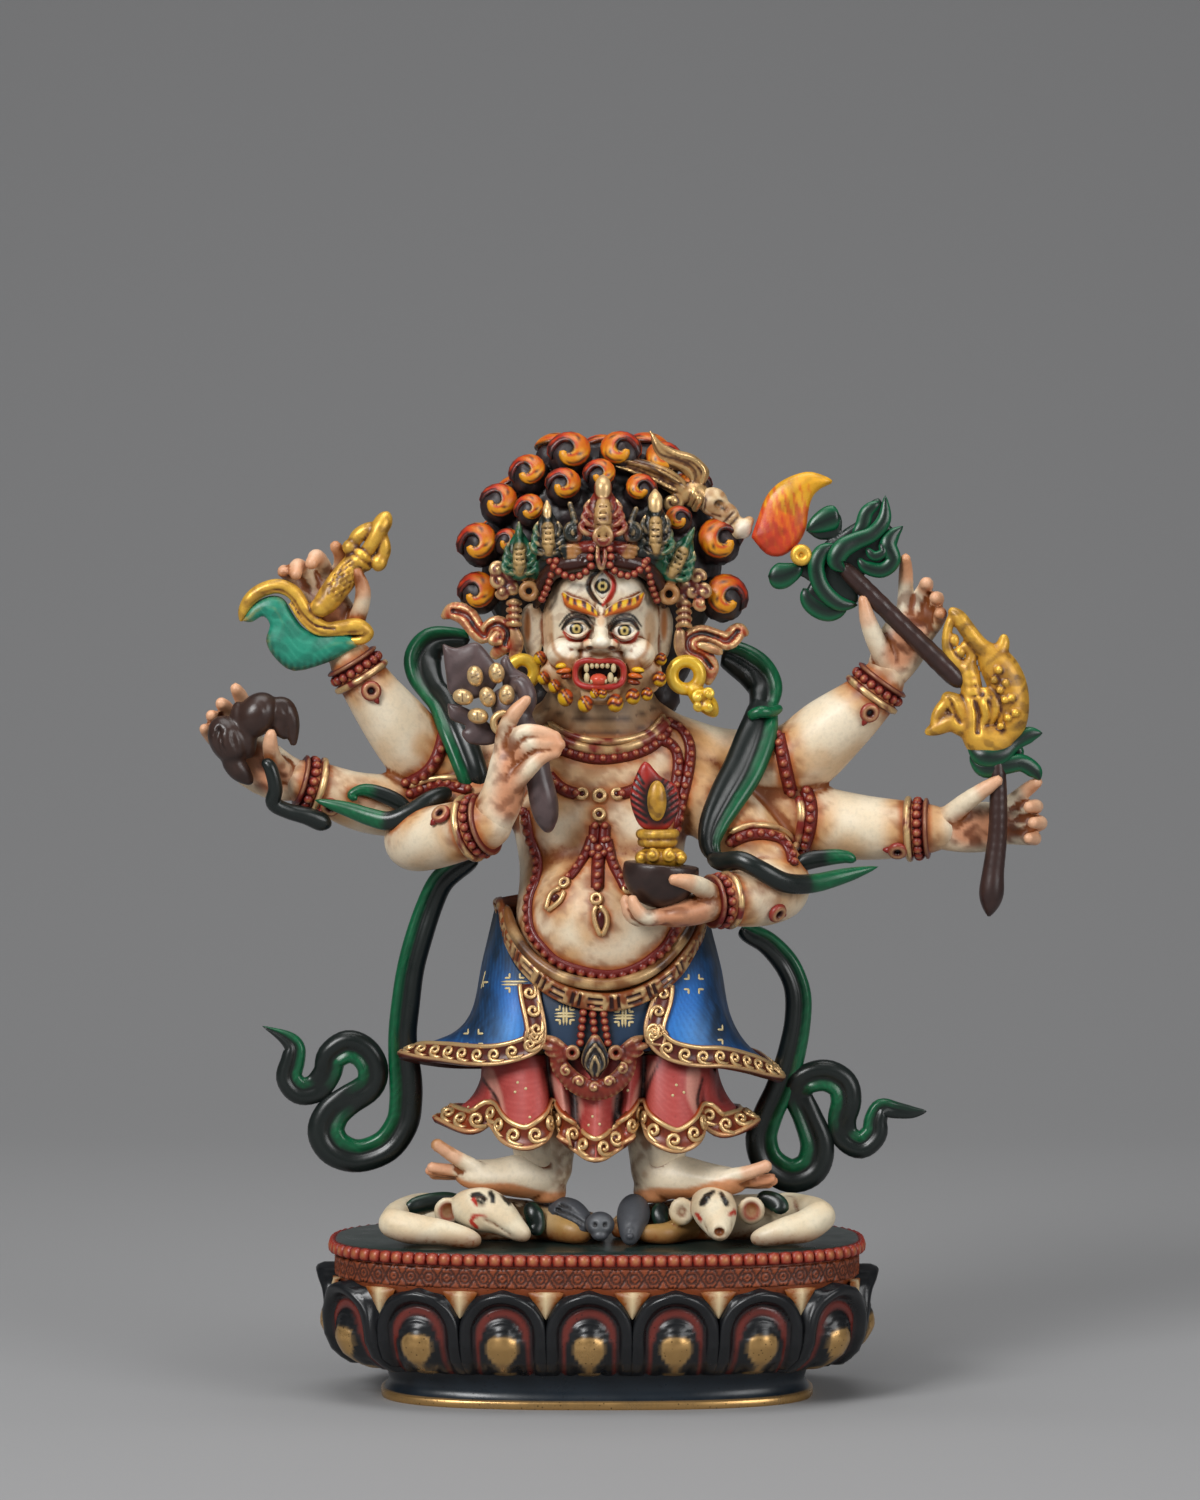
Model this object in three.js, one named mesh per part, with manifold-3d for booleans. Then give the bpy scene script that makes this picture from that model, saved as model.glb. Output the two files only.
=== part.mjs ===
// A small cast and painted figure of the six-armed white Mahakala, a deity of the Himalayan region.
// It stands on two prone elephant-headed beings, and they lie on a lotus pedestal.
// Units are millimetres, +Z is up, the viewer looks along +Y, and the origin is the middle of the underside.
import * as THREE from "three";
import { mergeVertices } from "three/addons/utils/BufferGeometryUtils.js";
import Module from "manifold-3d";

const wasm = await Module();
wasm.setup();

// Driving sizes of the pedestal
const PLATE_HALF_WIDTH = 23.8;
const PLATE_HALF_DEPTH = 12.5;
const DEPTH_SHARE = 0.6; // insets and overhangs front to back, as a share of those side to side
const FOOT_INSET = 4.2; // how far the foot's rim stands back from the plate's edge
const FOOT_HEIGHT = 3.4;
const RIM_HEIGHT = 0.7;
const PETAL_ZONE_HEIGHT = 7.5;
const BAND_HEIGHT = 2.1;
const BEAD_ROW_HEIGHT = 1.2;
const BEAD_ROW_PROUD = 0.55;
const PETAL_COUNT = 16;
const PLAN_SQUARENESS = 2.7; // exponent of the plate's rounded outline
const PLATE_TOP = FOOT_HEIGHT + PETAL_ZONE_HEIGHT + BAND_HEIGHT + BEAD_ROW_HEIGHT;

// Driving sizes of the figure. It is laid out on a maker's grid that counts from the plate's top.
const FIGURE_HEIGHT = 72.6;
const GRID_UNITS_HIGH = 72.6;
const PRONE_HEIGHT = 4.4; // height of the prone pair, whose backs carry the heels
const PRONE_UNITS_HIGH = 4.4;
const SOLE_UNITS = 4.4; // where the soles lie on the figure's grid
const BRACELET_WIDTH = 2;
const BRACELET_PROUD = 0.7;
const ARMLET_WIDTH = 1.4;
const ARMLET_PROUD = 0.5;
const unit = FIGURE_HEIGHT / GRID_UNITS_HIGH;
const proneUnit = PRONE_HEIGHT / PRONE_UNITS_HIGH;

// A closed three.js geometry as a solid that can be joined and cut.
function solidOf(geometry) {
  const bare = geometry.clone();
  bare.deleteAttribute("normal");
  bare.deleteAttribute("uv");
  const merged = mergeVertices(bare, 1e-4);
  return new wasm.Manifold(
    new wasm.Mesh({
      numProp: 3,
      vertProperties: new Float32Array(merged.attributes.position.array),
      triVerts: new Uint32Array(merged.index.array),
    }),
  );
}

// The small facets that joining leaves along its seams are cleared within a distance.
const FIGURE_SEAMS = 0.2;
const BASE_SEAMS = 0.05;

function joined(solids, seams) {
  return wasm.Manifold.union(solids.flat(Infinity)).asOriginal().simplify(seams);
}

function meshOf(name, solid, material) {
  const made = solid.getMesh();
  const geometry = new THREE.BufferGeometry();
  geometry.setAttribute("position", new THREE.BufferAttribute(made.vertProperties, 3));
  geometry.setIndex(new THREE.BufferAttribute(made.triVerts, 1));
  const mesh = new THREE.Mesh(geometry, material);
  mesh.name = name;
  return mesh;
}

// A closed solid whose rings and poles come from a rule: place(turn, rise) for turn and rise from 0 to 1.
function wrapped(sides, rings, place) {
  const geometry = new THREE.SphereGeometry(1, sides, rings);
  const position = geometry.attributes.position;
  const uv = geometry.attributes.uv;
  for (let i = 0; i < position.count; i++) {
    const ring = Math.round(Math.acos(THREE.MathUtils.clamp(position.getY(i), -1, 1)) / Math.PI * rings);
    const side = Math.round(uv.getX(i) * sides - (ring === 0 || ring === rings ? 0.5 : 0)) % sides;
    const p = place(side / sides, ring / rings);
    position.setXYZ(i, p.x, p.y, p.z);
  }
  const solid = solidOf(geometry);
  if (solid.volume() > 0) return solid;
  const turned = geometry.index.array;
  for (let i = 0; i < turned.length; i += 3) [turned[i + 1], turned[i + 2]] = [turned[i + 2],
    turned[i + 1]];
  return solidOf(geometry);
}

// A limb through points of [x, y, z, half width, half thickness]. The thickness is measured towards facing.
function limb(points, { sides = 7, steps = 2, facing = [0, -1, 0] } = {}) {
  const curve = new THREE.CatmullRomCurve3(points.map((p) => new THREE.Vector3(p[0], p[1], p[2])));
  const spans = points.length - 1;
  const widths = (t) => {
    const at = Math.min(Math.floor(t * spans), spans - 1);
    const share = t * spans - at;
    const size = (p) => [p[3], p[4] ?? p[3]];
    const [low, high] = [size(points[at]), size(points[at + 1])];
    return [0, 1].map((i) => THREE.MathUtils.lerp(low[i], high[i], share));
  };
  const length = curve.getLength();
  const endStep = (r) => Math.min(0.3, r / length);
  const stations = [0, 0.35 * endStep(widths(0)[0])];
  for (let i = 1; i < spans * steps; i++) stations.push(i / (spans * steps));
  stations.push(1 - 0.35 * endStep(widths(1)[0]), 1);
  const front = new THREE.Vector3(...facing);
  return wrapped(sides, stations.length - 1, (turn, rise) => {
    const ring = Math.round(rise * (stations.length - 1));
    const t = stations[ring];
    const centre = curve.getPoint(t);
    if (ring === 0 || ring === stations.length - 1) return centre;
    const along = curve.getTangent(t);
    const across = new THREE.Vector3().crossVectors(along, front).normalize();
    const out = new THREE.Vector3().crossVectors(across, along).normalize();
    const shoulder = ring === 1 || ring === stations.length - 2 ? 0.75 : 1;
    const [w, d] = widths(t).map((size) => size * shoulder);
    const angle = turn * 2 * Math.PI;
    return centre.addScaledVector(across, w * Math.cos(angle)).addScaledVector(out, d * Math.sin(angle));
  });
}

// An ellipsoid at a centre, with half sizes, turned about the viewing axis by lean degrees.
function ball([x, y, z], [rx, ry, rz], { lean = 0, detail = 1 } = {}) {
  const geometry = new THREE.IcosahedronGeometry(1, detail);
  geometry.applyMatrix4(new THREE.Matrix4().makeScale(rx, ry, rz));
  geometry.applyMatrix4(new THREE.Matrix4().makeRotationY(-THREE.MathUtils.degToRad(lean)));
  geometry.applyMatrix4(new THREE.Matrix4().makeTranslation(x, y, z));
  return solidOf(geometry);
}

// A ring of round wire about an axis, such as a bracelet or an earring.
function ring([x, y, z], axis, radius, wire, { segments = 9, squash = 1 } = {}) {
  const geometry = new THREE.TorusGeometry(radius, wire, 4, segments);
  geometry.applyMatrix4(new THREE.Matrix4().makeScale(1, squash, 1));
  const turn = new THREE.Quaternion().setFromUnitVectors(
    new THREE.Vector3(0, 0, 1), new THREE.Vector3(...axis).normalize());
  geometry.applyMatrix4(new THREE.Matrix4().makeRotationFromQuaternion(turn));
  geometry.applyMatrix4(new THREE.Matrix4().makeTranslation(x, y, z));
  return solidOf(geometry);
}

// A short round cuff about a limb.
function cuff([x, y, z], axis, radius, height) {
  const geometry = new THREE.CylinderGeometry(radius, radius, height, 7);
  const turn = new THREE.Quaternion().setFromUnitVectors(
    new THREE.Vector3(0, 1, 0), new THREE.Vector3(...axis).normalize());
  geometry.applyMatrix4(new THREE.Matrix4().makeRotationFromQuaternion(turn));
  geometry.applyMatrix4(new THREE.Matrix4().makeTranslation(x, y, z));
  return solidOf(geometry);
}

// The two sides of a mirrored pair.
const bothSides = (make) => [-1, 1].map(make);

// Torso, belly, breasts and neck
function torso() {
  return [
    ball([0.6, -0.5, 24.5], [8.2, 6.6, 5]),
    ball([0.7, -3.2, 28.4], [7.8, 8, 6.6], { detail: 2 }),
    limb([[0.4, -1, 25, 7, 6], [0.3, -0.8, 33, 6.4, 5.4], [0.3, 0, 39, 7.2, 5.3],
      [0.3, 0.4, 43.4, 8.6, 4.4],
      [0.3, 0.2, 45.8, 5.6, 4.2], [0.3, -0.6, 48.4, 4.1, 4]], { sides: 10, steps: 1 }),
    ball([-3.3, -3.9, 38], [3.6, 2.3, 3.4]),
    ball([3.9, -3.9, 37.4], [3.6, 2.3, 3.4]),
  ];
}

// Head, jaw, cheeks, brow, nose, eyes, lips, ears and the curled beard
function head() {
  const beardCurls = 9;
  const curls = Array.from({ length: beardCurls }, (_, i) => {
    const angle = Math.PI * (1.06 + 0.88 * i / (beardCurls - 1));
    return ball([0.3 + 5 * Math.cos(angle), -3.9 + 2.6 * Math.sin(angle), 52.2 + 4 * Math.sin(angle)],
      [0.8, 1, 0.85], { detail: 0 });
  });
  return [
    ball([0.3, -1.2, 54.8], [5.7, 6, 6.6], { detail: 2 }),
    ball([0.3, -3.2, 51.2], [4.9, 4.6, 3.7]),
    limb([[-2.9, -6.3, 57.9, 0.6], [0.3, -7.4, 56, 0.6], [3.6, -6.3, 57.9, 0.6]], { sides: 5 }),
    ball([0.4, -7.9, 53.9], [1.4, 1.2, 1.1], { detail: 0 }),
    ball([0.4, -7.1, 55], [0.6, 1, 1.4], { detail: 0 }),
    ring([0.2, -7, 51.5], [0, 1, 0.15], 1.9, 0.45, { segments: 8, squash: 0.55 }),
    bothSides((side) => [
      ball([0.4 + side * 3.1, -6, 53.1], [1.9, 1.5, 1.7], { detail: 0 }),
      ball([0.3 + side * 2.1, -6.5, 55], [0.95, 0.8, 0.9], { detail: 0 }),
      limb([[0.3 + side * 5.4, -1, 57.4, 0.8, 1], [0.3 + side * 6.2, -1.6, 54.5, 1, 1.2],
        [0.3 + side * 6.2, -2, 51.6, 0.7, 0.8]], { sides: 6, steps: 1 }),
      ring([0.4 + side * 7.2, -2.6, 50.8], [0, 1, 0], 1.3, 0.6),
      limb([[0.4 + side * 7.8, -2.6, 50, 0.7],
        [0.4 + side * 9.4, -2.6, 47.8, 0.7]], { sides: 5, steps: 1 }),
    ]),
    curls,
  ];
}

// The mass of hair and its rows of flame-shaped curls, which go round to the back
function hair() {
  const curlRows = [
    { count: 10, from: -16, step: 23.4, reach: [10.8, 10.6], y: 1.2, size: 1.7 },
    { count: 5, from: 50, step: 31, reach: [7.6, 7.6], y: -2.4, size: 1.35 },
    { count: 8, from: -24, step: 32.6, reach: [8.2, 8], y: 5.2, size: 1.9 },
    { count: 4, from: 0, step: 60, reach: [4.5, 4.6], y: 7.7, size: 1.9 },
  ];
  const curls = curlRows.flatMap((row) => Array.from({ length: row.count }, (_, i) => {
    const angle = THREE.MathUtils.degToRad(row.from + i * row.step);
    return ball([0.3 + row.reach[0] * Math.cos(angle), row.y, 61.1 + row.reach[1] * Math.sin(angle)],
      [row.size, row.size, row.size], { detail: 0 });
  }));
  return [
    ball([0.3, 2, 61], [11.2, 6.7, 10.8]),
    ball([0.3, 3, 52], [7.6, 4.4, 6]),
    curls,
  ];
}

// The five-leaf crown, its band, the rosettes at the temples and the ribbons that wave beside the ears
function crown() {
  const leaves = [[0.5, -6.4, 64.2, 2, 3.2, 0], [-4.3, -5, 62.9, 1.4, 2.4, 4],
    [5.2, -5, 63.3, 1.4, 2.6, -4],
    [-6.8, -3.4, 61.6, 1.4, 2.3, 6], [7.5, -3.4, 61.3, 1.4, 2.5, -24]];
  return [
    leaves.map(([x, y, z, wide, tall, lean]) => limb(
      [[x - tall * Math.sin(lean * Math.PI / 180), y, z - tall, wide * 0.7, 0.8], [x, y, z, wide, 1],
        [x - tall * Math.sin(lean * Math.PI / 180) * -1, y, z + tall, wide * 0.25, 0.6]], { sides: 5,
          steps: 1 })),
    limb([[-7.2, -1.6, 59.2, 1.2, 1], [-5, -4.8, 60.4, 1.2, 1], [0.3, -6.6, 60.9, 1.2, 1],
      [5.6, -4.8, 60.4, 1.2, 1],
      [7.8, -1.6, 59.2, 1.2, 1]], { sides: 5, steps: 1 }),
    bothSides((side) => [
      ball([0.3 + side * 6, -3.4, 58], [0.9, 1.2, 0.9], { detail: 0 }),
      ball([0.3 + side * 8.1, -2.6, 58.5], [1.6, 1, 1.3], { detail: 0 }),
      limb([[0.3 + side * 7, -1.5, 54.5, 1.1, 0.7], [0.3 + side * 9.6, -1.8, 54.2, 1.6, 0.7],
        [0.3 + side * 11.4, -1.6, 55.2, 1.1, 0.6],
          [0.3 + side * 13.6, -1.2, 55, 0.5, 0.5]], { sides: 5, steps: 1 }),
      limb([[0.3 + side * 8.4, -1.8, 54.6, 1, 0.6], [0.3 + side * 9.2, -1.6, 51.8, 0.9, 0.6],
        [0.3 + side * 8.6, -1, 49, 0.4, 0.5]], { sides: 5, steps: 1 }),
    ]),
  ];
}

// A bent arm through its joints, with a bracelet at the wrist and an armlet above the elbow
function arm(joints, bracelet, armlet) {
  return [
    limb(joints, { sides: 7, steps: 1 }),
    cuff(bracelet.at, bracelet.axis, bracelet.radius + BRACELET_PROUD, BRACELET_WIDTH),
    cuff(armlet.at, armlet.axis, armlet.radius + ARMLET_PROUD, ARMLET_WIDTH),
  ];
}

// A hand: the palm as one flat limb, and the fingers as small ones
function hand(palm, fingers, facing = [0, -1, 0]) {
  return [
    limb(palm, { sides: 6, steps: 1, facing }),
    fingers.map((finger) => limb(finger, { sides: 4, steps: 1 })),
  ];
}

// The three arms on the viewer's left
function leftArms() {
  return [
    arm([[-5.6, 1, 43.6, 3.2], [-9.8, 1.5, 42.6, 2.9], [-14.7, 1, 42.8, 2.8], [-17.7, 0, 46.2, 2.7],
      [-21, -0.8, 50.2, 1.9], [-22.4, -1, 52.2, 1.6]],
    { at: [-21.6, -0.9, 51], axis: [-0.65, 0, 0.76], radius: 2 },
    { at: [-13.2, 1.2, 42.6], axis: [-1, 0, 0.25], radius: 2.9 }),
    hand([[-22.4, -1, 52, 1.5, 1.3], [-23.2, -1.4, 55, 1.7, 1.1], [-24.4, -1.4, 57.6, 1.8, 1.1]],
      [[[-22.2, -1.8, 55.2, 0.8], [-21.3, -2.8, 57.4, 0.7], [-21.1, -3, 59.6, 0.4]],
        [[-23.6, -1.3, 56, 0.9], [-23.6, -1, 60, 0.7], [-23.4, -1.4, 62, 0.4]],
        [[-24, -1.3, 56.4, 0.9], [-25.8, -1.8, 60, 0.8], [-26.6, -2.8, 59.4, 0.6]],
        [[-24.2, -1.3, 56, 0.9], [-27.4, -1.4, 59, 0.75], [-28, -1.8, 60.6, 0.5]]]),
    arm([[-5.2, 2, 42.4, 3], [-10.6, 2, 40.6, 2.7], [-17, 1, 38.8, 2.5], [-21.2, -0.6, 39.4, 2.4],
      [-25, -1.8, 40.8, 1.8], [-26.4, -2.2, 41.4, 1.5]],
    { at: [-25.7, -2, 41.2], axis: [-1, -0.2, 0.25], radius: 1.9 },
    { at: [-13, 1.8, 40], axis: [-1, 0, -0.2], radius: 2.9 }),
    hand([[-26.4, -2.2, 41.2, 1.4, 1.2], [-29, -2.4, 41.8, 1.9, 1], [-31.6, -2.4, 44, 1.9, 0.9]],
      [[[-27.8, -3.2, 41.8, 0.8], [-28.9, -5.2, 43.6, 0.8], [-29.2, -5.4, 45.2, 0.5]],
        [[-31, -2, 44.6, 0.7], [-31.4, -2, 47.4, 0.7], [-32.2, -2.8, 49.4, 0.5]],
        [[-31.8, -2, 44.6, 0.7], [-32.8, -2, 46.8, 0.6], [-33.5, -2.8, 48, 0.45]],
        [[-32.4, -2, 44.2, 0.6], [-33.8, -2, 46, 0.6], [-34.5, -2.8, 47.1, 0.45]],
        [[-32.6, -2, 43.6, 0.6], [-34.4, -2, 44.9, 0.6], [-35.2, -2.8, 46, 0.4]]]),
    arm([[-6, 0, 41.8, 2.9], [-11.6, -1.4, 38.8, 2.6], [-16.6, -3.4, 36, 2.1], [-14.6, -6, 36.5, 2.3],
      [-11.4, -8, 37.4, 2.3], [-9.6, -9, 37.7, 2]],
    { at: [-11.6, -8, 37.5], axis: [0.9, -0.5, 0.15], radius: 2.4 },
    { at: [-11, -1, 39.2], axis: [-1, -0.2, -0.45], radius: 2.7 }),
    hand([[-9.8, -9, 37.6, 2, 1.9], [-8.6, -9.6, 39.4, 1.7, 1.5], [-7.9, -10, 42, 1.1, 1.4],
      [-7.8, -10, 45.6, 0.9, 1.2]],
      [[[-7.8, -10.2, 45, 0.7], [-7.4, -10.6, 47, 0.7], [-6.2, -11, 48.8, 0.5]],
        [[-8, -10.2, 44.8, 0.8], [-5, -10.8, 45.6, 0.65], [-2.8, -11, 45.3, 0.4]],
        [[-8, -10.2, 43.6, 0.8], [-5.4, -10.8, 44.3, 0.65], [-3.4, -11, 44.3, 0.4]]]),
  ];
}

// The three arms on the viewer's right
function rightArms() {
  return [
    arm([[6.2, 1, 43.8, 3.2], [11.2, 1.5, 42.6, 2.9], [17.4, 1, 42.8, 2.9], [20.9, 0, 45.4, 2.7],
      [24.4, -0.8, 48.8, 2.1], [25.8, -1, 50.6, 1.6]],
    { at: [25.1, -0.9, 49.6], axis: [0.66, 0, 0.75], radius: 2.2 },
    { at: [16.2, 1.2, 42.6], axis: [1, 0, 0.2], radius: 3 }),
    hand([[25.8, -1, 50.4, 1.6, 1.3], [27.2, -1.2, 53, 1.9, 1], [28.6, -1.2, 55.6, 1.8, 0.9]],
      [[[26.4, -1.6, 51.6, 0.9], [24.6, -3, 54.6, 0.8], [23.8, -3.4, 57.4, 0.45]],
        [[27.6, -1, 54, 0.9], [28, -1.2, 58.6, 0.65], [28.1, -2.2, 61.4, 0.4]],
        [[27.8, -1, 54, 0.9], [29.8, -1.4, 57.6, 0.75], [29.6, -3, 59, 0.5]],
        [[27.8, -1, 53.6, 0.9], [30.8, -1.4, 56.4, 0.75], [30.2, -3, 57, 0.5]]]),
    arm([[6.2, 2, 42.4, 3.1], [12, 2, 40.2, 3], [18.2, 1.2, 37.8, 2.7], [23.6, 0, 37, 2.6],
      [28.2, -1, 36.9, 2.2], [30.4, -1.4, 37, 1.6]],
    { at: [29, -1.2, 36.9], axis: [1, -0.15, 0], radius: 2.5 },
    { at: [18.9, 1.2, 37.6], axis: [1, 0, -0.15], radius: 2.8 }),
    hand([[30, -1.4, 37, 1.7, 1.3], [33.4, -1.4, 37, 1.8, 1], [36.8, -1.2, 37.4, 1.6, 0.9]],
      [[[31.2, -2.2, 38, 0.85], [33.6, -3.6, 39.8, 0.75], [35.7, -4, 41.3, 0.45]],
        [[35, -1.2, 37.6, 0.8], [38.4, -1.6, 39.6, 0.65], [40, -2.4, 41.3, 0.4]],
        [[35, -1.2, 37.4, 0.8], [38.8, -1.8, 38.4, 0.7], [38.6, -3.4, 38.8, 0.5]],
        [[35, -1.2, 37, 0.8], [39.6, -1.8, 37.1, 0.7], [39.4, -3.4, 37, 0.55]],
        [[35, -1.2, 36.6, 0.8], [39, -1.8, 35.9, 0.7], [38.6, -3.4, 35.8, 0.5]]]),
    arm([[6.6, 0, 41.8, 2.9], [12.2, -1.6, 37.2, 2.8], [16.2, -3.4, 32.2, 2.3], [14.8, -6.4, 31.2, 2.2],
      [12.4, -8.6, 31, 2], [11, -9.4, 31.1, 1.6]],
    { at: [12.4, -8.6, 31], axis: [-0.85, -0.5, 0], radius: 2.4 },
    { at: [13.8, -2, 35], axis: [0.55, -0.2, -0.8], radius: 2.9 }),
    hand([[11.2, -9.2, 31.1, 1.3, 1.6], [8.2, -10.6, 30.2, 1, 2.2], [5.4, -11.2, 29.8, 0.8, 2.1]],
      [[[10.4, -10.4, 31.2, 1], [8.6, -13, 32.6, 0.8], [6.7, -13.9, 32.8, 0.45]],
        [[6.6, -12, 29.9, 0.8], [3.8, -12.8, 29.9, 0.6], [3, -13.2, 30.8, 0.4]],
        [[6.4, -10.8, 29.9, 0.8], [3.2, -11.2, 29.9, 0.6], [2.2, -11.4, 31, 0.4]]]),
  ];
}

// Ankles, feet and toes. The heels stand on the prone pair, and the feet turn outwards.
function legs() {
  const sole = SOLE_UNITS;
  const under = new THREE.BoxGeometry(60, 40, 10).applyMatrix4(new THREE.Matrix4().makeTranslation(0, 0,
    sole - 5));
  const whole = [
    limb([[-5, -1.5, 14, 3.4], [-4.6, -3, 9.5, 2.6], [-4.2, -3.4, sole + 1.7, 1.9]], { sides: 7 }),
    limb([[-3, -3, sole + 1.4, 1.5, 1.7], [-5, -3.6, sole + 2.1, 2, 1.9],
      [-8.4, -4.8, sole + 2.6, 1.7, 1.9],
      [-11.4, -5.8, sole + 2.5, 1.4, 2], [-13, -6.2, sole + 2.6, 0.8, 1.6]], { sides: 7 }),
    limb([[-11, -6.4, sole + 3.2, 0.8], [-12.8, -7, sole + 4.2, 0.6],
      [-14.3, -7.2, sole + 4.9, 0.4]], { sides: 5, steps: 1 }),
    limb([[-12.2, -5.4, sole + 2.4, 0.9, 1.5], [-15, -5.8, sole + 2.8, 0.5, 1]], { sides: 5, steps: 1 }),
    limb([[5.6, -1.5, 14, 3.4], [5.4, -3, 9.5, 2.6], [5.2, -3.4, sole + 1.7, 1.9]], { sides: 7 }),
    limb([[4, -3, sole + 1.4, 1.5, 1.7], [6, -3.6, sole + 1.9, 1.9, 1.9], [9.4, -4.8, sole + 1.8, 1.4, 1.9],
      [12.2, -5.8, sole + 1.6, 1.1, 2], [13.6, -6.2, sole + 1.5, 0.7, 1.6]], { sides: 7 }),
    limb([[11.6, -6.4, sole + 1.9, 0.8], [13.4, -7, sole + 2.4, 0.6],
      [15, -7.2, sole + 2.8, 0.4]], { sides: 5, steps: 1 }),
    limb([[12.6, -5.4, sole + 1.4, 0.8, 1.5], [15.6, -5.8, sole + 1.6, 0.5, 1]], { sides: 5, steps: 1 }),
  ];
  return wasm.Manifold.union(whole).subtract(solidOf(under));
}

// A skirt round the hips. Its section is an oval with a wing at each side, and its hem follows a rule.
function skirt({ top, hem, waist, flare, wing, lobes, depth }) {
  return wrapped(28, 5, (turn, rise) => {
    const angle = turn * 2 * Math.PI;
    const [c, s] = [Math.cos(angle), Math.sin(angle)];
    const t = Math.min(1, Math.max(0, (rise - 0.2) / 0.6));
    if (rise < 0.1) return new THREE.Vector3(0.5, 0, top);
    if (rise > 0.9) return new THREE.Vector3(0.5, 0, hem + depth);
    const spread = THREE.MathUtils.lerp(waist, flare, t ** 1.6) + wing * t ** 3 * Math.abs(c) ** 6;
    const deep = THREE.MathUtils.lerp(waist * 0.82, flare * 0.66, t ** 1.6);
    const scallop = depth * Math.abs(Math.cos(angle * lobes / 2)) * t ** 2;
    return new THREE.Vector3(0.5 + spread * c, deep * s, THREE.MathUtils.lerp(top, hem,
      t) + depth * t - scallop);
  });
}

function skirts() {
  return [
    skirt({ top: 19, hem: 8.2, waist: 9.4, flare: 11.4, wing: 4, lobes: 12, depth: 2.2 }),
    skirt({ top: 27, hem: 15.4, waist: 7.6, flare: 12.6, wing: 5, lobes: 2, depth: 1.4 }),
    limb([[-8.6, 0, 29, 1.1], [-7, -6.2, 25.6, 1.2], [0.6, -9.6, 22.6, 1.3], [8.2, -6.2, 25.2, 1.2],
      [9.8, 0, 28.2, 1.1],
      [6.4, 5, 29.4, 1], [0.6, 6.2, 29.8, 1], [-5.4, 5, 29.6, 1],
        [-8.6, 0.3, 29, 1.1]], { sides: 6, facing: [0, 0, 1] }),
    limb([[0.6, -8.2, 22, 1.8, 0.8], [0.6, -9, 18, 2.4, 0.9], [0.6, -9, 14.4, 2, 0.8]], { sides: 6 }),
  ];
}

// The long scarf: two streamers that end in swirls, the bands over the shoulders, and its tails
function scarf() {
  const flat = { sides: 5, steps: 1 };
  const swirling = { sides: 5, steps: 2 };
  return [
    limb([[-12.6, -2, 37.6, 1, 0.8], [-14, 1.2, 31.6, 1.1, 0.8], [-16.6, 2.6, 24.8, 1.3, 0.8],
      [-17.7, 3, 18.6, 1.4, 0.8],
      [-17.2, 3, 11.8, 1.5, 0.8], [-18.8, 3, 7.4, 1.5, 0.8], [-22.4, 3, 6, 1.5, 0.8],
        [-25.3, 3, 8.8, 1.5, 0.8],
      [-22.4, 3, 12.4, 1.5, 0.8], [-19.3, 3, 14.6, 1.4, 0.8], [-21.6, 3, 17, 1.4, 0.8],
        [-24.8, 3, 14.6, 1.2, 0.8],
      [-27.4, 3, 14, 1.2, 0.8], [-27.8, 3, 16.8, 1.1, 0.8], [-30.4, 3, 18.8, 0.4, 0.6]], swirling),
    limb([[14.4, -3.4, 32.6, 1, 0.8], [15.6, 1.2, 26.8, 1.1, 0.8], [18.3, 3, 20.9, 1.2, 0.8],
      [16.8, 3, 14.4, 1.4, 0.8],
      [14.6, 3, 8.8, 1.4, 0.8], [17.6, 3, 5.2, 1.4, 0.8], [20.4, 3, 8.2, 1.4, 0.8],
        [18.9, 3, 12.2, 1.3, 0.8],
      [21.4, 3, 13.6, 1.3, 0.8], [22.6, 3, 9.4, 1.2, 0.8], [24.6, 3, 8.2, 1.2, 0.8], [25, 3, 10.9, 1, 0.8],
      [29.9, 3, 10.9, 0.5, 0.6]], swirling),
    limb([[-10, 4.4, 55, 1.2, 0.7], [-15, 3.6, 51.4, 1.7, 0.7], [-14.4, 2.2, 48, 1.8, 0.7],
      [-12.2, -1.6, 44.2, 1.8, 0.7],
      [-10.4, -3, 40.6, 1.7, 0.7], [-9, -1.6, 36.8, 1.2, 0.7]], flat),
    limb([[10.8, 4.4, 54.6, 1.2, 0.7], [15, 3.4, 50.4, 1.8, 0.7], [15.2, 2, 46.8, 1.8, 0.7],
      [13.6, -2.6, 42.8, 1.8, 0.7],
      [11, -4.2, 38.6, 1.7, 0.7], [10.2, -5.2, 35.4, 1.5, 0.7], [12.4, -6.8, 34.2, 1.2, 0.7]], flat),
    limb([[-12.6, -5, 40.6, 0.9, 0.9], [-15.8, -4.6, 38.6, 1, 0.8], [-18.4, -4, 37.6, 1, 0.8],
      [-22.4, -3.8, 38.5, 1.1, 0.8],
      [-25.3, -4.2, 39.8, 0.4, 0.5]], flat),
    limb([[-17.6, -2.4, 38.6, 0.7, 0.7], [-20.2, -2.8, 40.4, 0.8, 0.6], [-22.4, -3, 40.2, 0.5, 0.5]], flat),
    limb([[12, -6.8, 34.4, 1, 0.9], [15.6, -6, 32.8, 1, 0.8], [18.8, -4.6, 31.6, 1, 0.8],
      [22.2, -3.8, 32.2, 0.9, 0.7],
      [25.1, -3.4, 33.6, 0.4, 0.5]], flat),
    limb([[16.8, -3.6, 32.8, 0.8, 0.7], [20.4, -3, 34, 0.8, 0.7], [23.2, -2.8, 34.2, 0.5, 0.5]], flat),
  ];
}

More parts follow.
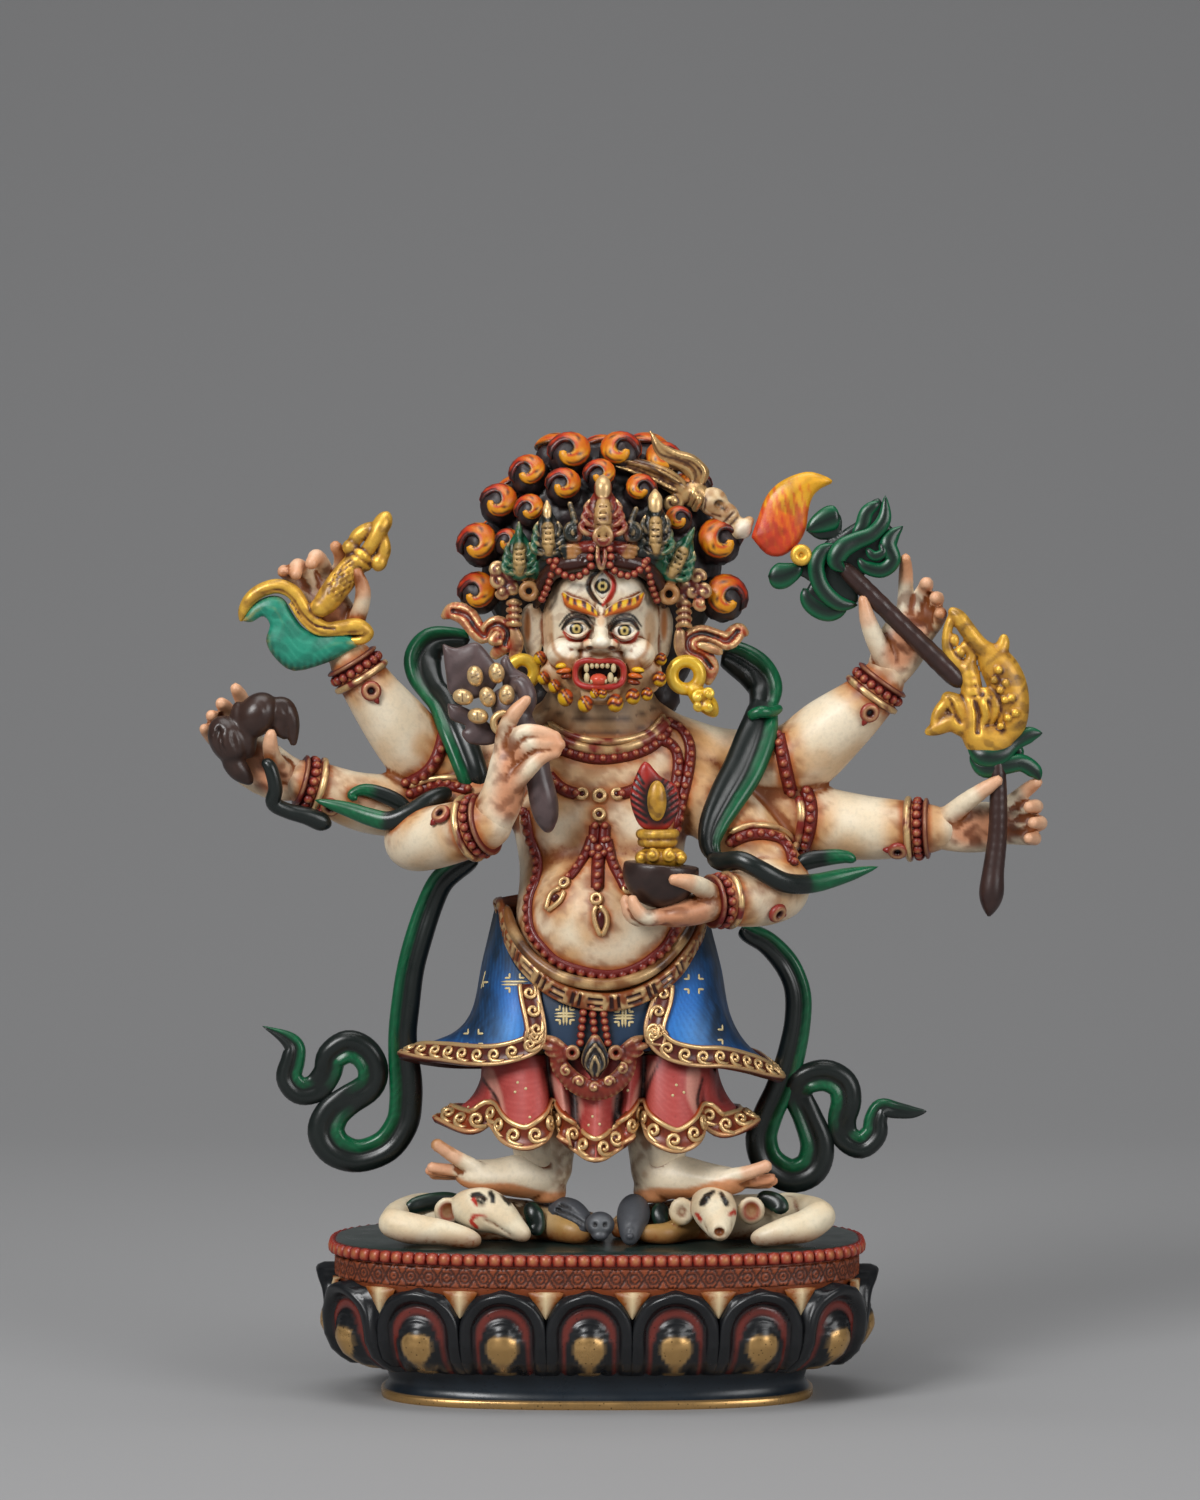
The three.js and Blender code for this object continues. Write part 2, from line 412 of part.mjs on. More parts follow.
// The chopper with its vajra handle, in the upper hand on the left
function chopper() {
  const blade = [[-32, 61.6], [-30.6, 62.4], [-28.8, 64.2], [-27, 63.4], [-25, 60.8], [-21.8, 60.4],
    [-20.6, 59.6],
    [-23, 57.6], [-26.4, 55.6], [-28.4, 56.6], [-29.6, 59.6]];
  const outline = new THREE.Shape(blade.map(([x, z]) => new THREE.Vector2(x, z)));
  const plate = new THREE.ExtrudeGeometry(outline, { depth: 1.6, bevelEnabled: false });
  plate.applyMatrix4(new THREE.Matrix4().makeRotationX(Math.PI / 2));
  plate.applyMatrix4(new THREE.Matrix4().makeTranslation(0, -2.4, -1.8));
  return [
    solidOf(plate),
    limb([[-25.8, -3.2, 58.4, 0.9], [-24.4, -3, 60, 1], [-22.6, -2.8, 62.2, 0.9],
      [-21.6, -2.8, 63.4, 0.6]], { sides: 5, steps: 1 }),
    limb([[-21.8, -2.8, 63, 0.6], [-20.6, -2.8, 64.6, 1.6, 1], [-19.6, -2.8, 65.8, 0.7],
      [-18.8, -2.8, 66.9, 0.3]], { sides: 5, steps: 1 }),
  ];
}

// The hourglass drum with its tassel, in the outer hand on the left
function drum() {
  return [
    ball([-30.4, -4.6, 46.2], [3, 2.4, 2.3], { lean: 40 }),
    ball([-32.8, -4.6, 44.1], [2, 2.2, 2.5], { lean: 20 }),
    ball([-28, -4.6, 46.3], [1.2, 1.1, 1.5], { lean: 15, detail: 0 }),
    limb([[-29.8, -5.8, 43.4, 0.9, 0.7], [-28.6, -5.4, 41.4, 0.9, 0.7], [-27.6, -4.6, 39.2, 0.9, 0.7],
      [-24.4, -3.6, 37.8, 0.6, 0.6]], { sides: 5, steps: 1 }),
  ];
}

// The jewel tree in the central hand on the left: leaves, seeds and a club-shaped stem
function jewelTree() {
  const seeds = [[-10.9, 50.8], [-8.9, 50.8], [-8.1, 49.1], [-9.7, 48.8], [-11.9, 48.8], [-10.6, 47.1]];
  return [
    limb([[-13.6, -7.4, 53.6, 0.4, 0.6], [-12, -8, 51.4, 2, 1.2], [-10, -8.4, 48.8, 3.1, 1.4],
      [-9, -8.6, 45.6, 2, 1],
      [-8.4, -8.8, 43.8, 0.6, 0.6]], { sides: 6, steps: 1 }),
    limb([[-8, -8.6, 48, 1.2, 0.9], [-6.6, -8.6, 50.4, 1.1, 0.7],
      [-6.4, -8.6, 51.6, 0.5, 0.5]], { sides: 6, steps: 1 }),
    seeds.map(([x, z]) => ball([x, -9.6, z], [0.9, 0.8, 1], { detail: 0 })),
    limb([[-7.4, -9.2, 48, 0.8], [-5.4, -9.8, 44.4, 0.8], [-4.6, -9.8, 41.6, 0.9], [-4.9, -9.2, 39, 1.15],
      [-4.6, -8.8, 37.2, 0.5]], { sides: 6, steps: 1 }),
  ];
}

// The skull cup with its vase and flaming leaf, in the central hand on the right
function skullCup() {
  const wall = 0.7;
  const profile = [[0, 30], [2, 30.6], [3.1, 32.6], [3.2, 34.6], [3.2 - wall, 34.6], [3.1 - wall, 33.6],
    [0, 33]];
  const bowl = new THREE.LatheGeometry(profile.map(([r, z]) => new THREE.Vector2(r, z)), 12);
  bowl.applyMatrix4(new THREE.Matrix4().makeRotationX(Math.PI / 2));
  bowl.applyMatrix4(new THREE.Matrix4().makeTranslation(5.8, -11.6, 0));
  return [
    solidOf(bowl),
    limb([[5.4, -11.6, 32.6, 1.8, 1.6], [5.2, -11.6, 34.8, 2.1, 1.8], [5.2, -11.6, 36, 1.3],
      [5.2, -11.6, 37.2, 1.5],
      [5.2, -11.6, 38, 1.1]], { sides: 7, steps: 1 }),
    limb([[5.2, -11.6, 37.4, 1.2, 0.8], [5.1, -11.6, 40.2, 2.2, 0.8], [5, -11.6, 42, 1.5, 0.7],
      [5, -11.6, 43.8, 0.3, 0.4]], { sides: 5, steps: 1 }),
  ];
}

// The trident with its skull, flame and knotted ribbon, laid from the upper right hand to the hair
function trident() {
  return [
    limb([[33.2, -2.6, 50, 0.8], [28, -2.8, 54.6, 0.75], [22, -2.6, 60, 0.7]], { sides: 5, steps: 1 }),
    limb([[22.6, -2.2, 59.4, 0.9, 0.8], [18, -1.8, 62.2, 0.8, 0.8], [13.3, -1.4, 64.4, 1, 1],
      [11.3, -1.4, 65.8, 1.5, 1.4],
      [9.2, -1.6, 67, 1.3, 1.2], [5, -2, 68.8, 0.7, 0.7],
        [1, -2.2, 70.2, 0.3, 0.4]], { sides: 5, steps: 1 }),
    limb([[9.4, -1.6, 67.2, 0.8], [9.9, -1.6, 69.2, 0.8, 0.6], [7.2, -1.8, 70.9, 1, 0.6],
      [4.9, -1.8, 72.5, 0.3, 0.4]], { sides: 5, steps: 1 }),
    limb([[9, -1.6, 66.6, 0.7], [6.8, -2.6, 65.6, 0.7, 0.6],
      [4.8, -2.8, 67.2, 0.4, 0.4]], { sides: 5, steps: 1 }),
    limb([[17.4, -2.4, 61.6, 1.8, 0.9], [16.4, -2.4, 64.4, 2.1, 1], [17.8, -2.4, 67, 1.6, 0.8],
      [20.9, -2.4, 68.4, 0.3, 0.4]], { sides: 5 }),
    ball([22.2, -2.2, 61], [4, 1.6, 3], { lean: 35 }),
    limb([[21.6, -2.2, 60.6, 1.2, 1], [17.6, -1.8, 58.6, 1.3, 0.7],
      [16, -1.8, 58.2, 0.7, 0.5]], { sides: 5, steps: 1 }),
    limb([[20.8, -2.2, 61, 1.2, 1], [20.6, -1.8, 63.6, 1.3, 0.7],
      [21.4, -1.8, 65.4, 0.8, 0.5]], { sides: 5, steps: 1 }),
    limb([[22.4, -2.2, 61, 1.4, 1], [25, -1.8, 63.2, 1.3, 0.8],
      [25.3, -1.8, 66.4, 0.5, 0.5]], { sides: 5, steps: 1 }),
  ];
}

// The goad with its beast's head and ribbon, in the lower right hand
function goad() {
  return [
    limb([[35.7, -3.4, 43.6, 0.9], [36.3, -3.4, 36.8, 0.9], [35.2, -3.4, 32.4, 0.95],
      [35.6, -3.4, 29.4, 0.3]], { sides: 5, steps: 1 }),
    ball([35, -3.2, 44.2], [2, 1.4, 1.4]),
    limb([[35.6, -3, 44.6, 0.9, 0.7], [38, -2.8, 45.6, 0.7, 0.6],
      [39.9, -2.8, 45.7, 0.4, 0.4]], { sides: 5, steps: 1 }),
    limb([[35.6, -3, 43.4, 0.9, 0.7], [38.4, -2.8, 43, 0.8, 0.6],
      [40, -2.8, 42, 0.4, 0.4]], { sides: 5, steps: 1 }),
    limb([[35, -3, 44.6, 1.6, 1.2], [37.2, -3, 47.4, 1.9, 1.4], [37, -3, 50.8, 1.8, 1.4],
      [35, -3, 53.4, 1.3, 1],
      [32.8, -3, 54.6, 0.9, 0.8], [31.3, -3, 56.6, 0.3, 0.4]], { sides: 5, steps: 1 }),
    limb([[34.8, -3, 45.4, 1, 1], [33.4, -3, 48.4, 1.4, 1.1], [33.2, -2.8, 51.4, 1.1, 1],
      [33.6, -3, 54, 0.9, 0.8]], { sides: 5, steps: 1 }),
    limb([[33.6, -3, 46, 1, 0.8], [31.4, -3, 46.8, 0.9, 0.7],
      [29.4, -3, 45.7, 0.3, 0.4]], { sides: 5, steps: 1 }),
    limb([[36.4, -3, 52.4, 0.9, 0.7], [36.6, -3, 54.2, 0.4, 0.4]], { sides: 5, steps: 1 }),
  ];
}

// The whole figure as one casting
function figure() {
  const parts = [torso(), head(), hair(), crown(), leftArms(), rightArms(), legs(), skirts(), scarf(),
    chopper(),
    drum(), jewelTree(), skullCup(), trident(), goad()];
  return joined(parts, FIGURE_SEAMS)
    .translate([0, 0, -SOLE_UNITS])
    .scale([unit, unit, unit])
    .translate([0, 0, PLATE_TOP + PRONE_HEIGHT]);
}

// The two prone beings with elephants' heads, lying feet to feet
function pronePair() {
  const backs = PRONE_UNITS_HIGH;
  const grown = bothSides((side) => [
    limb([[side * -1, 0.4, 1.7, 1.8, 3.2], [side * 4.6, -1.6, 2.4, 2.5, 3.6],
      [side * 9.6, -0.6, 2, 2.1, 3.8],
      [side * 13.4, -1, 1.9, 1.8, 3.2]], { sides: 8, steps: 1, facing: [0, -1, 0] }),
    limb([[side * 12, -2, 1.9, 1.6], [side * 17.2, -4.6, 1.7, 1.8], [side * 14, -8, 1.5, 1.4],
      [side * 11.4, -9.4, 1.2, 0.7]], { sides: 6, steps: 1 }),
    limb([[side * 10.6, 0.6, 1.9, 1.5], [side * 16.8, 1.6, 1.7, 1.5],
      [side * 18.6, 0.4, 1.3, 1]], { sides: 6, steps: 1 }),
    ball([side * 10, -6.6, 2.6], [2.3, 2.7, 2.2]),
    limb([[side * 12, -5.8, 1.2, 1.2, 1], [side * 12.6, -5.4, 3.6, 1.1, 1]], { sides: 6, steps: 1 }),
    ball([side * 2.2, -4.6, 1.8], [1.7, 1.8, 1.7]),
    ball([side * 1.2, -7, 1.1], [1, 1.1, 1], { detail: 0 }),
  ]);
  const trunks = [
    limb([[-9, -7.8, 2.2, 1.6], [-7.4, -9.2, 1.6, 1.1], [-6.2, -10.4, 1.1, 0.6]], { sides: 6, steps: 1 }),
    limb([[10, -7.6, 2.2, 1.6], [10.4, -9.4, 1.6, 1], [10.5, -10.6, 1.3, 0.8]], { sides: 6, steps: 1 }),
  ];
  const slab = new THREE.BoxGeometry(60, 40, backs).applyMatrix4(new THREE.Matrix4().makeTranslation(0,
    0, backs / 2));
  return joined([grown, trunks], BASE_SEAMS)
    .intersect(solidOf(slab))
    .scale([proneUnit, proneUnit, proneUnit])
    .translate([0, 0, PLATE_TOP]);
}

// A point on the pedestal's rounded outline, inset or proud of the plate by grow
function plan(turn, grow) {
  const angle = turn * 2 * Math.PI - Math.PI / 2;
  const power = 2 / PLAN_SQUARENESS;
  const corner = (v) => Math.sign(v) * Math.abs(v) ** power;
  return new THREE.Vector2((PLATE_HALF_WIDTH + grow) * corner(Math.cos(angle)),
    (PLATE_HALF_DEPTH + grow * DEPTH_SHARE) * corner(Math.sin(angle)));
}

function pedestal() {
  const petalTop = FOOT_HEIGHT + PETAL_ZONE_HEIGHT;
  const bandTop = petalTop + BAND_HEIGHT;
  const levels = [[0, -FOOT_INSET], [RIM_HEIGHT, -FOOT_INSET], [RIM_HEIGHT, -FOOT_INSET - 0.3],
    [FOOT_HEIGHT, -FOOT_INSET + 0.2], [FOOT_HEIGHT + PETAL_ZONE_HEIGHT * 0.4, -1.6], [petalTop, -0.3],
    [bandTop, -0.3], [bandTop, BEAD_ROW_PROUD],
    [PLATE_TOP - 0.2, BEAD_ROW_PROUD], [PLATE_TOP, 0]];
  const core = wrapped(40, levels.length + 1, (turn, rise) => {
    const level = Math.round(rise * (levels.length + 1)) - 1;
    if (level < 0) return new THREE.Vector3(0, 0, 0);
    if (level >= levels.length) return new THREE.Vector3(0, 0, PLATE_TOP);
    const [z, grow] = levels[level];
    const p = plan(turn, grow);
    return new THREE.Vector3(p.x, p.y, z);
  });
  const petalLength = PETAL_ZONE_HEIGHT + 0.4;
  const petals = Array.from({ length: PETAL_COUNT }, (_, i) => {
    const turn = evenTurn(i / PETAL_COUNT);
    const foot = plan(turn, -FOOT_INSET + 0.4);
    const belly = plan(turn, -1.2);
    const tip = plan(turn, 0.1);
    const out = outward(turn);
    const half = petalPitch() * 0.52;
    return limb([[foot.x, foot.y, FOOT_HEIGHT - 0.1, half * 0.5, 1],
      [belly.x, belly.y, FOOT_HEIGHT + petalLength * 0.42, half, 1.6],
      [tip.x, tip.y, FOOT_HEIGHT + petalLength * 0.86, half * 0.72, 0.9],
        [tip.x, tip.y, FOOT_HEIGHT + petalLength, half * 0.2, 0.4]],
    { sides: 6, steps: 1, facing: [out.x, out.y, 0] });
  });
  return joined([core, petals], BASE_SEAMS);
}

// The outward direction of the outline at a turn
function outward(turn) {
  const [before, after] = [plan(turn - 0.002, 0), plan(turn + 0.002, 0)];
  return new THREE.Vector2(after.y - before.y, before.x - after.x).normalize();
}

// The outline's length up to each of many turns, from which petals are spaced evenly
const OUTLINE_STEPS = 720;
const lengths = [0];
for (let i = 1; i <= OUTLINE_STEPS; i++) {
  lengths.push(lengths[i - 1] + plan(i / OUTLINE_STEPS, 0).distanceTo(plan((i - 1) / OUTLINE_STEPS, 0)));
}

function evenTurn(share) {
  const wanted = share * lengths[OUTLINE_STEPS];
  return lengths.findIndex((length) => length >= wanted) / OUTLINE_STEPS;
}

function petalPitch() {
  return lengths[OUTLINE_STEPS] / PETAL_COUNT;
}

const paint = (colour, roughness, metalness = 0) => new THREE.MeshStandardMaterial({ color: colour,
  roughness, metalness });

const root = new THREE.Group();
root.add(
  meshOf("lotus_pedestal", pedestal(), paint(0x1c1f22, 0.45)),
  meshOf("prone_elephant_pair", pronePair(), paint(0xe6dcc4, 0.55)),
  meshOf("mahakala_figure", figure(), paint(0xe9dfc8, 0.5)),
);

export default root;
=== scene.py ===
# %% [markdown]
# # The white Mahakala: a small painted casting
# The real object is a brass statue, about 87 mm high. It was cast in wax moulds, chased, and painted by hand.
# Its six arms carry a chopper, a drum, a jewel tree, a skull cup, a trident and a goad. Two prone beings with
# elephants' heads lie under its feet on a lotus pedestal.
# A reader can follow the order of a painter's bench: first the forms, then the ornaments, then the paint.
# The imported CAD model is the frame. It gives the sizes and places, and every piece made here stands for one
# of its three nodes.

# %% The frame, and the units
import math

import bpy
import numpy as np
import openvdb
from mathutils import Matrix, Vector
from mathutils.bvhtree import BVHTree


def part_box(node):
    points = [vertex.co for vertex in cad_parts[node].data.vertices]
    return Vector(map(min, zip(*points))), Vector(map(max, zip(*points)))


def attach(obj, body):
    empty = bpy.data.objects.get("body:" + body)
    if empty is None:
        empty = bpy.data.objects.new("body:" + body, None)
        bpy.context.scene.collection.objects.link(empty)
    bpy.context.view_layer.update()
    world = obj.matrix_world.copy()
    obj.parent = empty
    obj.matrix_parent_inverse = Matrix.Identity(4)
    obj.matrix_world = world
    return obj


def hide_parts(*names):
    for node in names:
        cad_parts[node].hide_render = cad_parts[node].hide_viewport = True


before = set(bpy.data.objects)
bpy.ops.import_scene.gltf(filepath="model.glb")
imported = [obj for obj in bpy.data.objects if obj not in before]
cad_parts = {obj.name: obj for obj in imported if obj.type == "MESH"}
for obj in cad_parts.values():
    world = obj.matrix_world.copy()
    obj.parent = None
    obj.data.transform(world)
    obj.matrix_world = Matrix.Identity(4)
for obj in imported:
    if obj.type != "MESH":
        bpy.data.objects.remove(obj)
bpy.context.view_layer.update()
FIGURE = "mahakala_figure"
PRONE = "prone_elephant_pair"
PEDESTAL = "lotus_pedestal"
MM = 0.001
PLATE_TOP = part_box(PEDESTAL)[1][2] / MM
MIDDLE_X = 0.36  # the figure's own middle line, in mm
FRONT = (0, -1, 0)  # the way it faces
print("plate top at", round(PLATE_TOP, 2), "mm")

# %% [markdown]
# ## Modelling in clay
# The bodies flow into each other: fingers into palms, arms into shoulders, a nose into a face. A sculptor
# would press lumps of clay together. The same is done here with a grid of numbers. Each cell holds its
# distance to the nearest surface, lumps are added with a soft joint, and other lumps press hollows in.
# OpenVDB, which comes with Blender, then draws a skin of even quads where the distance is zero.
# Subdivision surfaces could do this too, but they need a clean cage for each of thirty fingers.

# %% Paths through a few points
def smooth_path(points, steps):
    """A Catmull-Rom curve through rows of numbers, with steps points for each span."""
    rows = np.array(points, float)
    if len(rows) < 3 or steps < 2:
        return rows
    padded = np.vstack([2 * rows[0] - rows[1], rows, 2 * rows[-1] - rows[-2]])
    made = []
    for i in range(len(rows) - 1):
        a, b, c, d = padded[i : i + 4]
        for t in np.arange(steps) / steps:
            made.append(0.5 * (2 * b + (c - a) * t + (2 * a - 5 * b + 4 * c - d) * t**2
                               + (3 * b - a - 3 * c + d) * t**3))
    return np.array(made + [rows[-1]])


def lengths_along(path):
    """How far along the path each of its points lies."""
    return np.concatenate([[0], np.cumsum(np.linalg.norm(np.diff(path, axis=0), axis=1))])


def unit(vector):
    vector = np.asarray(vector, float)
    return vector / (np.linalg.norm(vector) + 1e-12)


def unit_rows(rows):
    return rows / (np.linalg.norm(rows, axis=-1, keepdims=True) + 1e-12)


def turned(degrees, axis="y"):
    """A rotation matrix about one axis."""
    c, s = math.cos(math.radians(degrees)), math.sin(math.radians(degrees))
    return {
        "x": np.array([[1, 0, 0], [0, c, -s], [0, s, c]]),
        "y": np.array([[c, 0, -s], [0, 1, 0], [s, 0, c]]),
        "z": np.array([[c, -s, 0], [s, c, 0], [0, 0, 1]]),
    }[axis]


# %% The clay itself
class Clay:
    """A grid of distances to a surface, in mm, that balls and limbs are pressed onto or into."""

    def __init__(self, low, high, voxel):
        self.voxel = voxel
        self.low = np.array(low, float)
        self.far = 10 * voxel
        shape = np.ceil((np.array(high) - self.low) / voxel).astype(int) + 1
        self.field = np.full(shape, self.far, np.float32)

    def press(self, low, high, distance, soft, carve):
        """Blends a shape, given as a function of position, into the cells between two corners."""
        margin = soft + 3 * self.voxel
        first = np.floor((np.array(low) - margin - self.low) / self.voxel).astype(int)
        last = np.ceil((np.array(high) + margin - self.low) / self.voxel).astype(int) + 1
        first, last = np.clip(first, 0, self.field.shape), np.clip(last, 0, self.field.shape)
        if np.any(last <= first):
            return
        axes = [self.low[i] + self.voxel * np.arange(first[i], last[i]) for i in range(3)]
        spot = np.meshgrid(*axes, indexing="ij", sparse=True)
        window = tuple(slice(a, b) for a, b in zip(first, last))
        here = self.field[window]
        shape = distance(*spot)
        if carve:
            shape = -shape
        gap = np.clip(soft - np.abs(here - shape), 0, None)
        bend = gap**2 / (4 * max(soft, 1e-6))
        self.field[window] = np.maximum(here, shape) + bend if carve else np.minimum(here, shape) - bend

    def ball(self, centre, radii, turn=None, soft=0.4, carve=False):
        """An ellipsoid, turned by a matrix."""
        centre, radii = np.array(centre, float), np.broadcast_to(np.array(radii, float), 3)
        turn = np.eye(3) if turn is None else turn
        reach = np.abs(turn) @ radii

        def distance(x, y, z):
            away = (x - centre[0], y - centre[1], z - centre[2])
            local = [sum(turn[j, i] * away[j] for j in range(3)) / radii[i] for i in range(3)]
            near = np.sqrt(sum(part**2 for part in local))
            steep = np.sqrt(sum((part / r) ** 2 for part, r in zip(local, radii))) + 1e-9
            return near * (near - 1) / steep

        self.press(centre - reach, centre + reach, distance, soft, carve)

    def limb(self, points, steps=4, soft=0.4, carve=False):
        """A limb through rows of x, y, z, half width and, if it is flattened, half thickness."""
        rows = [list(p) + [p[3]] if len(p) == 4 else list(p) for p in points]
        rows = smooth_path(rows, steps)
        rows[:, 3:] = np.clip(rows[:, 3:], 0.05, None)
        for start, end in zip(rows[:-1], rows[1:]):
            self.segment(start, end, soft, carve)

    def segment(self, start, end, soft, carve):
        """One straight stretch of a limb, with its width across the view from the front."""
        line = end[:3] - start[:3]
        length = np.linalg.norm(line) + 1e-9
        along = line / length
        facing = FRONT if np.linalg.norm(np.cross(along, FRONT)) > 0.2 else (0, 0, 1)
        across = unit(np.cross(along, facing))
        out = np.cross(across, along)
        reach = max(start[3:].max(), end[3:].max())

        def distance(x, y, z):
            away = (x - start[0], y - start[1], z - start[2])
            run = sum(along[i] * away[i] for i in range(3))
            share = np.clip(run / length, 0, 1)
            wide = start[3] + share * (end[3] - start[3])
            deep = start[4] + share * (end[4] - start[4])
            thin = np.minimum(wide, deep)
            past = (run - share * length) / thin
            side = sum(across[i] * away[i] for i in range(3)) / wide
            front = sum(out[i] * away[i] for i in range(3)) / deep
            return (np.sqrt(side**2 + front**2 + past**2) - 1) * thin

        low = np.minimum(start[:3], end[:3]) - reach
        high = np.maximum(start[:3], end[:3]) + reach
        self.press(low, high, distance, soft, carve)

    def shave(self, low, high, level, soft):
        """Cuts away what lies below a level, between two corners."""
        self.press(low, high, lambda x, y, z: z - level, soft, True)

    def skin(self):
        """The surface as points in mm and quads."""
        grid = openvdb.FloatGrid(self.far)
        grid.copyFromArray(np.clip(self.field, -self.far, self.far))
        points, _, quads = grid.convertToPolygons(isovalue=0.0, adaptivity=0.0)
        return np.array(points, float) * self.voxel + self.low, np.array(quads, int)


# %% [markdown]
# ## Measuring relief
# A painted casting is read by its creases. The painter brushes a thin brown wash over everything and wipes it
# off again, so it stays in the creases, and the gold is dry-brushed over what stands proud. Both need one
# number at each point: how far it stands out of the surface averaged around it. Cycles has a pointiness
# value, but the exported model would lose it, so it is measured here and kept on the mesh as an attribute.

# %% Relief and nearness of a mesh
def face_array(faces):
    """Quads and triangles as rows of four, where a triangle repeats its last corner."""
    return np.array([list(f) + [f[-1]] * (4 - len(f)) for f in faces], int)


def point_normals(points, quads):
    """The way out of the surface at each point."""
    cross = np.cross(points[quads[:, 2]] - points[quads[:, 0]], points[quads[:, 3]] - points[quads[:, 1]])
    total = np.zeros_like(points)
    for corner in range(4):
        for axis in range(3):
            total[:, axis] += np.bincount(quads[:, corner], cross[:, axis], len(points))
    return unit_rows(total)


def proud(points, quads, rounds):
    """How far each point stands out of the surface averaged around it over so many rounds, in mm."""
    pairs = np.vstack([quads[:, [i, (i + 1) % 4]] for i in range(4)])
    pairs = pairs[pairs[:, 0] != pairs[:, 1]]
    a, b = pairs[:, 0], pairs[:, 1]
    count = np.bincount(a, minlength=len(points)) + np.bincount(b, minlength=len(points))
    count = np.maximum(count, 1)[:, None]
    level = points.copy()
    for _ in range(rounds):
        total = np.stack([np.bincount(a, level[b, i], len(points)) + np.bincount(b, level[a, i], len(points))
                          for i in range(3)], 1)
        level = 0.4 * level + 0.6 * total / count
    return np.sum((points - level) * point_normals(points, quads), axis=1)


def surface_tree(points, faces):
    """A tree that finds places on a surface quickly."""
    return BVHTree.FromPolygons([Vector(p) for p in points], [tuple(map(int, face)) for face in faces])


def nearness(points, tree, reach):
    """1 where a point touches the surface in the tree, falling to 0 at reach."""
    near = np.zeros(len(points))
    for i, point in enumerate(points):
        distance = tree.find_nearest(Vector(point), reach)[3]
        if distance is not None:
            near[i] = 1 - distance / reach
    return near


def ramp(values, low, high):
    """0 below low, 1 above high, smooth between."""
    t = np.clip((np.asarray(values, float) - low) / (high - low), 0, 1)
    return t * t * (3 - 2 * t)


# %% Colours, and brushing them on points
def linear(text):
    """An sRGB hex colour as linear numbers."""
    values = [int(text[i : i + 2], 16) / 255 for i in (1, 3, 5)]
    return np.array([v / 12.92 if v <= 0.04045 else ((v + 0.055) / 1.055) ** 2.4 for v in values])


class Paint:
    """The coat on a set of points: a colour for each, and how much wash and bare gold it has."""

    def __init__(self, points, base):
        self.points = points
        self.colour = np.tile(linear(base), (len(points), 1))
        self.wash = np.zeros(len(points))
        self.rub = np.zeros(len(points))

    def brush(self, mask, colour):
        """Covers the points with a colour, as much as the mask says."""
        mask = np.clip(mask, 0, 1)[:, None]
        self.colour = self.colour * (1 - mask) + linear(colour) * mask
        return self

    def dab(self, centre, radii, colour, soft=0.25):
        """A spot of colour inside an ellipsoid."""
        return self.brush(inside(self.points, centre, radii, soft), colour)

    def line(self, path, width, colour, soft=0.06):
        """A brush line of a half width along a path."""
        return self.brush(1 - ramp(path_distance(self.points, path), width - soft, width + soft), colour)


def mottle(points, size, seed=0):
    """Smooth blotches between 0 and 1, about as wide as size."""
    draws = np.random.default_rng(seed)
    total = np.zeros(len(points))
    for _ in range(6):
        way = draws.normal(size=3)
        way *= 2 * math.pi / (size * draws.uniform(1.3, 3.0)) / np.linalg.norm(way)
        bend = np.sin(points[:, ::-1] @ way * 0.7 + draws.uniform(0, 6))
        total += np.sin(points @ way + draws.uniform(0, 6) + 1.4 * bend)
    return 0.5 + 0.5 * np.tanh(total / 1.7)


def inside(points, centre, radii, soft=0.25):
    """1 inside an ellipsoid and 0 outside it, with a soft edge."""
    away = (points - np.array(centre)) / np.array(radii)
    return 1 - ramp(np.linalg.norm(away, axis=1), 1 - soft, 1 + soft)


def path_distance(points, path):
    """The distance from each point to a path, in mm."""
    rows = np.array(path, float)
    best = np.full(len(points), 1e9)
    for a, b in zip(rows[:-1], rows[1:]):
        line = b - a
        share = np.clip((points - a) @ line / (line @ line + 1e-12), 0, 1)
        best = np.minimum(best, np.linalg.norm(points - a - share[:, None] * line, axis=1))
    return best


# %% Putting a piece in the scene
def make_mesh(name, points, faces):
    """A smooth mesh from points in mm and faces, which may be an array of quads."""
    mesh = bpy.data.meshes.new(name)
    if isinstance(faces, np.ndarray):
        mesh.vertices.add(len(points))
        mesh.vertices.foreach_set("co", (points * MM).astype(np.float32).ravel())
        mesh.loops.add(faces.size)
        mesh.loops.foreach_set("vertex_index", faces.astype(np.int32).ravel())
        mesh.polygons.add(len(faces))
        mesh.polygons.foreach_set("loop_start", np.arange(len(faces), dtype=np.int32) * faces.shape[1])
        mesh.update(calc_edges=True)
    else:
        mesh.from_pydata((points * MM).tolist(), [], faces)
    mesh.validate()
    mesh.polygons.foreach_set("use_smooth", np.ones(len(mesh.polygons), bool))
    return mesh


def set_paint(mesh, paint):
    """Keeps the coat on the mesh, as attributes that the finish reads."""
    colour = mesh.attributes.new("paint", "FLOAT_COLOR", "POINT")
    colour.data.foreach_set("color", np.hstack([paint.colour, np.ones((len(paint.colour), 1))]).ravel())
    for name, values in (("wash", paint.wash), ("rub", paint.rub)):
        attribute = mesh.attributes.new(name, "FLOAT", "POINT")
        attribute.data.foreach_set("value", np.clip(values, 0, 1).astype(np.float32))


def place(mesh, node, material):
    """Links a mesh as a piece that stands for a CAD node, and gives it its finish."""
    obj = bpy.data.objects.new(mesh.name, mesh)
    bpy.context.scene.collection.objects.link(obj)
    if material is not None:
        mesh.materials.clear()
        mesh.materials.append(material)
    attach(obj, "root")
    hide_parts(node)
    print(mesh.name, len(mesh.polygons), "faces")
    return obj


def lifted(points):
    """From the figure's grid, which counts up from the plate, to the row's frame."""
    return points + np.array([0, 0, PLATE_TOP])


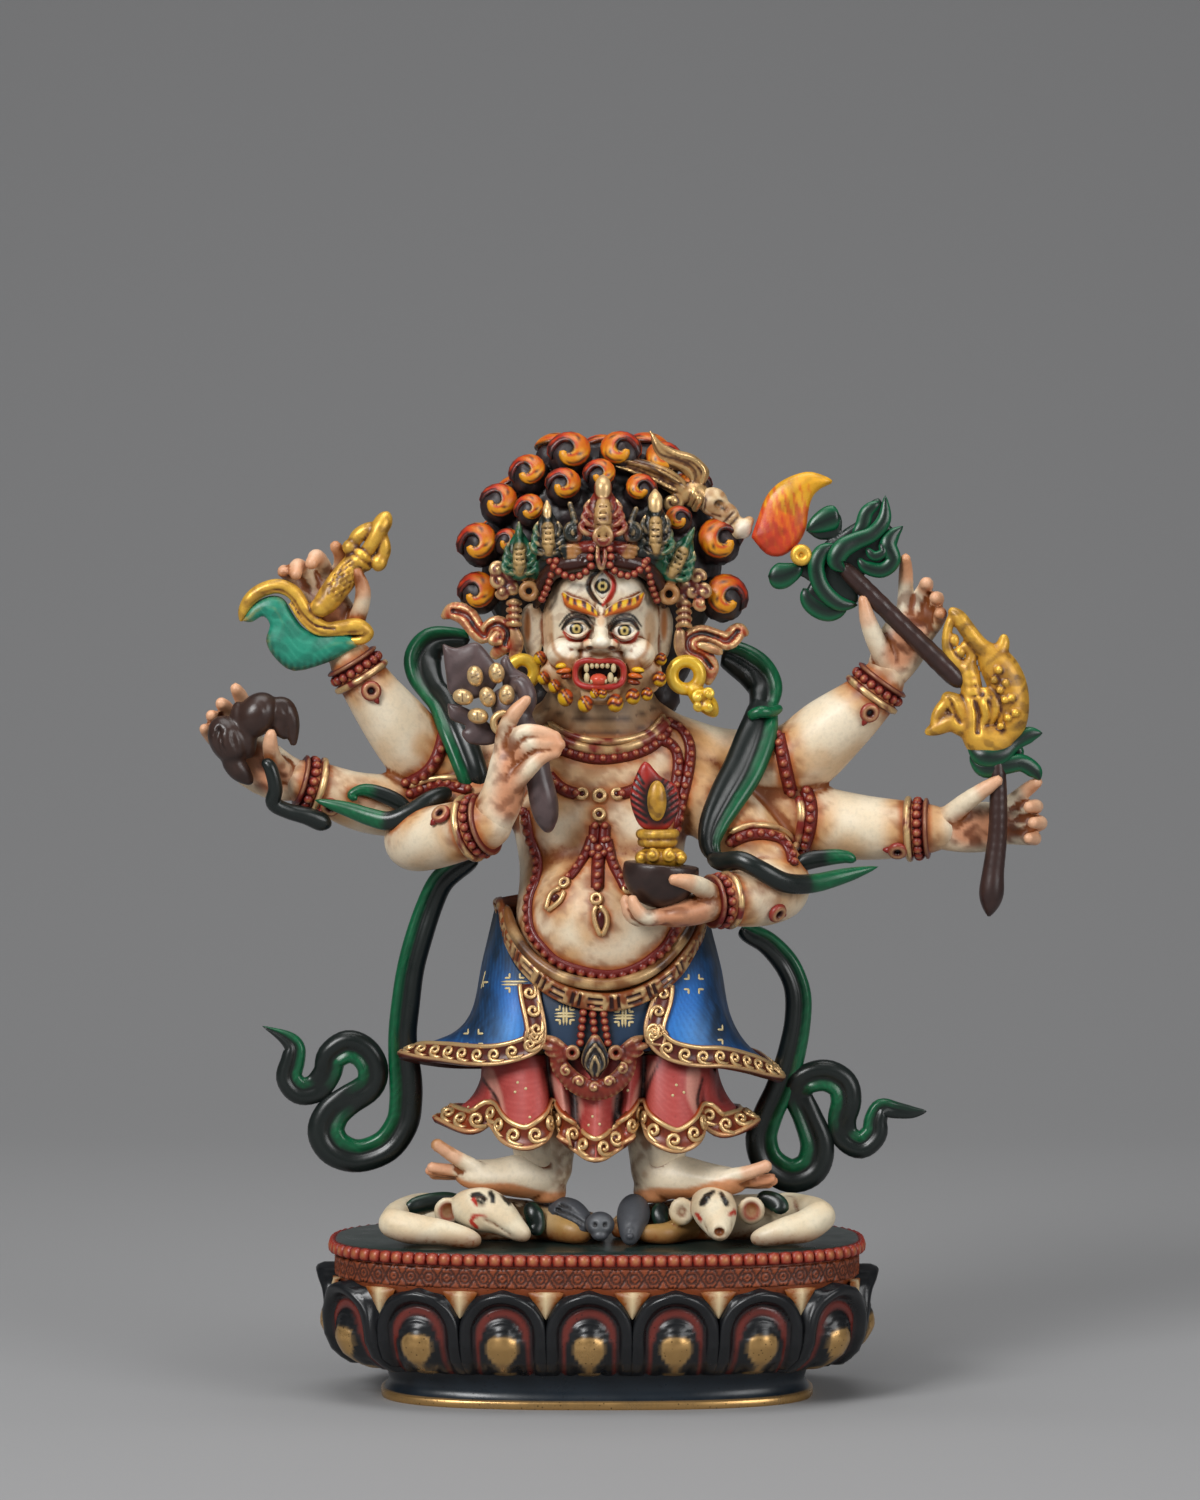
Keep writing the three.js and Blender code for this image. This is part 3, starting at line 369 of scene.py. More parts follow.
def painted_piece(name, points, quads, node, paint, material):
    """A mesh with its coat, placed. Only the pedestal's points already count from the table."""
    mesh = make_mesh(name, points if node == PEDESTAL else lifted(points), quads)
    set_paint(mesh, paint)
    return place(mesh, node, material)


# %% [markdown]
# ## Paint on metal
# Every coat on the statue is the same kind of thing: an artist's acrylic on brass, brushed on, washed with
# brown and sealed with a satin varnish. So one recipe makes all of them. The colour comes from the points,
# a fine noise breaks it up as brush hairs do, the wash darkens the creases, and the rubbed edges show gold
# powder in binder, which is half a metal.

# %% A node, and the painted finish
def add(tree, kind, links=None, **settings):
    """One shader or geometry node, with its settings and what feeds it."""
    made = tree.nodes.new(kind)
    for key, value in settings.items():
        if hasattr(made, key):
            setattr(made, key, value)
        else:
            made.inputs[key.replace("_", " ")].default_value = value
    for socket, source in (links or {}).items():
        tree.links.new(source, made.inputs[socket])
    return made


def rgba(text):
    """An sRGB hex colour as a socket wants it."""
    return (*linear(text), 1.0)


def mixed(tree, share, low, high):
    """Two colours mixed by a share. Each may be a hex text or a socket."""
    mix = add(tree, "ShaderNodeMix", data_type="RGBA")
    for socket, value in ((6, low), (7, high)):
        if isinstance(value, str):
            mix.inputs[socket].default_value = rgba(value)
        else:
            tree.links.new(value, mix.inputs[socket])
    tree.links.new(share, mix.inputs[0])
    return mix.outputs[2]


def painted(name, wash="#8A5424", gold="#E3B566", roughness=0.42, gold_metal=0.75, grain_mm=0.5, bump=0.16,
            pits_mm=0.0, dirt=0.22):
    """Hand-brushed acrylic on cast brass, with a wiped wash and gold on the raised edges."""
    material = bpy.data.materials.new(name)
    material.use_nodes = True
    tree = material.node_tree
    tree.nodes.clear()
    place_at = add(tree, "ShaderNodeTexCoord").outputs["Object"]
    coat = add(tree, "ShaderNodeAttribute", attribute_name="paint").outputs["Color"]
    in_crease = add(tree, "ShaderNodeAttribute", attribute_name="wash").outputs["Fac"]
    on_edge = add(tree, "ShaderNodeAttribute", attribute_name="rub").outputs["Fac"]
    brush = add(tree, "ShaderNodeTexNoise", {"Vector": place_at}, Scale=1 / (grain_mm * MM),
                Detail=5.0, Roughness=0.6)
    blot = add(tree, "ShaderNodeTexNoise", {"Vector": place_at}, Scale=1 / (2.6 * MM), Detail=3.0)
    thin = add(tree, "ShaderNodeMapRange", {"Value": brush.outputs["Fac"]}, To_Min=0.70, To_Max=1.18)
    shade = add(tree, "ShaderNodeVectorMath", {0: coat, "Scale": thin.outputs["Result"]}, operation="SCALE")
    pooled = add(tree, "ShaderNodeMath", {0: brush.outputs["Fac"], 1: blot.outputs["Fac"]}, operation="ADD")
    pool = add(tree, "ShaderNodeMapRange", {"Value": pooled.outputs[0]},
               From_Min=0.6, From_Max=1.4, To_Min=0.55, To_Max=1.45)
    speck = add(tree, "ShaderNodeMapRange", {"Value": brush.outputs["Fac"]},
                From_Min=0.55, From_Max=0.75, To_Max=dirt)
    washed = add(tree, "ShaderNodeMath",
                 {0: in_crease, 1: pool.outputs["Result"], 2: speck.outputs["Result"]},
                 operation="MULTIPLY_ADD", use_clamp=True)
    stained = mixed(tree, washed.outputs[0], shade.outputs["Vector"], wash)
    worn = add(tree, "ShaderNodeMath", {0: on_edge, 1: pool.outputs["Result"]},
               operation="MULTIPLY", use_clamp=True)
    colour = mixed(tree, worn.outputs[0], stained, gold)
    metal = add(tree, "ShaderNodeMath", {0: worn.outputs[0]}, operation="MULTIPLY")
    metal.inputs[1].default_value = gold_metal
    rough = add(tree, "ShaderNodeMapRange", {"Value": blot.outputs["Fac"]},
                To_Min=roughness - 0.12, To_Max=roughness + 0.14)
    relief = brush.outputs["Fac"]
    if pits_mm:
        cells = add(tree, "ShaderNodeTexVoronoi", {"Vector": place_at},
                    Scale=1 / (pits_mm * MM), Randomness=1.0)
        hole = add(tree, "ShaderNodeMapRange", {"Value": cells.outputs["Distance"]},
                   From_Min=0.08, From_Max=0.2)
        relief = add(tree, "ShaderNodeMath", {0: relief, 1: hole.outputs["Result"]},
                     operation="MULTIPLY").outputs[0]
        pitted = add(tree, "ShaderNodeMapRange", {"Value": hole.outputs["Result"]}, To_Min=0.3, To_Max=1.0)
        darker = add(tree, "ShaderNodeVectorMath",
                     {0: colour, "Scale": pitted.outputs["Result"]}, operation="SCALE")
        colour = darker.outputs["Vector"]
    height = add(tree, "ShaderNodeBump", {"Height": relief}, Strength=bump, Distance=0.06 * MM)
    shader = add(
        tree, "ShaderNodeBsdfPrincipled",
        {"Base Color": colour, "Metallic": metal.outputs[0], "Roughness": rough.outputs["Result"],
         "Normal": height.outputs["Normal"]},
        IOR=1.48,
    )
    add(tree, "ShaderNodeOutputMaterial", {"Surface": shader.outputs["BSDF"]})
    return material


ACRYLIC_SKIN = painted("ivory acrylic on brass", wash="#7E4218", grain_mm=0.45, roughness=0.42)
ACRYLIC_ORNAMENT = painted("oxide red acrylic with gold powder", wash="#3A1410",
                           gold="#E8BE78", roughness=0.38)
print("painted finishes ready")

# %% [markdown]
# ## The ruler
# The figure was laid out from a photograph taken from the front. Lengths across and up can be read from it,
# if the depth of a place is known, so places on the front are given here as they appear in the picture,
# with a depth in mm. The ruler turns them into mm on the figure's grid. The same numbers set up the camera.

# %% The camera's numbers as a ruler
CAMERA_X, CAMERA_BACK, CAMERA_UP = 0.27, 470.0, 76.8  # mm from the middle, in front of it, above the table
CAMERA_TILT, CAMERA_LENS = 2.27, 125.3  # degrees down, and mm for a sensor 36 mm wide
PICTURE_MM = 0.09  # mm for each step of the picture at the figure's middle
PICTURE_MIDDLE, PICTURE_HORIZON = 600.0, 543.0


def seen(across, down, depth):
    """The mm place, on the figure's grid, of a place in the picture at a depth along +Y."""
    scale = PICTURE_MM * (CAMERA_BACK + depth) / CAMERA_BACK
    return [
        CAMERA_X + (across - PICTURE_MIDDLE) * scale,
        depth,
        CAMERA_UP - PLATE_TOP - (down - PICTURE_HORIZON) * scale,
    ]


def seen_path(rows):
    """Rows of across, down, depth and any sizes, as rows of x, y, z and the same sizes."""
    return [seen(*row[:3]) + list(row[3:]) for row in rows]


# %% [markdown]
# ## Sweeps and shells
# Ribbons, belts, cups and cloth aren't clay. They are a section carried along a path, or a sheet with an
# even thickness. Blender's curves bevel along a path too, but they turn a flat section as they please.
# Here the section always faces a chosen way, and each point knows how far along and across it lies.

# %% Faces between rows of points
def grid_faces(rows, columns, loop=False, closed=False):
    """Quads between rows of points. loop joins each row's ends, closed joins the last row to the first."""
    faces = []
    for i in range(rows if closed else rows - 1):
        a, b = i * columns, (i + 1) % rows * columns
        for j in range(columns if loop else columns - 1):
            k = (j + 1) % columns
            faces.append((a + j, a + k, b + k, b + j))
    return faces


def six_volumes(points, quads):
    """Six times the volume inside the quads, less than 0 if they look inwards."""
    a, b, c, d = (points[quads[:, i]] for i in range(4))
    return np.sum(np.cross(a, b) * c) + np.sum(np.cross(a, c) * d)


def outward(points, faces):
    """The faces, turned round if they look inwards."""
    return [tuple(reversed(f)) for f in faces] if six_volumes(points, face_array(faces)) < 0 else faces


# %% A section carried along a path
def sweep(path, section, facing=FRONT, closed=False):
    """Points, faces and each point's (length along, place across) of a section carried along a path.

    path rows are x, y, z, half width, half thickness. section rows are (across, out) from -1 to 1.
    facing is one direction, or one for each row of the path.
    """
    rows = np.array(path, float)
    spots, sizes = rows[:, :3], rows[:, 3:5]
    count, round_count = len(rows), len(section)
    along = unit_rows(np.roll(spots, -1, 0) - np.roll(spots, 1, 0) if closed else np.gradient(spots, axis=0))
    across = unit_rows(np.cross(along, np.broadcast_to(np.array(facing, float), spots.shape)))
    out = np.cross(across, along)
    section = np.array(section, float)
    points = (
        spots[:, None]
        + across[:, None] * (section[:, 0] * sizes[:, :1])[..., None]
        + out[:, None] * (section[:, 1] * sizes[:, 1:])[..., None]
    ).reshape(-1, 3)
    length = lengths_along(spots)
    where = np.stack([np.repeat(length, round_count), np.tile(section[:, 0], count)], 1)
    faces = grid_faces(count, round_count, True, closed)
    if not closed:
        points = np.vstack([points, spots[0], spots[-1]])
        where = np.vstack([where, [0, 0], [length[-1], 0]])
        first, last = len(points) - 2, len(points) - 1
        end = (count - 1) * round_count
        for j in range(round_count):
            k = (j + 1) % round_count
            faces.append((first, k, j))
            faces.append((last, end + j, end + k))
    return points, outward(points, faces), where


def strip(spots, half, thick):
    """A path of one half width and one half thickness all along."""
    return np.column_stack([spots, np.full(len(spots), half), np.full(len(spots), thick)])


def softened(rows, rounds):
    """Rows drawn towards the middle of their neighbours, so many times. The two ends stay."""
    for _ in range(rounds):
        rows[1:-1] = 0.5 * rows[1:-1] + 0.25 * (rows[:-2] + rows[2:])
    return rows


def rounded(count):
    """A round section, which a path's width and thickness may flatten."""
    turn = np.arange(count) / count * 2 * math.pi
    return np.stack([np.cos(turn), np.sin(turn)], 1)


def tapered(path, first=0.25, last=0.25):
    """The path with its ends drawn to a rounded point."""
    rows = np.array(path, float)
    share = np.linspace(0, 1, len(rows))
    for width, away in ((first, share), (last, 1 - share)):
        if width > 0:
            close = np.clip(away / width, 0, 1)
            rows[:, 3:5] *= np.sqrt(np.clip(1 - (1 - close) ** 2, 0.0004, 1))[:, None]
    return rows


# %% A sheet with a thickness
def grid_normals(grid):
    """The way out of a sheet at each point of its grid."""
    return unit_rows(np.cross(np.gradient(grid, axis=0), np.gradient(grid, axis=1)))


def shell(grid, thickness):
    """Closed points and faces from a grid of surface points. The grid's normal side stays in place."""
    rows, columns = grid.shape[:2]
    points = np.concatenate([grid.reshape(-1, 3), (grid - grid_normals(grid) * thickness).reshape(-1, 3)])
    index = np.arange(rows * columns).reshape(rows, columns)
    back = index + rows * columns
    faces = []
    for top, flip in ((index, False), (back, True)):
        quads = np.stack([top[:-1, :-1], top[1:, :-1], top[1:, 1:], top[:-1, 1:]], -1).reshape(-1, 4)
        faces.append(quads[:, ::-1] if flip else quads)
    rim = np.concatenate([index[:, 0], index[-1, 1:], index[-2::-1, -1], index[0, -2:0:-1]])
    rim_back = rim + rows * columns
    following = np.roll(np.arange(len(rim)), -1)
    faces.append(np.stack([rim, rim_back, rim_back[following], rim[following]], 1))
    faces = np.concatenate(faces)
    return points, faces if six_volumes(points, faces) >= 0 else faces[:, ::-1]


def draped(columns, across_steps, down_steps):
    """A cloth surface through columns of points that run from top to hem, as rows going down."""
    even = np.array([resampled(smooth_path(c, 8), down_steps) for c in columns])
    return np.stack([smooth_path(even[:, j], across_steps) for j in range(down_steps)])


def resampled(path, count):
    """The path with its points at equal lengths."""
    rows = np.array(path, float)
    length = lengths_along(rows[:, :3])
    wanted = np.linspace(0, length[-1], count)
    return np.stack([np.interp(wanted, length, rows[:, i]) for i in range(rows.shape[1])], 1)


def merged(parts):
    """Several (points, faces) as one."""
    points, faces, start = [], [], 0
    for some_points, some_faces in parts:
        points.append(some_points)
        faces += [tuple(i + start for i in face) for face in some_faces]
        start += len(some_points)
    return np.vstack(points), faces


# %% [markdown]
# ## Repeating small things
# Beads, curls, scrolls and petals repeat by the hundred. Geometry Nodes sets copies of one small mesh on
# points, turned by two arrows that each point carries: one away from the surface, one along it. A second
# tree first walks along strings and drops a point at each bead's spacing. Both end in plain geometry,
# because copies that are only linked don't leave Blender.

# %% The two trees
def socket(tree, name, kind, side="INPUT"):
    return tree.interface.new_socket(name=name, in_out=side, socket_type=kind)


def copies_tree(name, on_strings):
    """A tree that sets copies of a piece on points, or at even steps along strings."""
    tree = bpy.data.node_groups.new(name, "GeometryNodeTree")
    socket(tree, "Geometry", "NodeSocketGeometry")
    socket(tree, "Piece", "NodeSocketObject")
    socket(tree, "Spacing", "NodeSocketFloat")
    socket(tree, "Finish", "NodeSocketMaterial")
    socket(tree, "Geometry", "NodeSocketGeometry", "OUTPUT")
    given = add(tree, "NodeGroupInput").outputs
    points = given["Geometry"]
    if on_strings:
        curve = add(tree, "GeometryNodeMeshToCurve", {"Mesh": points})
        walk = add(tree, "GeometryNodeResampleCurve",
                   {"Curve": curve.outputs["Curve"], "Length": given["Spacing"]},
                   mode="LENGTH")
        points = walk.outputs["Curve"]
    away, onward, size = (
        add(tree, "GeometryNodeInputNamedAttribute", data_type="FLOAT_VECTOR",
            Name=label).outputs["Attribute"]
        for label in ("away", "onward", "size")
    )
    stand = add(tree, "FunctionNodeAlignRotationToVector", {"Vector": away}, axis="Z")
    face = add(tree, "FunctionNodeAlignRotationToVector",
               {"Rotation": stand.outputs["Rotation"], "Vector": onward},
               axis="Y", pivot_axis="Z")
    piece = add(tree, "GeometryNodeObjectInfo", {"Object": given["Piece"]})
    placed = add(tree, "GeometryNodeInstanceOnPoints",
                 {"Points": points, "Instance": piece.outputs["Geometry"],
                  "Rotation": face.outputs["Rotation"], "Scale": size})
    real = add(tree, "GeometryNodeRealizeInstances", {"Geometry": placed.outputs["Instances"]})
    finish = add(tree, "GeometryNodeSetMaterial",
                 {"Geometry": real.outputs["Geometry"], "Material": given["Finish"]})
    add(tree, "NodeGroupOutput", {"Geometry": finish.outputs["Geometry"]})
    return tree


ON_POINTS = copies_tree("copies on points", False)
ON_STRINGS = copies_tree("copies on strings", True)


# %% Running a tree into a plain mesh
def pattern_piece(name, points, faces, paint, material):
    """One small mesh to copy, centred on the origin, in mm. It isn't shown by itself."""
    mesh = make_mesh(name, points, faces)
    set_paint(mesh, paint)
    mesh.materials.append(material)
    return bpy.data.objects.new(name, mesh)


def vector_attribute(mesh, name, values):
    attribute = mesh.attributes.new(name, "FLOAT_VECTOR", "POINT")
    attribute.data.foreach_set("vector", np.asarray(values, np.float32).ravel())


def copies(name, tree, piece, spots, edges, away, onward, size, spacing, node, material):
    """Copies of a piece on points, or along strings if spacing isn't 0, as one plain piece."""
    base = bpy.data.meshes.new(name + "_points")
    spots = lifted(np.array(spots, float)) if node != PEDESTAL else np.array(spots, float)
    base.from_pydata((spots * MM).tolist(), edges, [])
    vector_attribute(base, "away", away)
    vector_attribute(base, "onward", onward)
    vector_attribute(base, "size", size)
    holder = bpy.data.objects.new(name + "_points", base)
    bpy.context.scene.collection.objects.link(holder)
    modifier = holder.modifiers.new("copies", "NODES")
    modifier.node_group = tree
    inputs = {"Piece": piece, "Spacing": float(spacing * MM), "Finish": material}
    for item in tree.interface.items_tree:
        if item.in_out == "INPUT" and item.name in inputs:
            modifier[item.identifier] = inputs[item.name]
    bpy.context.view_layer.update()
    ready = holder.evaluated_get(bpy.context.evaluated_depsgraph_get())
    mesh = bpy.data.meshes.new_from_object(ready)
    mesh.name = name
    bpy.data.objects.remove(holder)
    mesh.polygons.foreach_set("use_smooth", np.ones(len(mesh.polygons), bool))
    return place(mesh, node, material)


class Strings:
    """Strings of beads: paths, with the way out of the surface at each point."""

    def __init__(self):
        self.spots, self.edges, self.away, self.onward, self.size = [], [], [], [], []

    def add(self, path, away, size=1.0, closed=False):
        """One more string, of beads so many times as big as their pattern."""
        path, start = np.array(path, float)[:, :3], len(self.spots)
        away = np.broadcast_to(np.array(away, float), path.shape)
        self.spots += path.tolist()
        self.away += away.tolist()
        self.onward += unit_rows(np.gradient(path, axis=0)).tolist()
        self.size += [[size] * 3] * len(path)
        self.edges += [(start + i, start + i + 1) for i in range(len(path) - 1)]
        if closed:
            self.edges.append((start + len(path) - 1, start))


# %% One bead: gold on its crown, red where it is set
def bead_shape(radius, rings=5, sides=8, tall=0.9):
    """A ball with its poles along Z, flattened by tall."""
    points = [[0, 0, radius * tall]]
    for i in range(1, rings):
        turn = math.pi * i / rings
        for j in range(sides):
            side = 2 * math.pi * j / sides
            points.append([radius * math.sin(turn) * math.cos(side), radius * math.sin(turn) * math.sin(side),
                           radius * tall * math.cos(turn)])
    points.append([0, 0, -radius * tall])
    faces = [(0, 1 + j, 1 + (j + 1) % sides) for j in range(sides)]
    for a, b, c, d in grid_faces(rings - 1, sides, True):
        faces.append((1 + a, 1 + d, 1 + c, 1 + b))
    last = len(points) - 1
    faces += [(last, last - sides + (j + 1) % sides, last - sides + j) for j in range(sides)]
    return np.array(points), faces


def bead(name, radius, low="#5E1614", crown="#9A2E22", gilt=0.42, tall=0.9, square=1.0):
    """A bead to copy. square below 1 makes it blocky from above."""
    points, faces = bead_shape(radius, tall=tall)
    points[:, :2] = radius * np.sign(points[:, :2]) * np.abs(points[:, :2] / radius) ** square
    paint = Paint(points, low)
    height = points[:, 2] / radius
    paint.brush(ramp(height, 0.1, 0.75) * 0.7, crown)
    paint.rub = ramp(height, 0.68, 0.98) * gilt
    paint.wash = ramp(-height, -0.15, 0.5)
    return pattern_piece(name, points, faces, paint, ACRYLIC_ORNAMENT)


BEAD_RADIUS = 0.46
BEAD = bead("bead", BEAD_RADIUS)
print("bead of", len(BEAD.data.polygons), "faces")

# %% [markdown]
# ## The lotus pedestal
# The pedestal is a low oval drum. From the ground up it has a bare filed rim, a pitted blue-black foot, a
# ring of petals, a scratched brown band, a row of beads and the flat plate. The outline is a superellipse,
# so the front is nearly straight and the ends are round. Petals and beads are spaced evenly along it.

# %% The outline and its even spacing
PLATE_HALF = np.array([23.7, 12.5])
SQUARENESS = 2.7
DEPTH_SHARE = 0.6


def outline(turn, grow=0.0):
    """A point of the plate's outline, moved out by grow. Turn 0 is the middle of the front."""
    angle = np.asarray(turn) * 2 * math.pi - math.pi / 2
    power = 2 / SQUARENESS
    c, s = np.cos(angle), np.sin(angle)
    return np.stack([(PLATE_HALF[0] + grow) * np.sign(c) * np.abs(c) ** power,
                     (PLATE_HALF[1] + grow * DEPTH_SHARE) * np.sign(s) * np.abs(s) ** power], -1)


fine_turns = np.linspace(0, 1, 2001)
fine_spots = outline(fine_turns)
fine_lengths = lengths_along(fine_spots)
PLATE_ROUND = fine_lengths[-1]


def even_turns(count, shift=0.0):
    """Turns that lie at even lengths round the plate."""
    shares = (np.arange(count) + shift) / count
    return np.interp(shares % 1, fine_lengths / PLATE_ROUND, fine_turns)


def outline_away(turn):
    """The way out of the plate's outline."""
    step = outline(np.asarray(turn) + 0.001) - outline(np.asarray(turn) - 0.001)
    return unit_rows(np.stack([step[..., 1], -step[..., 0]], -1))


print("plate outline", round(PLATE_ROUND, 1), "mm round")

# %% The drum
RIM_TOP, PETAL_TOP, BAND_TOP = 0.7, 10.9, 13.0  # heights in mm
FOOT = -4.2  # how far the foot's outline lies out of the plate's
# height, and how far out of the plate's outline
DRUM_PROFILE = [(0.0, FOOT - 0.05), (0.1, FOOT), (RIM_TOP - 0.12, FOOT + 0.02), (RIM_TOP, FOOT - 0.12),
                (RIM_TOP + 0.1, FOOT - 0.4), (1.6, FOOT - 0.75), (2.5, FOOT - 0.5), (3.3, FOOT + 0.3),
                (3.8, FOOT + 1.2), (6.6, -1.7), (9.7, -0.7), (PETAL_TOP - 0.2, -0.4), (PETAL_TOP, -0.3),
                (PETAL_TOP + 0.2, -0.25),
                (BAND_TOP - 0.25, -0.2), (BAND_TOP - 0.1, -0.35), (BAND_TOP + 0.1, -0.3),
                (BAND_TOP + 0.2, 0.0),
                (PLATE_TOP - 0.25, 0.0), (PLATE_TOP - 0.08, -0.06), (PLATE_TOP, -0.3)]


def refined_profile(profile, step):
    """The profile with more points, no further apart than about a step."""
    rows = [profile[0]]
    for (z0, g0), (z1, g1) in zip(profile[:-1], profile[1:]):
        parts = max(1, int(math.hypot(z1 - z0, g1 - g0) / step))
        rows += [(z0 + (z1 - z0) * k / parts, g0 + (g1 - g0) * k / parts) for k in range(1, parts + 1)]
    return rows


def model_drum(width=280, step=0.55):
    """The drum as rings: in over the underside, up the profile, and in over the plate."""
    turns = np.linspace(0, 1, width, endpoint=False)

    def ring(grow, share, up):
        return np.column_stack([outline(turns, grow) * share, np.full(width, up)])

    rings = [ring(FOOT - 0.05, share, 0) for share in (0.1, 0.6)]
    rings += [ring(grow, 1, up) for up, grow in refined_profile(DRUM_PROFILE, step)]
    rings += [ring(-0.3, share, PLATE_TOP) for share in (0.8, 0.55, 0.3, 0.1)]
    faces = grid_faces(len(rings), width, True)
    faces.append(tuple(range(width - 1, -1, -1)))
    faces.append(tuple((len(rings) - 1) * width + j for j in range(width)))
    return np.vstack(rings), faces


drum_points, drum_faces = model_drum()
LACQUER = painted("black lacquer on cast brass", wash="#1A0C08", gold="#C29A62",
                  roughness=0.3, gold_metal=0.85,
                  grain_mm=0.35, bump=0.1, pits_mm=0.5)

drum_paint = Paint(drum_points, "#17212A")
height = drum_points[:, 2]
drum_paint.brush(ramp(height, 3.2, 4.0), "#15120F")
drum_paint.brush(ramp(height, PETAL_TOP - 0.5, PETAL_TOP - 0.2), "#8A4526")
drum_paint.brush(ramp(height, BAND_TOP - 0.1, BAND_TOP + 0.1), "#7C2019")
drum_paint.brush(ramp(height, PLATE_TOP - 0.14, PLATE_TOP - 0.04), "#1F2E2A")
drum_paint.rub = 1 - ramp(height, RIM_TOP - 0.05, RIM_TOP + 0.1)
painted_piece("pedestal_drum", drum_points, drum_faces, PEDESTAL, drum_paint, LACQUER)

# %% The scratched band, as fine relief
BAND_PITCH, BAND_CUT = 1.68, 0.11


def band_marks_at(side, up):
    """1 on the scratched marks of one repeat: a ring round a dot, and crossed lines between repeats."""
    ring = np.abs(np.hypot(side, up) - 0.42) < 0.1
    dot = np.hypot(side, up) < 0.14
    gap = BAND_PITCH / 2 - np.abs(side)
    cross = (np.abs(gap - np.abs(up) * 0.62) < 0.11) & (np.abs(up) < 0.86)
    corner = np.hypot(side, np.abs(up) - 0.8) < 0.13
    return (ring | dot | cross | corner).astype(float)


def model_band(columns=1000, rows=15):
    """The band's points, faces and marks. Its first and last rows turn in behind the drum's face."""
    turns = even_turns(columns)
    repeats = np.arange(columns) / columns * round(PLATE_ROUND / BAND_PITCH)
    side = ((repeats + 0.5) % 1 - 0.5) * BAND_PITCH
    low, high = PETAL_TOP + 0.12, BAND_TOP - 0.06
    grid, cut = [], []
    for i in range(rows):
        share = i / (rows - 1)
        cut.append(band_marks_at(side, (share - 0.5) * (high - low)))
        inward = BAND_CUT * cut[-1] + (0.3 if i in (0, rows - 1) else 0.0)
        ring = outline(turns, -0.02) - outline_away(turns) * inward[:, None]
        grid.append(np.column_stack([ring, np.full(columns, low + share * (high - low))]))
    return np.vstack(grid), grid_faces(rows, columns, True), np.concatenate(cut)


band_points, band_faces, band_marks = model_band()
band_paint = Paint(band_points, "#A04E28")
band_paint.brush(0.55 * mottle(band_points, 1.1, 22), "#6E3018")
band_paint.brush(band_marks * 0.95, "#25120E")
band_paint.wash = 0.25 + 0.5 * band_marks
OXIDE = painted("brown oxide over etched brass", wash="#4A2010", gold="#D8A468", roughness=0.45, grain_mm=0.3)
painted_piece("etched_band", band_points, band_faces, PEDESTAL, band_paint, OXIDE)

# %% The bead row under the plate
row_turns = even_turns(600)
row_spots = np.column_stack([outline(row_turns, 0.1), np.full(600, BAND_TOP + 0.62)])
row_away = np.column_stack([outline_away(row_turns), np.full(600, 0.12)])
ledge_beads = Strings()
ledge_beads.add(row_spots, row_away, size=1.18, closed=True)


def bead_strings(name, strings, spacing, node, piece=BEAD):
    """Beads along strings, a spacing apart in mm."""
    return copies(name, ON_STRINGS, piece, strings.spots, strings.edges, strings.away, strings.onward,
                  strings.size, spacing, node, ACRYLIC_ORNAMENT)


LEDGE_BEAD = bead("ledge bead", 0.5, low="#7C1F18", crown="#A8402A", gilt=0.85, tall=0.8, square=0.6)
bead_strings("plate_bead_row", ledge_beads, 1.13, PEDESTAL, LEDGE_BEAD)

# %% One petal, and the ring of them
PETAL_HALF, PETAL_SHOULDER, PETAL_HIGH = 3.84, 3.9, 7.75
PETAL_FOOT = 3.1


def petal_out(up):
    """How far the petal's leaf stands out of the plate's edge, by its height."""
    return np.interp(up, [0, 0.55, 1.4, 2.8, 4.55, 6.1, 7.15, 7.8],
                     [-2.6, -1.7, -0.7, 0.0, 0.25, 0.3, 0.55, 0.8])


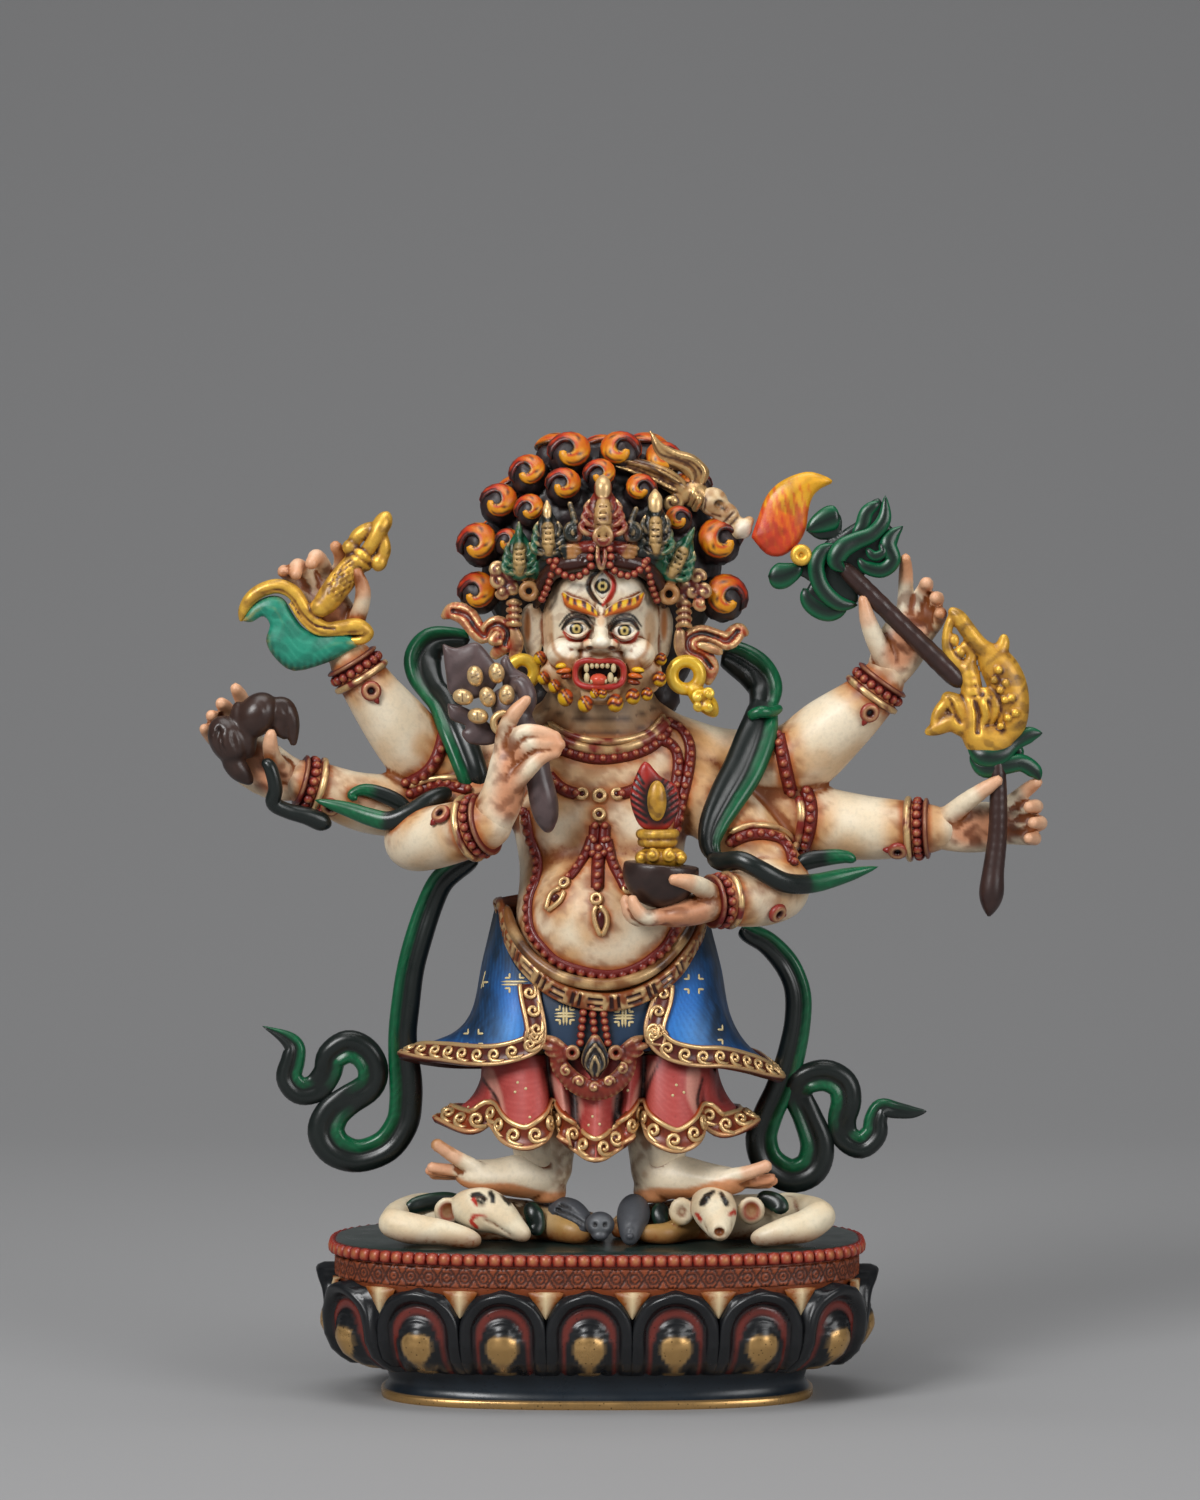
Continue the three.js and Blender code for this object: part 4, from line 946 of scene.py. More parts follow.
def model_petal(wide=33, tall=39):
    """A petal's points and faces, and how much each point is on its arch, its inner rib and its lobe."""
    share = np.linspace(-1, 1, wide)
    x = PETAL_HALF * np.sign(share) * (1 - (1 - np.abs(share)) ** 1.5)
    lobes = 0.16 * np.cos(3 * math.pi * x / PETAL_HALF) * (1 - np.abs(x / PETAL_HALF))
    rise = (PETAL_HIGH - PETAL_SHOULDER) * np.clip(1 - np.abs(x / PETAL_HALF) ** 2.5, 0, 1) ** (1 / 2.1)
    top = PETAL_SHOULDER + rise + lobes
    v = np.linspace(0, 1, tall)
    up = v[:, None] * top[None]
    across = np.broadcast_to(x, up.shape)
    above = np.clip(up - PETAL_SHOULDER, 0, None) / (PETAL_HIGH - PETAL_SHOULDER)
    arch = np.hypot(np.abs(across) / PETAL_HALF, above)
    lip = np.sqrt(np.clip(1 - ((arch - 0.86) / 0.16) ** 2, 0, 1))
    groove = np.exp(-(((arch - 0.665) / 0.035) ** 2))
    rib = np.hypot(across / 2.0, np.clip(up - 2.8, 0, None) / 2.55)
    inner = np.sqrt(np.clip(1 - ((rib - 0.84) / 0.18) ** 2, 0, 1))
    lobe = np.sqrt(np.clip(1 - (across / 1.62) ** 2 - ((up - 2.2) / 2.55) ** 2, 0, 1))
    curl = ramp(up, 5.0, 7.6)
    out = petal_out(up) + lip * (0.45 + 0.35 * curl) - 0.22 * groove + 0.32 * inner + 1.15 * lobe
    points = np.stack([across, up, out], -1).reshape(-1, 3)
    back = points.copy()
    back[:, 2] = np.minimum(petal_out(points[:, 1]) - 0.9, -0.9)
    index = np.arange(wide * tall).reshape(tall, wide)
    faces = grid_faces(tall, wide)
    rim = np.concatenate([index[0], index[1:, -1], index[-1, -2::-1], index[-2:0:-1, 0]])
    start = len(points)
    back_rim = points[rim].copy()
    back_rim[:, 2] = back[rim, 2]
    for k in range(len(rim)):
        n = (k + 1) % len(rim)
        faces.append((rim[k], start + k, start + n, rim[n]))
    faces.append(tuple(start + k for k in range(len(rim))))
    return np.vstack([points, back_rim]), faces, arch.ravel(), inner.ravel(), lobe.ravel()


def petal_coat(points, arch, inner, lobe):
    """Black, with a red stripe along the arch and bare brass in the shape of a jar on the lobe."""
    count = len(arch)
    paint = Paint(points, "#131518")
    x, y = points[:count, 0], points[:count, 1]
    ring = (ramp(arch, 0.39, 0.5) - ramp(arch, 0.57, 0.67)) * (1 - ramp(inner, 0.1, 0.7))
    half = np.interp(y, [0.05, 0.2, 0.37, 1.0, 1.65, 2.4, 3.3, 3.9],
                     [0.9, 0.85, 0.2, 0.25, 0.8, 1.25, 1.22, 0.8])
    patch = (1 - ramp(np.abs(x), half - 0.22, half + 0.22)) * (1 - ramp(y, 3.5, 4.0)) * ramp(lobe, 0.0, 0.5)
    behind = np.zeros(len(points) - count)
    paint.brush(np.append(ring, behind), "#6E2A22")
    paint.rub = np.append(patch, behind)
    paint.brush(paint.rub, "#B8935C")
    return paint


petal_points, petal_faces, petal_arch, petal_inner, petal_lobe = model_petal()
PETAL = pattern_piece("petal", petal_points, petal_faces,
                      petal_coat(petal_points, petal_arch, petal_inner, petal_lobe), LACQUER)


def ringed(name, piece, count, shift, foot, sizes, material):
    """Copies of a piece stood evenly round the drum, facing outwards."""
    turns = even_turns(count, shift)
    spots = np.column_stack([outline(turns), np.full(count, foot)])
    away = np.column_stack([outline_away(turns), np.zeros(count)])
    onward = np.tile([0, 0, 1.0], (count, 1))
    return copies(name, ON_POINTS, piece, spots, [], away, onward, sizes(turns), 0, PEDESTAL, material)


def petal_size(turns):
    """The petals round the two ends flare a little more."""
    end = np.exp(-(((turns % 0.5 - 0.25) / 0.05) ** 2))
    return np.column_stack([1 - 0.04 * end, 1 + 0.1 * end, 1 + 0.25 * end])


PETALS, PETAL_SHIFT = 16, -0.09
ringed("lotus_petals", PETAL, PETALS, PETAL_SHIFT, PETAL_FOOT, petal_size, LACQUER)

# %% The leaf tips that show between the petals
def model_tip():
    """A leaf tip as rows from its point up to its broad end."""
    rows = [(0, 0.05, 0), (0.5, 0.42, 0.24), (1.2, 0.9, 0.34), (1.9, 1.35, 0.36),
            (2.35, 1.6, 0.2), (2.4, 1.5, -0.5)]
    section = [(-1, -0.2), (-0.8, 0.35), (-0.25, 0.75), (0, 1), (0.25, 0.75), (0.8, 0.35), (1, -0.2)]
    points = [[a * half, up, out * b] for up, half, out in rows for a, b in section]
    return np.array(points), grid_faces(len(rows), len(section))


tip_points, tip_faces = model_tip()
tip_paint = Paint(tip_points, "#E2CFA4")
tip_paint.brush(0.8 * ramp(np.abs(tip_points[:, 0]), 0.25, 1.1), "#A8743A")
tip_paint.wash = np.clip(np.abs(tip_points[:, 0]) / 1.1, 0, 1) * 0.9 + 0.2
OCHRE = painted("ochre acrylic on brass", wash="#8A4A16", gold="#E3B566", roughness=0.42, grain_mm=0.3)
TIP = pattern_piece("leaf tip", tip_points, tip_faces, tip_paint, OCHRE)
ringed("leaf_tips", TIP, PETALS, PETAL_SHIFT + 0.5, PETAL_TOP - 2.45,
       lambda turns: np.ones((len(turns), 3)), OCHRE)
print("pedestal dressed")

# %% [markdown]
# ## The two beings underfoot
# They lie face down along the plate, heads turned to the front, forearms folded before them. Each has an
# elephant's head, small and smooth, with a short trunk. They are clay again, painted ivory with black brows
# and red lids, and a green cloth crosses each back. Between them lie a skull and a grey fluted fruit.

# %% Pressing them
LEFT_BEAST = {
    "forearm": [[392, 1226, -8, 1.25], [410, 1231, -8.6, 1.3], [440, 1235, -8.8, 1.1], [462, 1240, -8.8, 0.9],
                [474, 1243, -8.7, 0.62]],
    "upper": [[392, 1226, -8, 1.2], [397, 1215, -5, 0.95], [412, 1208, -1.5, 0.9], [430, 1206, 0, 0.9]],
    "body": [[418, 1220, -2.5, 1.7], [447, 1220, -2.6, 1.9], [500, 1223, -2, 1.9], [548, 1228, -1.6, 1.8],
             [590, 1231, -1.2, 1.4]],
    "skull": [[466, 1210, -6.4, 1.5], [482, 1212, -7, 1.9], [498, 1218, -7.8, 1.55], [512, 1229, -8.5, 1.05],
              [523, 1237, -8.9, 0.68]],
    "ear": (447, 1214, -6.2),
    "hip": [[548, 1226, -3, 1.5], [570, 1233, -5.4, 1.1], [584, 1237, -6, 0.7]],
}
RIGHT_BEAST = {
    "forearm": [[821, 1219, -7.2, 1.35], [806, 1229, -8.2, 1.35], [788, 1233, -8.6, 1.15],
                [770, 1238, -8.7, 0.9], [758, 1241, -8.6, 0.62]],
    "upper": [[821, 1219, -7.2, 1.3], [815, 1211, -4.5, 0.95], [798, 1207, -1.5, 0.9], [780, 1206, 0, 0.9]],
    "body": [[788, 1219, -2.4, 1.7], [755, 1220, -2.6, 1.9], [705, 1222, -2, 1.9], [660, 1227, -1.6, 1.8],
             [625, 1230, -1.2, 1.3]],
    "skull": [[712, 1204, -5, 1.75], [715, 1212, -6.8, 1.9], [718, 1222, -8, 1.5], [720, 1233, -9.3, 0.95]],
    "ear": (752, 1213, -6),
    "hip": [[690, 1228, -3.4, 1.2], [668, 1236, -5.6, 0.9], [644, 1236, -6, 0.7]],
}


def press_beast(clay, beast):
    """One being: its body, near arm, hip, head with its trunk, and a hollowed ear."""
    for part, soft in (("body", 0.6), ("upper", 0.4), ("forearm", 0.25), ("hip", 0.3)):
        clay.limb(seen_path(beast[part]), steps=4, soft=soft)
    clay.limb(seen_path(beast["skull"]), steps=4, soft=0.25)
    x, y, z = seen(*beast["ear"])
    clay.ball([x, y, z], [1.25, 0.5, 1.35], turned(10, "x"), soft=0.15)
    clay.ball([x, y - 0.5, z], [0.75, 0.35, 0.85], soft=0.1, carve=True)


def model_prone():
    """Both beings, with the far ear, the lids, the mouths and the folds beside the trunks."""
    clay = Clay([-20, -12.4, -0.3], [21.5, 3.5, 6], 0.215)
    press_beast(clay, LEFT_BEAST)
    press_beast(clay, RIGHT_BEAST)
    x, y, z = seen(682, 1214, -6)
    clay.ball([x, y, z], [1.15, 0.5, 1.3], soft=0.15)
    clay.ball([x, y - 0.5, z], [0.7, 0.35, 0.8], soft=0.1, carve=True)
    for eye in ((708, 1201, -8.3), (725, 1202, -8.3), (480, 1203, -8.9)):
        clay.ball(seen(*eye), [0.42, 0.3, 0.36], soft=0.12)
    clay.ball(seen(720, 1235, -10.2), [0.5, 0.7, 0.42], soft=0.12, carve=True)
    clay.limb(seen_path([[484, 1222, -9.1, 0.16], [498, 1230, -9.3, 0.14], [512, 1239, -9.3, 0.1]]),
              soft=0.12, carve=True)
    clay.limb(seen_path([[701, 1223, -8.9, 0.18], [706, 1231, -9.1, 0.14], [712, 1238, -9.2, 0.1]]),
              soft=0.12, carve=True)
    clay.limb(seen_path([[735, 1222, -8.9, 0.18], [732, 1231, -9.1, 0.14], [727, 1238, -9.2, 0.1]]),
              soft=0.12, carve=True)
    clay.shave([-20, -12, -1], [21, 3, 0.2], 0.06, 0.1)
    return clay


prone_points, prone_quads = model_prone().skin()
prone_paint = Paint(prone_points, "#E6D9BC")
prone_stand = proud(prone_points, prone_quads, 7)
prone_blot = mottle(prone_points, 1.6, 4)
prone_paint.brush(0.4 * prone_blot, "#D2AE7C")
prone_paint.wash = np.clip(ramp(-prone_stand, 0, 0.07) + 0.8 * (1 - ramp(prone_points[:, 2], 0.3, 2.0)), 0, 1)
for beast in (LEFT_BEAST, RIGHT_BEAST):
    hip, body, skull = (np.array(seen_path(beast[part]))[:, :3] for part in ("hip", "body", "skull"))
    prone_paint.brush(1 - ramp(path_distance(prone_points, hip), 1.2, 1.9), "#B08A50")
    prone_paint.brush(1 - ramp(path_distance(prone_points, body[3:]), 1.9, 2.6), "#B08A5C")
    rough = mottle(prone_points, 0.35, 7) * (1 - ramp(path_distance(prone_points, body[2:]), 2.1, 2.6))
    rough *= ramp(path_distance(prone_points, skull), 1.9, 2.3)
    prone_paint.brush(0.8 * ramp(rough, 0.3, 0.5), "#E2CB9C")
    prone_paint.brush(0.9 * ramp(rough, 0.5, 0.62), "#54300F")
    ear = np.array(seen(*beast["ear"]))
    prone_paint.dab(ear, [0.85, 1.2, 0.95], "#9A4432", soft=0.25)
    prone_paint.dab(ear, [0.5, 1.4, 0.55], "#A8825C", soft=0.3)


def seen_marks(paint, rows, colour, width, depth):
    """Thin strokes drawn on a surface, each a list of places in the picture at one depth."""
    squash = [1, 0.25, 1]
    for row in rows:
        path = np.array([seen(a, b, depth) for a, b in row])
        distance = path_distance(paint.points * squash, path * squash)
        paint.brush(1 - ramp(distance, width - 0.05, width + 0.08), colour)


BLACK_STROKES = [[(472, 1198), (478, 1197), (484, 1201)], [(478, 1202), (482, 1204)],
                 [(490.5, 1195), (492.5, 1203)],
                 [(494, 1191), (499, 1193), (505, 1199), (509, 1205)],
                 [(495, 1192), (501, 1196), (506, 1202)],
                 [(702, 1206), (706, 1199), (714, 1194)], [(704, 1205), (709, 1199)],
                 [(722, 1196), (724, 1200), (727, 1206)],
                 [(736, 1201), (740, 1205)], [(736, 1199), (741, 1201)]]
RED_STROKES = [[(473, 1202), (476, 1206)], [(476, 1230), (471, 1225), (472, 1219), (479, 1216.5),
                                            (486, 1218)], [(522, 1239), (524, 1241)],
               [(692, 1220), (697, 1217), (701, 1222)], [(728, 1217), (735, 1214), (740, 1219)],
               [(694, 1231), (700, 1240), (706, 1241)],
               [(738, 1232), (733, 1240), (728, 1242)], [(738, 1202), (743, 1210)]]
seen_marks(prone_paint, BLACK_STROKES, "#16130F", 0.23, -8.4)
seen_marks(prone_paint, RED_STROKES, "#B82C1C", 0.19, -8.4)
prone_paint.dab(seen(720, 1235, -9.8), [0.45, 0.9, 0.38], "#6E5A3A")
painted_piece("prone_beasts", prone_points, prone_quads, PRONE, prone_paint, ACRYLIC_SKIN)

# %% Their cloths, and what lies between them
BLACK_GREEN = painted("green-black acrylic", wash="#0A0F0D", gold="#1F8A58", roughness=0.3,
                      gold_metal=0.0, grain_mm=0.6)
SLATE = painted("slate grey acrylic", wash="#1E1C1C", gold="#8F9499", roughness=0.45,
                gold_metal=0.0, grain_mm=0.35)


def ribbon(name, paths, node, material, base, edge, section_points=12, rim=0.25):
    """Flat bands along paths, coloured along their edges."""
    parts, across = [], []
    for rows in paths:
        path = tapered(smooth_path(seen_path(rows), 6), 0.2, 0.2)
        points, faces, where = sweep(path, rounded(section_points))
        parts.append((points, faces))
        across.append(where[:, 1])
    points, faces = merged(parts)
    paint = Paint(points, base)
    paint.brush(ramp(np.abs(np.concatenate(across)), 1 - rim, 1 - rim / 2), edge)
    painted_piece(name, points, faces, node, paint, material)


ribbon("prone_cloths", [
    [[404, 1211, -5.2, 0.6, 0.4], [422, 1206, -4.6, 0.8, 0.45], [445, 1203, -4.4, 0.8, 0.45],
     [464, 1205, -4.6, 0.6, 0.4]],
    [[526, 1206, -4.4, 0.6, 0.4], [533, 1216, -5, 0.85, 0.5], [536, 1228, -5.2, 0.8, 0.45],
     [533, 1238, -5.6, 0.6, 0.4]],
    [[757, 1200, -4.6, 0.6, 0.4], [770, 1202, -5, 0.8, 0.45], [780, 1208, -5.4, 0.85, 0.5],
     [782, 1217, -5.8, 0.6, 0.4]],
    [[664, 1206, -4.2, 0.6, 0.4], [660, 1217, -4.8, 0.8, 0.45], [664, 1229, -5.2, 0.6, 0.4]],
], PRONE, BLACK_GREEN, "#151F1C", "#1D3A2C")


def model_offerings():
    """A shell fluted along its back, a skull, and a fruit with rows of small bumps."""
    clay = Clay([-6, -9.5, -0.2], [6, 0.5, 5.6], 0.15)
    clay.limb(seen_path([[561, 1213, -3.6, 1.2], [571, 1218, -4.6, 1.4], [583, 1227, -5.8, 1.05]]), soft=0.2)
    for shift in (-9, -4, 1, 6):
        clay.limb(seen_path([[556 + shift * 0.6, 1213 - shift, -5.0, 0.2],
                             [568 + shift * 0.6, 1218 - shift, -6.1, 0.24],
                             [583 + shift * 0.5, 1227 - shift, -6.9, 0.18]]), soft=0.08, carve=True)
    x, y, z = seen(600, 1227, -7)
    clay.ball([x, y, z], [1.3, 1.25, 1.15], soft=0.15)
    clay.ball([x, y - 0.5, z - 0.9], [0.75, 0.8, 0.5], soft=0.2)
    for side in (-0.5, 0.5):
        clay.ball([x + side, y - 1.15, z + 0.1], [0.28, 0.3, 0.28], soft=0.08, carve=True)
    spine = seen_path([[634, 1207, -3.8, 0.9], [634, 1213, -4.6, 1.35], [633, 1221, -5.4, 1.35],
                       [631, 1231, -6.6, 1.05], [630, 1241, -7.4, 0.65]])
    clay.limb(spine, soft=0.2)
    bumps = [(1205, -5.5, 5), (1212, -6.1, 8), (1219, -6.7, 9), (1226, -7.3, 7),
             (1233, -7.7, 5), (1239, -8, 3)]
    for row, (down, depth, spread) in enumerate(bumps):
        for way in (-1, 0, 1):
            clay.ball(seen(633 - row * 0.6 + way * spread, down, depth + abs(way) * 0.45),
                      [0.34, 0.3, 0.28], soft=0.06)
    clay.shave([-6, -10, -1], [6, 1, 0.2], 0.06, 0.1)
    return clay


offer_points, offer_quads = model_offerings().skin()
offer_paint = Paint(offer_points, "#4C4E53")
offer_paint.wash = ramp(-proud(offer_points, offer_quads, 6), -0.02, 0.06)
offer_paint.dab(seen(600, 1227, -8.3), [1.0, 1.0, 0.9], "#63666A")
painted_piece("skull_and_fruit", offer_points, offer_quads, PRONE, offer_paint, SLATE)
print("prone pair dressed")

# %% [markdown]
# ## The body
# The god is short and stout. The belly hangs over the belt, the chest is soft, the arms are full and taper
# to slim wrists, and the hands have long fingers with small pads. The body is one lump of clay. The hands
# and feet are a second, finer one, because a finger is only a millimetre thick.

# %% Arms, from the shoulder to the wrist: x, y, z, radius
ARMS = {
    "chopper": [[-5.6, 1, 43.4, 3.3], [-9.8, 1.6, 42.4, 3.1], [-14.9, 1, 42.9, 2.9], [-18, 0, 46.2, 2.6],
                [-21, -0.8, 50.3, 1.9], [-22.4, -1, 52.6, 1.45]],
    "drum": [[-5.2, 2, 42.2, 3.1], [-10.6, 2.2, 40.4, 2.8], [-17, 1, 39, 2.5], [-21.2, -0.6, 39.3, 2.25],
             [-25, -1.8, 40.8, 1.75], [-26.8, -2.2, 41.3, 1.45]],
    "jewel": [[-6, 0, 41.8, 3], [-11.6, -1.4, 38.9, 2.7], [-16.3, -3.6, 36.2, 2.3], [-14.6, -6, 36.4, 2.4],
              [-11.4, -8, 37.3, 2.2], [-9.4, -9, 37.9, 1.8]],
    "trident": [[6.2, 1, 43.6, 3.3], [11.2, 1.6, 42.4, 3.1], [17.4, 1, 42.8, 3], [20.9, 0, 45.6, 2.8],
                [24.4, -0.8, 48.6, 2], [26, -1, 50.8, 1.5]],
    "goad": [[6.2, 2, 42.2, 3.2], [12, 2.2, 40, 3.1], [18.2, 1.2, 37.9, 2.9], [23.6, 0, 37, 2.6],
             [28.2, -1, 36.9, 2.1], [31, -1.4, 37, 1.45]],
    "cup": [[6.6, 0, 41.8, 3], [12.2, -1.6, 37.4, 2.8], [16.2, -3.4, 32.4, 2.5], [14.8, -6.4, 31.4, 2.4],
            [12.4, -8.6, 31.1, 2], [10.6, -9.6, 31, 1.5]],
}

# %% Hands: a palm, then thumb and fingers from root to tip
HANDS = {
    "chopper": [
        [[-22.4, -1, 52.2, 1.5, 1.2], [-23.2, -1.3, 54.6, 1.9, 1.1], [-24.2, -1.4, 57, 1.9, 1]],
        [[-22.2, -1.7, 54.4, 0.85], [-21.2, -2.6, 56.6, 0.7], [-20.9, -3.3, 58.4, 0.62],
         [-21.4, -3.6, 60, 0.42]],
        [[-23.4, -1.2, 57, 0.8], [-23, -0.8, 59.4, 0.7], [-22.9, -1.6, 61.4, 0.62],
         [-23.4, -2.6, 62.3, 0.45]],
        [[-24, -1.2, 57.2, 0.8], [-24.4, -0.8, 60, 0.7], [-25.1, -2, 61.4, 0.62], [-25.5, -3.2, 60.8, 0.5]],
        [[-24.6, -1.2, 57, 0.8], [-26, -0.9, 59.6, 0.7], [-26.8, -2.2, 60.6, 0.6], [-26.9, -3.4, 59.8, 0.48]],
        [[-25, -1.2, 56.6, 0.75], [-26.8, -1, 58.6, 0.65], [-27.9, -1.8, 60, 0.55], [-28.1, -2.9, 60, 0.42]],
    ],
    "drum": [
        [[-26.4, -2.2, 41.3, 1.5, 1.2], [-29, -2.4, 41.8, 2, 1], [-31.4, -2.3, 43.6, 2.1, 0.9]],
        [[-27.8, -3, 41.9, 0.85], [-28.8, -4.4, 43.2, 0.75], [-29.1, -5.4, 44.6, 0.62],
         [-29, -5.8, 45.6, 0.42]],
        [[-30.8, -2, 44.6, 0.75], [-31.3, -1.6, 47, 0.65], [-31.9, -2.4, 48.8, 0.6],
         [-32.3, -3.4, 49.6, 0.45]],
        [[-31.6, -2, 44.6, 0.75], [-32.5, -1.7, 46.6, 0.65], [-33.3, -2.6, 47.9, 0.6],
         [-33.6, -3.6, 48.3, 0.45]],
        [[-32.3, -2, 44.2, 0.7], [-33.6, -1.8, 45.9, 0.6], [-34.3, -2.6, 46.9, 0.55],
         [-34.5, -3.6, 47.2, 0.42]],
        [[-32.6, -2, 43.5, 0.65], [-34.2, -1.8, 44.8, 0.58], [-34.9, -2.6, 45.7, 0.5],
         [-35.1, -3.5, 46, 0.4]],
    ],
    "jewel": [
        [[-9.8, -9, 37.8, 1.8, 1.7], [-8.5, -9.6, 39.8, 1.7, 1.4], [-7.9, -10, 42.3, 1.5, 1.2],
         [-7.8, -10, 44, 1.2, 1]],
        [[-8, -10.4, 40.6, 0.8], [-6.3, -11.4, 42.5, 0.75], [-4.9, -11.6, 43.8, 0.6],
         [-3.6, -11.5, 44.2, 0.42]],
        [[-8.3, -9.9, 43.6, 0.8], [-8.1, -10.3, 46, 0.72], [-7.3, -10.8, 47.6, 0.62], [-6.2, -11, 48.8, 0.4]],
        [[-7.6, -10.2, 43.8, 0.75], [-6.8, -11.2, 45.8, 0.68], [-5.2, -11.5, 46, 0.6],
         [-3.6, -11.4, 45.6, 0.42]],
        [[-7.4, -10.1, 43, 0.75], [-6.2, -11.3, 44.8, 0.66], [-4.8, -11.6, 45, 0.58],
         [-3.2, -11.4, 44.9, 0.42]],
    ],
    "trident": [
        [[25.8, -1, 50.6, 1.6, 1.2], [27.1, -1.2, 52.9, 2, 1.05], [28.3, -1.2, 55.2, 1.9, 0.9]],
        [[26.2, -1.6, 51.6, 0.95], [25, -2.6, 53.8, 0.85], [24.2, -3.2, 55.8, 0.68],
         [23.8, -3.4, 57.5, 0.42]],
        [[27.4, -1, 55, 0.75], [27.7, -0.8, 57.6, 0.66], [27.7, -1.6, 59.8, 0.6], [27.6, -2.6, 61.2, 0.42]],
        [[28.2, -1, 55, 0.75], [29, -0.8, 57.4, 0.66], [29.5, -1.8, 58.8, 0.6], [29.4, -3.2, 59, 0.48]],
        [[28.8, -1, 54.6, 0.75], [30, -0.9, 56.6, 0.66], [30.5, -1.9, 57.6, 0.58], [30.2, -3.2, 57.7, 0.46]],
        [[29, -1, 53.8, 0.7], [30.3, -0.9, 55.2, 0.6], [30.8, -1.9, 56.2, 0.54], [30.6, -3, 56.3, 0.42]],
    ],
    "goad": [
        [[30.2, -1.4, 37, 1.6, 1.2], [33.2, -1.4, 37, 1.95, 1], [36, -1.3, 37.2, 1.9, 0.9]],
        [[31.4, -2, 38, 0.9], [33, -3.2, 39.4, 0.8], [34.6, -3.9, 40.6, 0.64], [35.8, -4.1, 41.4, 0.42]],
        [[36, -1.2, 38.4, 0.7], [37.6, -1, 39.6, 0.62], [38.8, -1.6, 40.6, 0.56], [39.5, -2.6, 41.2, 0.4]],
        [[36.4, -1.2, 37.9, 0.72], [38.4, -1, 38.6, 0.64], [39.4, -2.2, 39, 0.6], [38.6, -3.7, 39, 0.46]],
        [[36.4, -1.2, 37.1, 0.72], [38.8, -1, 37.3, 0.64], [39.8, -2.2, 37.5, 0.6], [39, -3.8, 37.6, 0.46]],
        [[36.2, -1.2, 36.3, 0.68], [38.4, -1, 36.1, 0.6], [39.3, -2.2, 36.1, 0.55], [38.6, -3.6, 36.2, 0.42]],
    ],
    "cup": [
        [[11, -9.4, 31, 1.3, 1.5], [8.6, -10.6, 30.3, 1.2, 2], [6.2, -11.2, 29.9, 1, 2.1]],
        [[10.2, -10.6, 31.6, 0.9], [9, -12.6, 32.5, 0.8], [7.8, -13.9, 33, 0.62], [6.7, -14.5, 33.2, 0.42]],
        [[6, -12.4, 29.9, 0.7], [4.4, -13.2, 29.8, 0.6], [3.5, -13.6, 30.5, 0.52], [3.1, -13.6, 31.4, 0.38]],
        [[5.4, -11.6, 29.7, 0.72], [3.6, -12.2, 29.6, 0.62], [2.8, -12.4, 30.3, 0.54],
         [2.5, -12.4, 31.3, 0.38]],
        [[5.8, -10.6, 29.7, 0.7], [3.8, -10.8, 29.7, 0.6], [2.9, -10.9, 30.4, 0.5], [2.6, -10.8, 31.2, 0.38]],
    ],
}

# %% Feet: the instep, then the big toe and the row of small ones
FEET = [
    [
        [[-4.7, -3, 5.6, 1.5, 1.8], [-6.6, -3.8, 5.9, 1.8, 1.8], [-9.2, -4.9, 6, 1.35, 1.7],
         [-11.6, -5.7, 6.3, 1.1, 1.8]],
        [[-10.8, -6.6, 6.9, 0.75], [-12.6, -7.2, 8, 0.62], [-14.2, -7.4, 9.1, 0.5]],
        [[-11.8, -6, 6.6, 0.55], [-13.4, -6.4, 6.8, 0.5], [-14.7, -6.6, 7, 0.42]],
        [[-11.8, -5.3, 6.5, 0.52], [-13.5, -5.5, 6.5, 0.48], [-14.9, -5.6, 6.6, 0.4]],
        [[-11.6, -4.6, 6.2, 0.5], [-13.2, -4.6, 6.1, 0.45], [-14.6, -4.6, 6.1, 0.38]],
    ],
    [
        [[5.2, -3, 5.6, 1.5, 1.8], [7.2, -3.8, 5.8, 1.8, 1.8], [10, -4.9, 5.7, 1.3, 1.7],
         [12.4, -5.7, 5.6, 1, 1.8]],
        [[11.6, -6.6, 6.1, 0.75], [13.4, -7.2, 6.6, 0.62], [15, -7.4, 7.2, 0.5]],
        [[12.8, -6, 5.8, 0.55], [14.4, -6.4, 5.8, 0.5], [15.5, -6.6, 6, 0.42]],
        [[12.8, -5.3, 5.7, 0.52], [14.5, -5.5, 5.6, 0.48], [15.7, -5.6, 5.7, 0.4]],
        [[12.6, -4.6, 5.5, 0.5], [14.2, -4.6, 5.3, 0.45], [15.4, -4.6, 5.3, 0.38]],
    ],
]


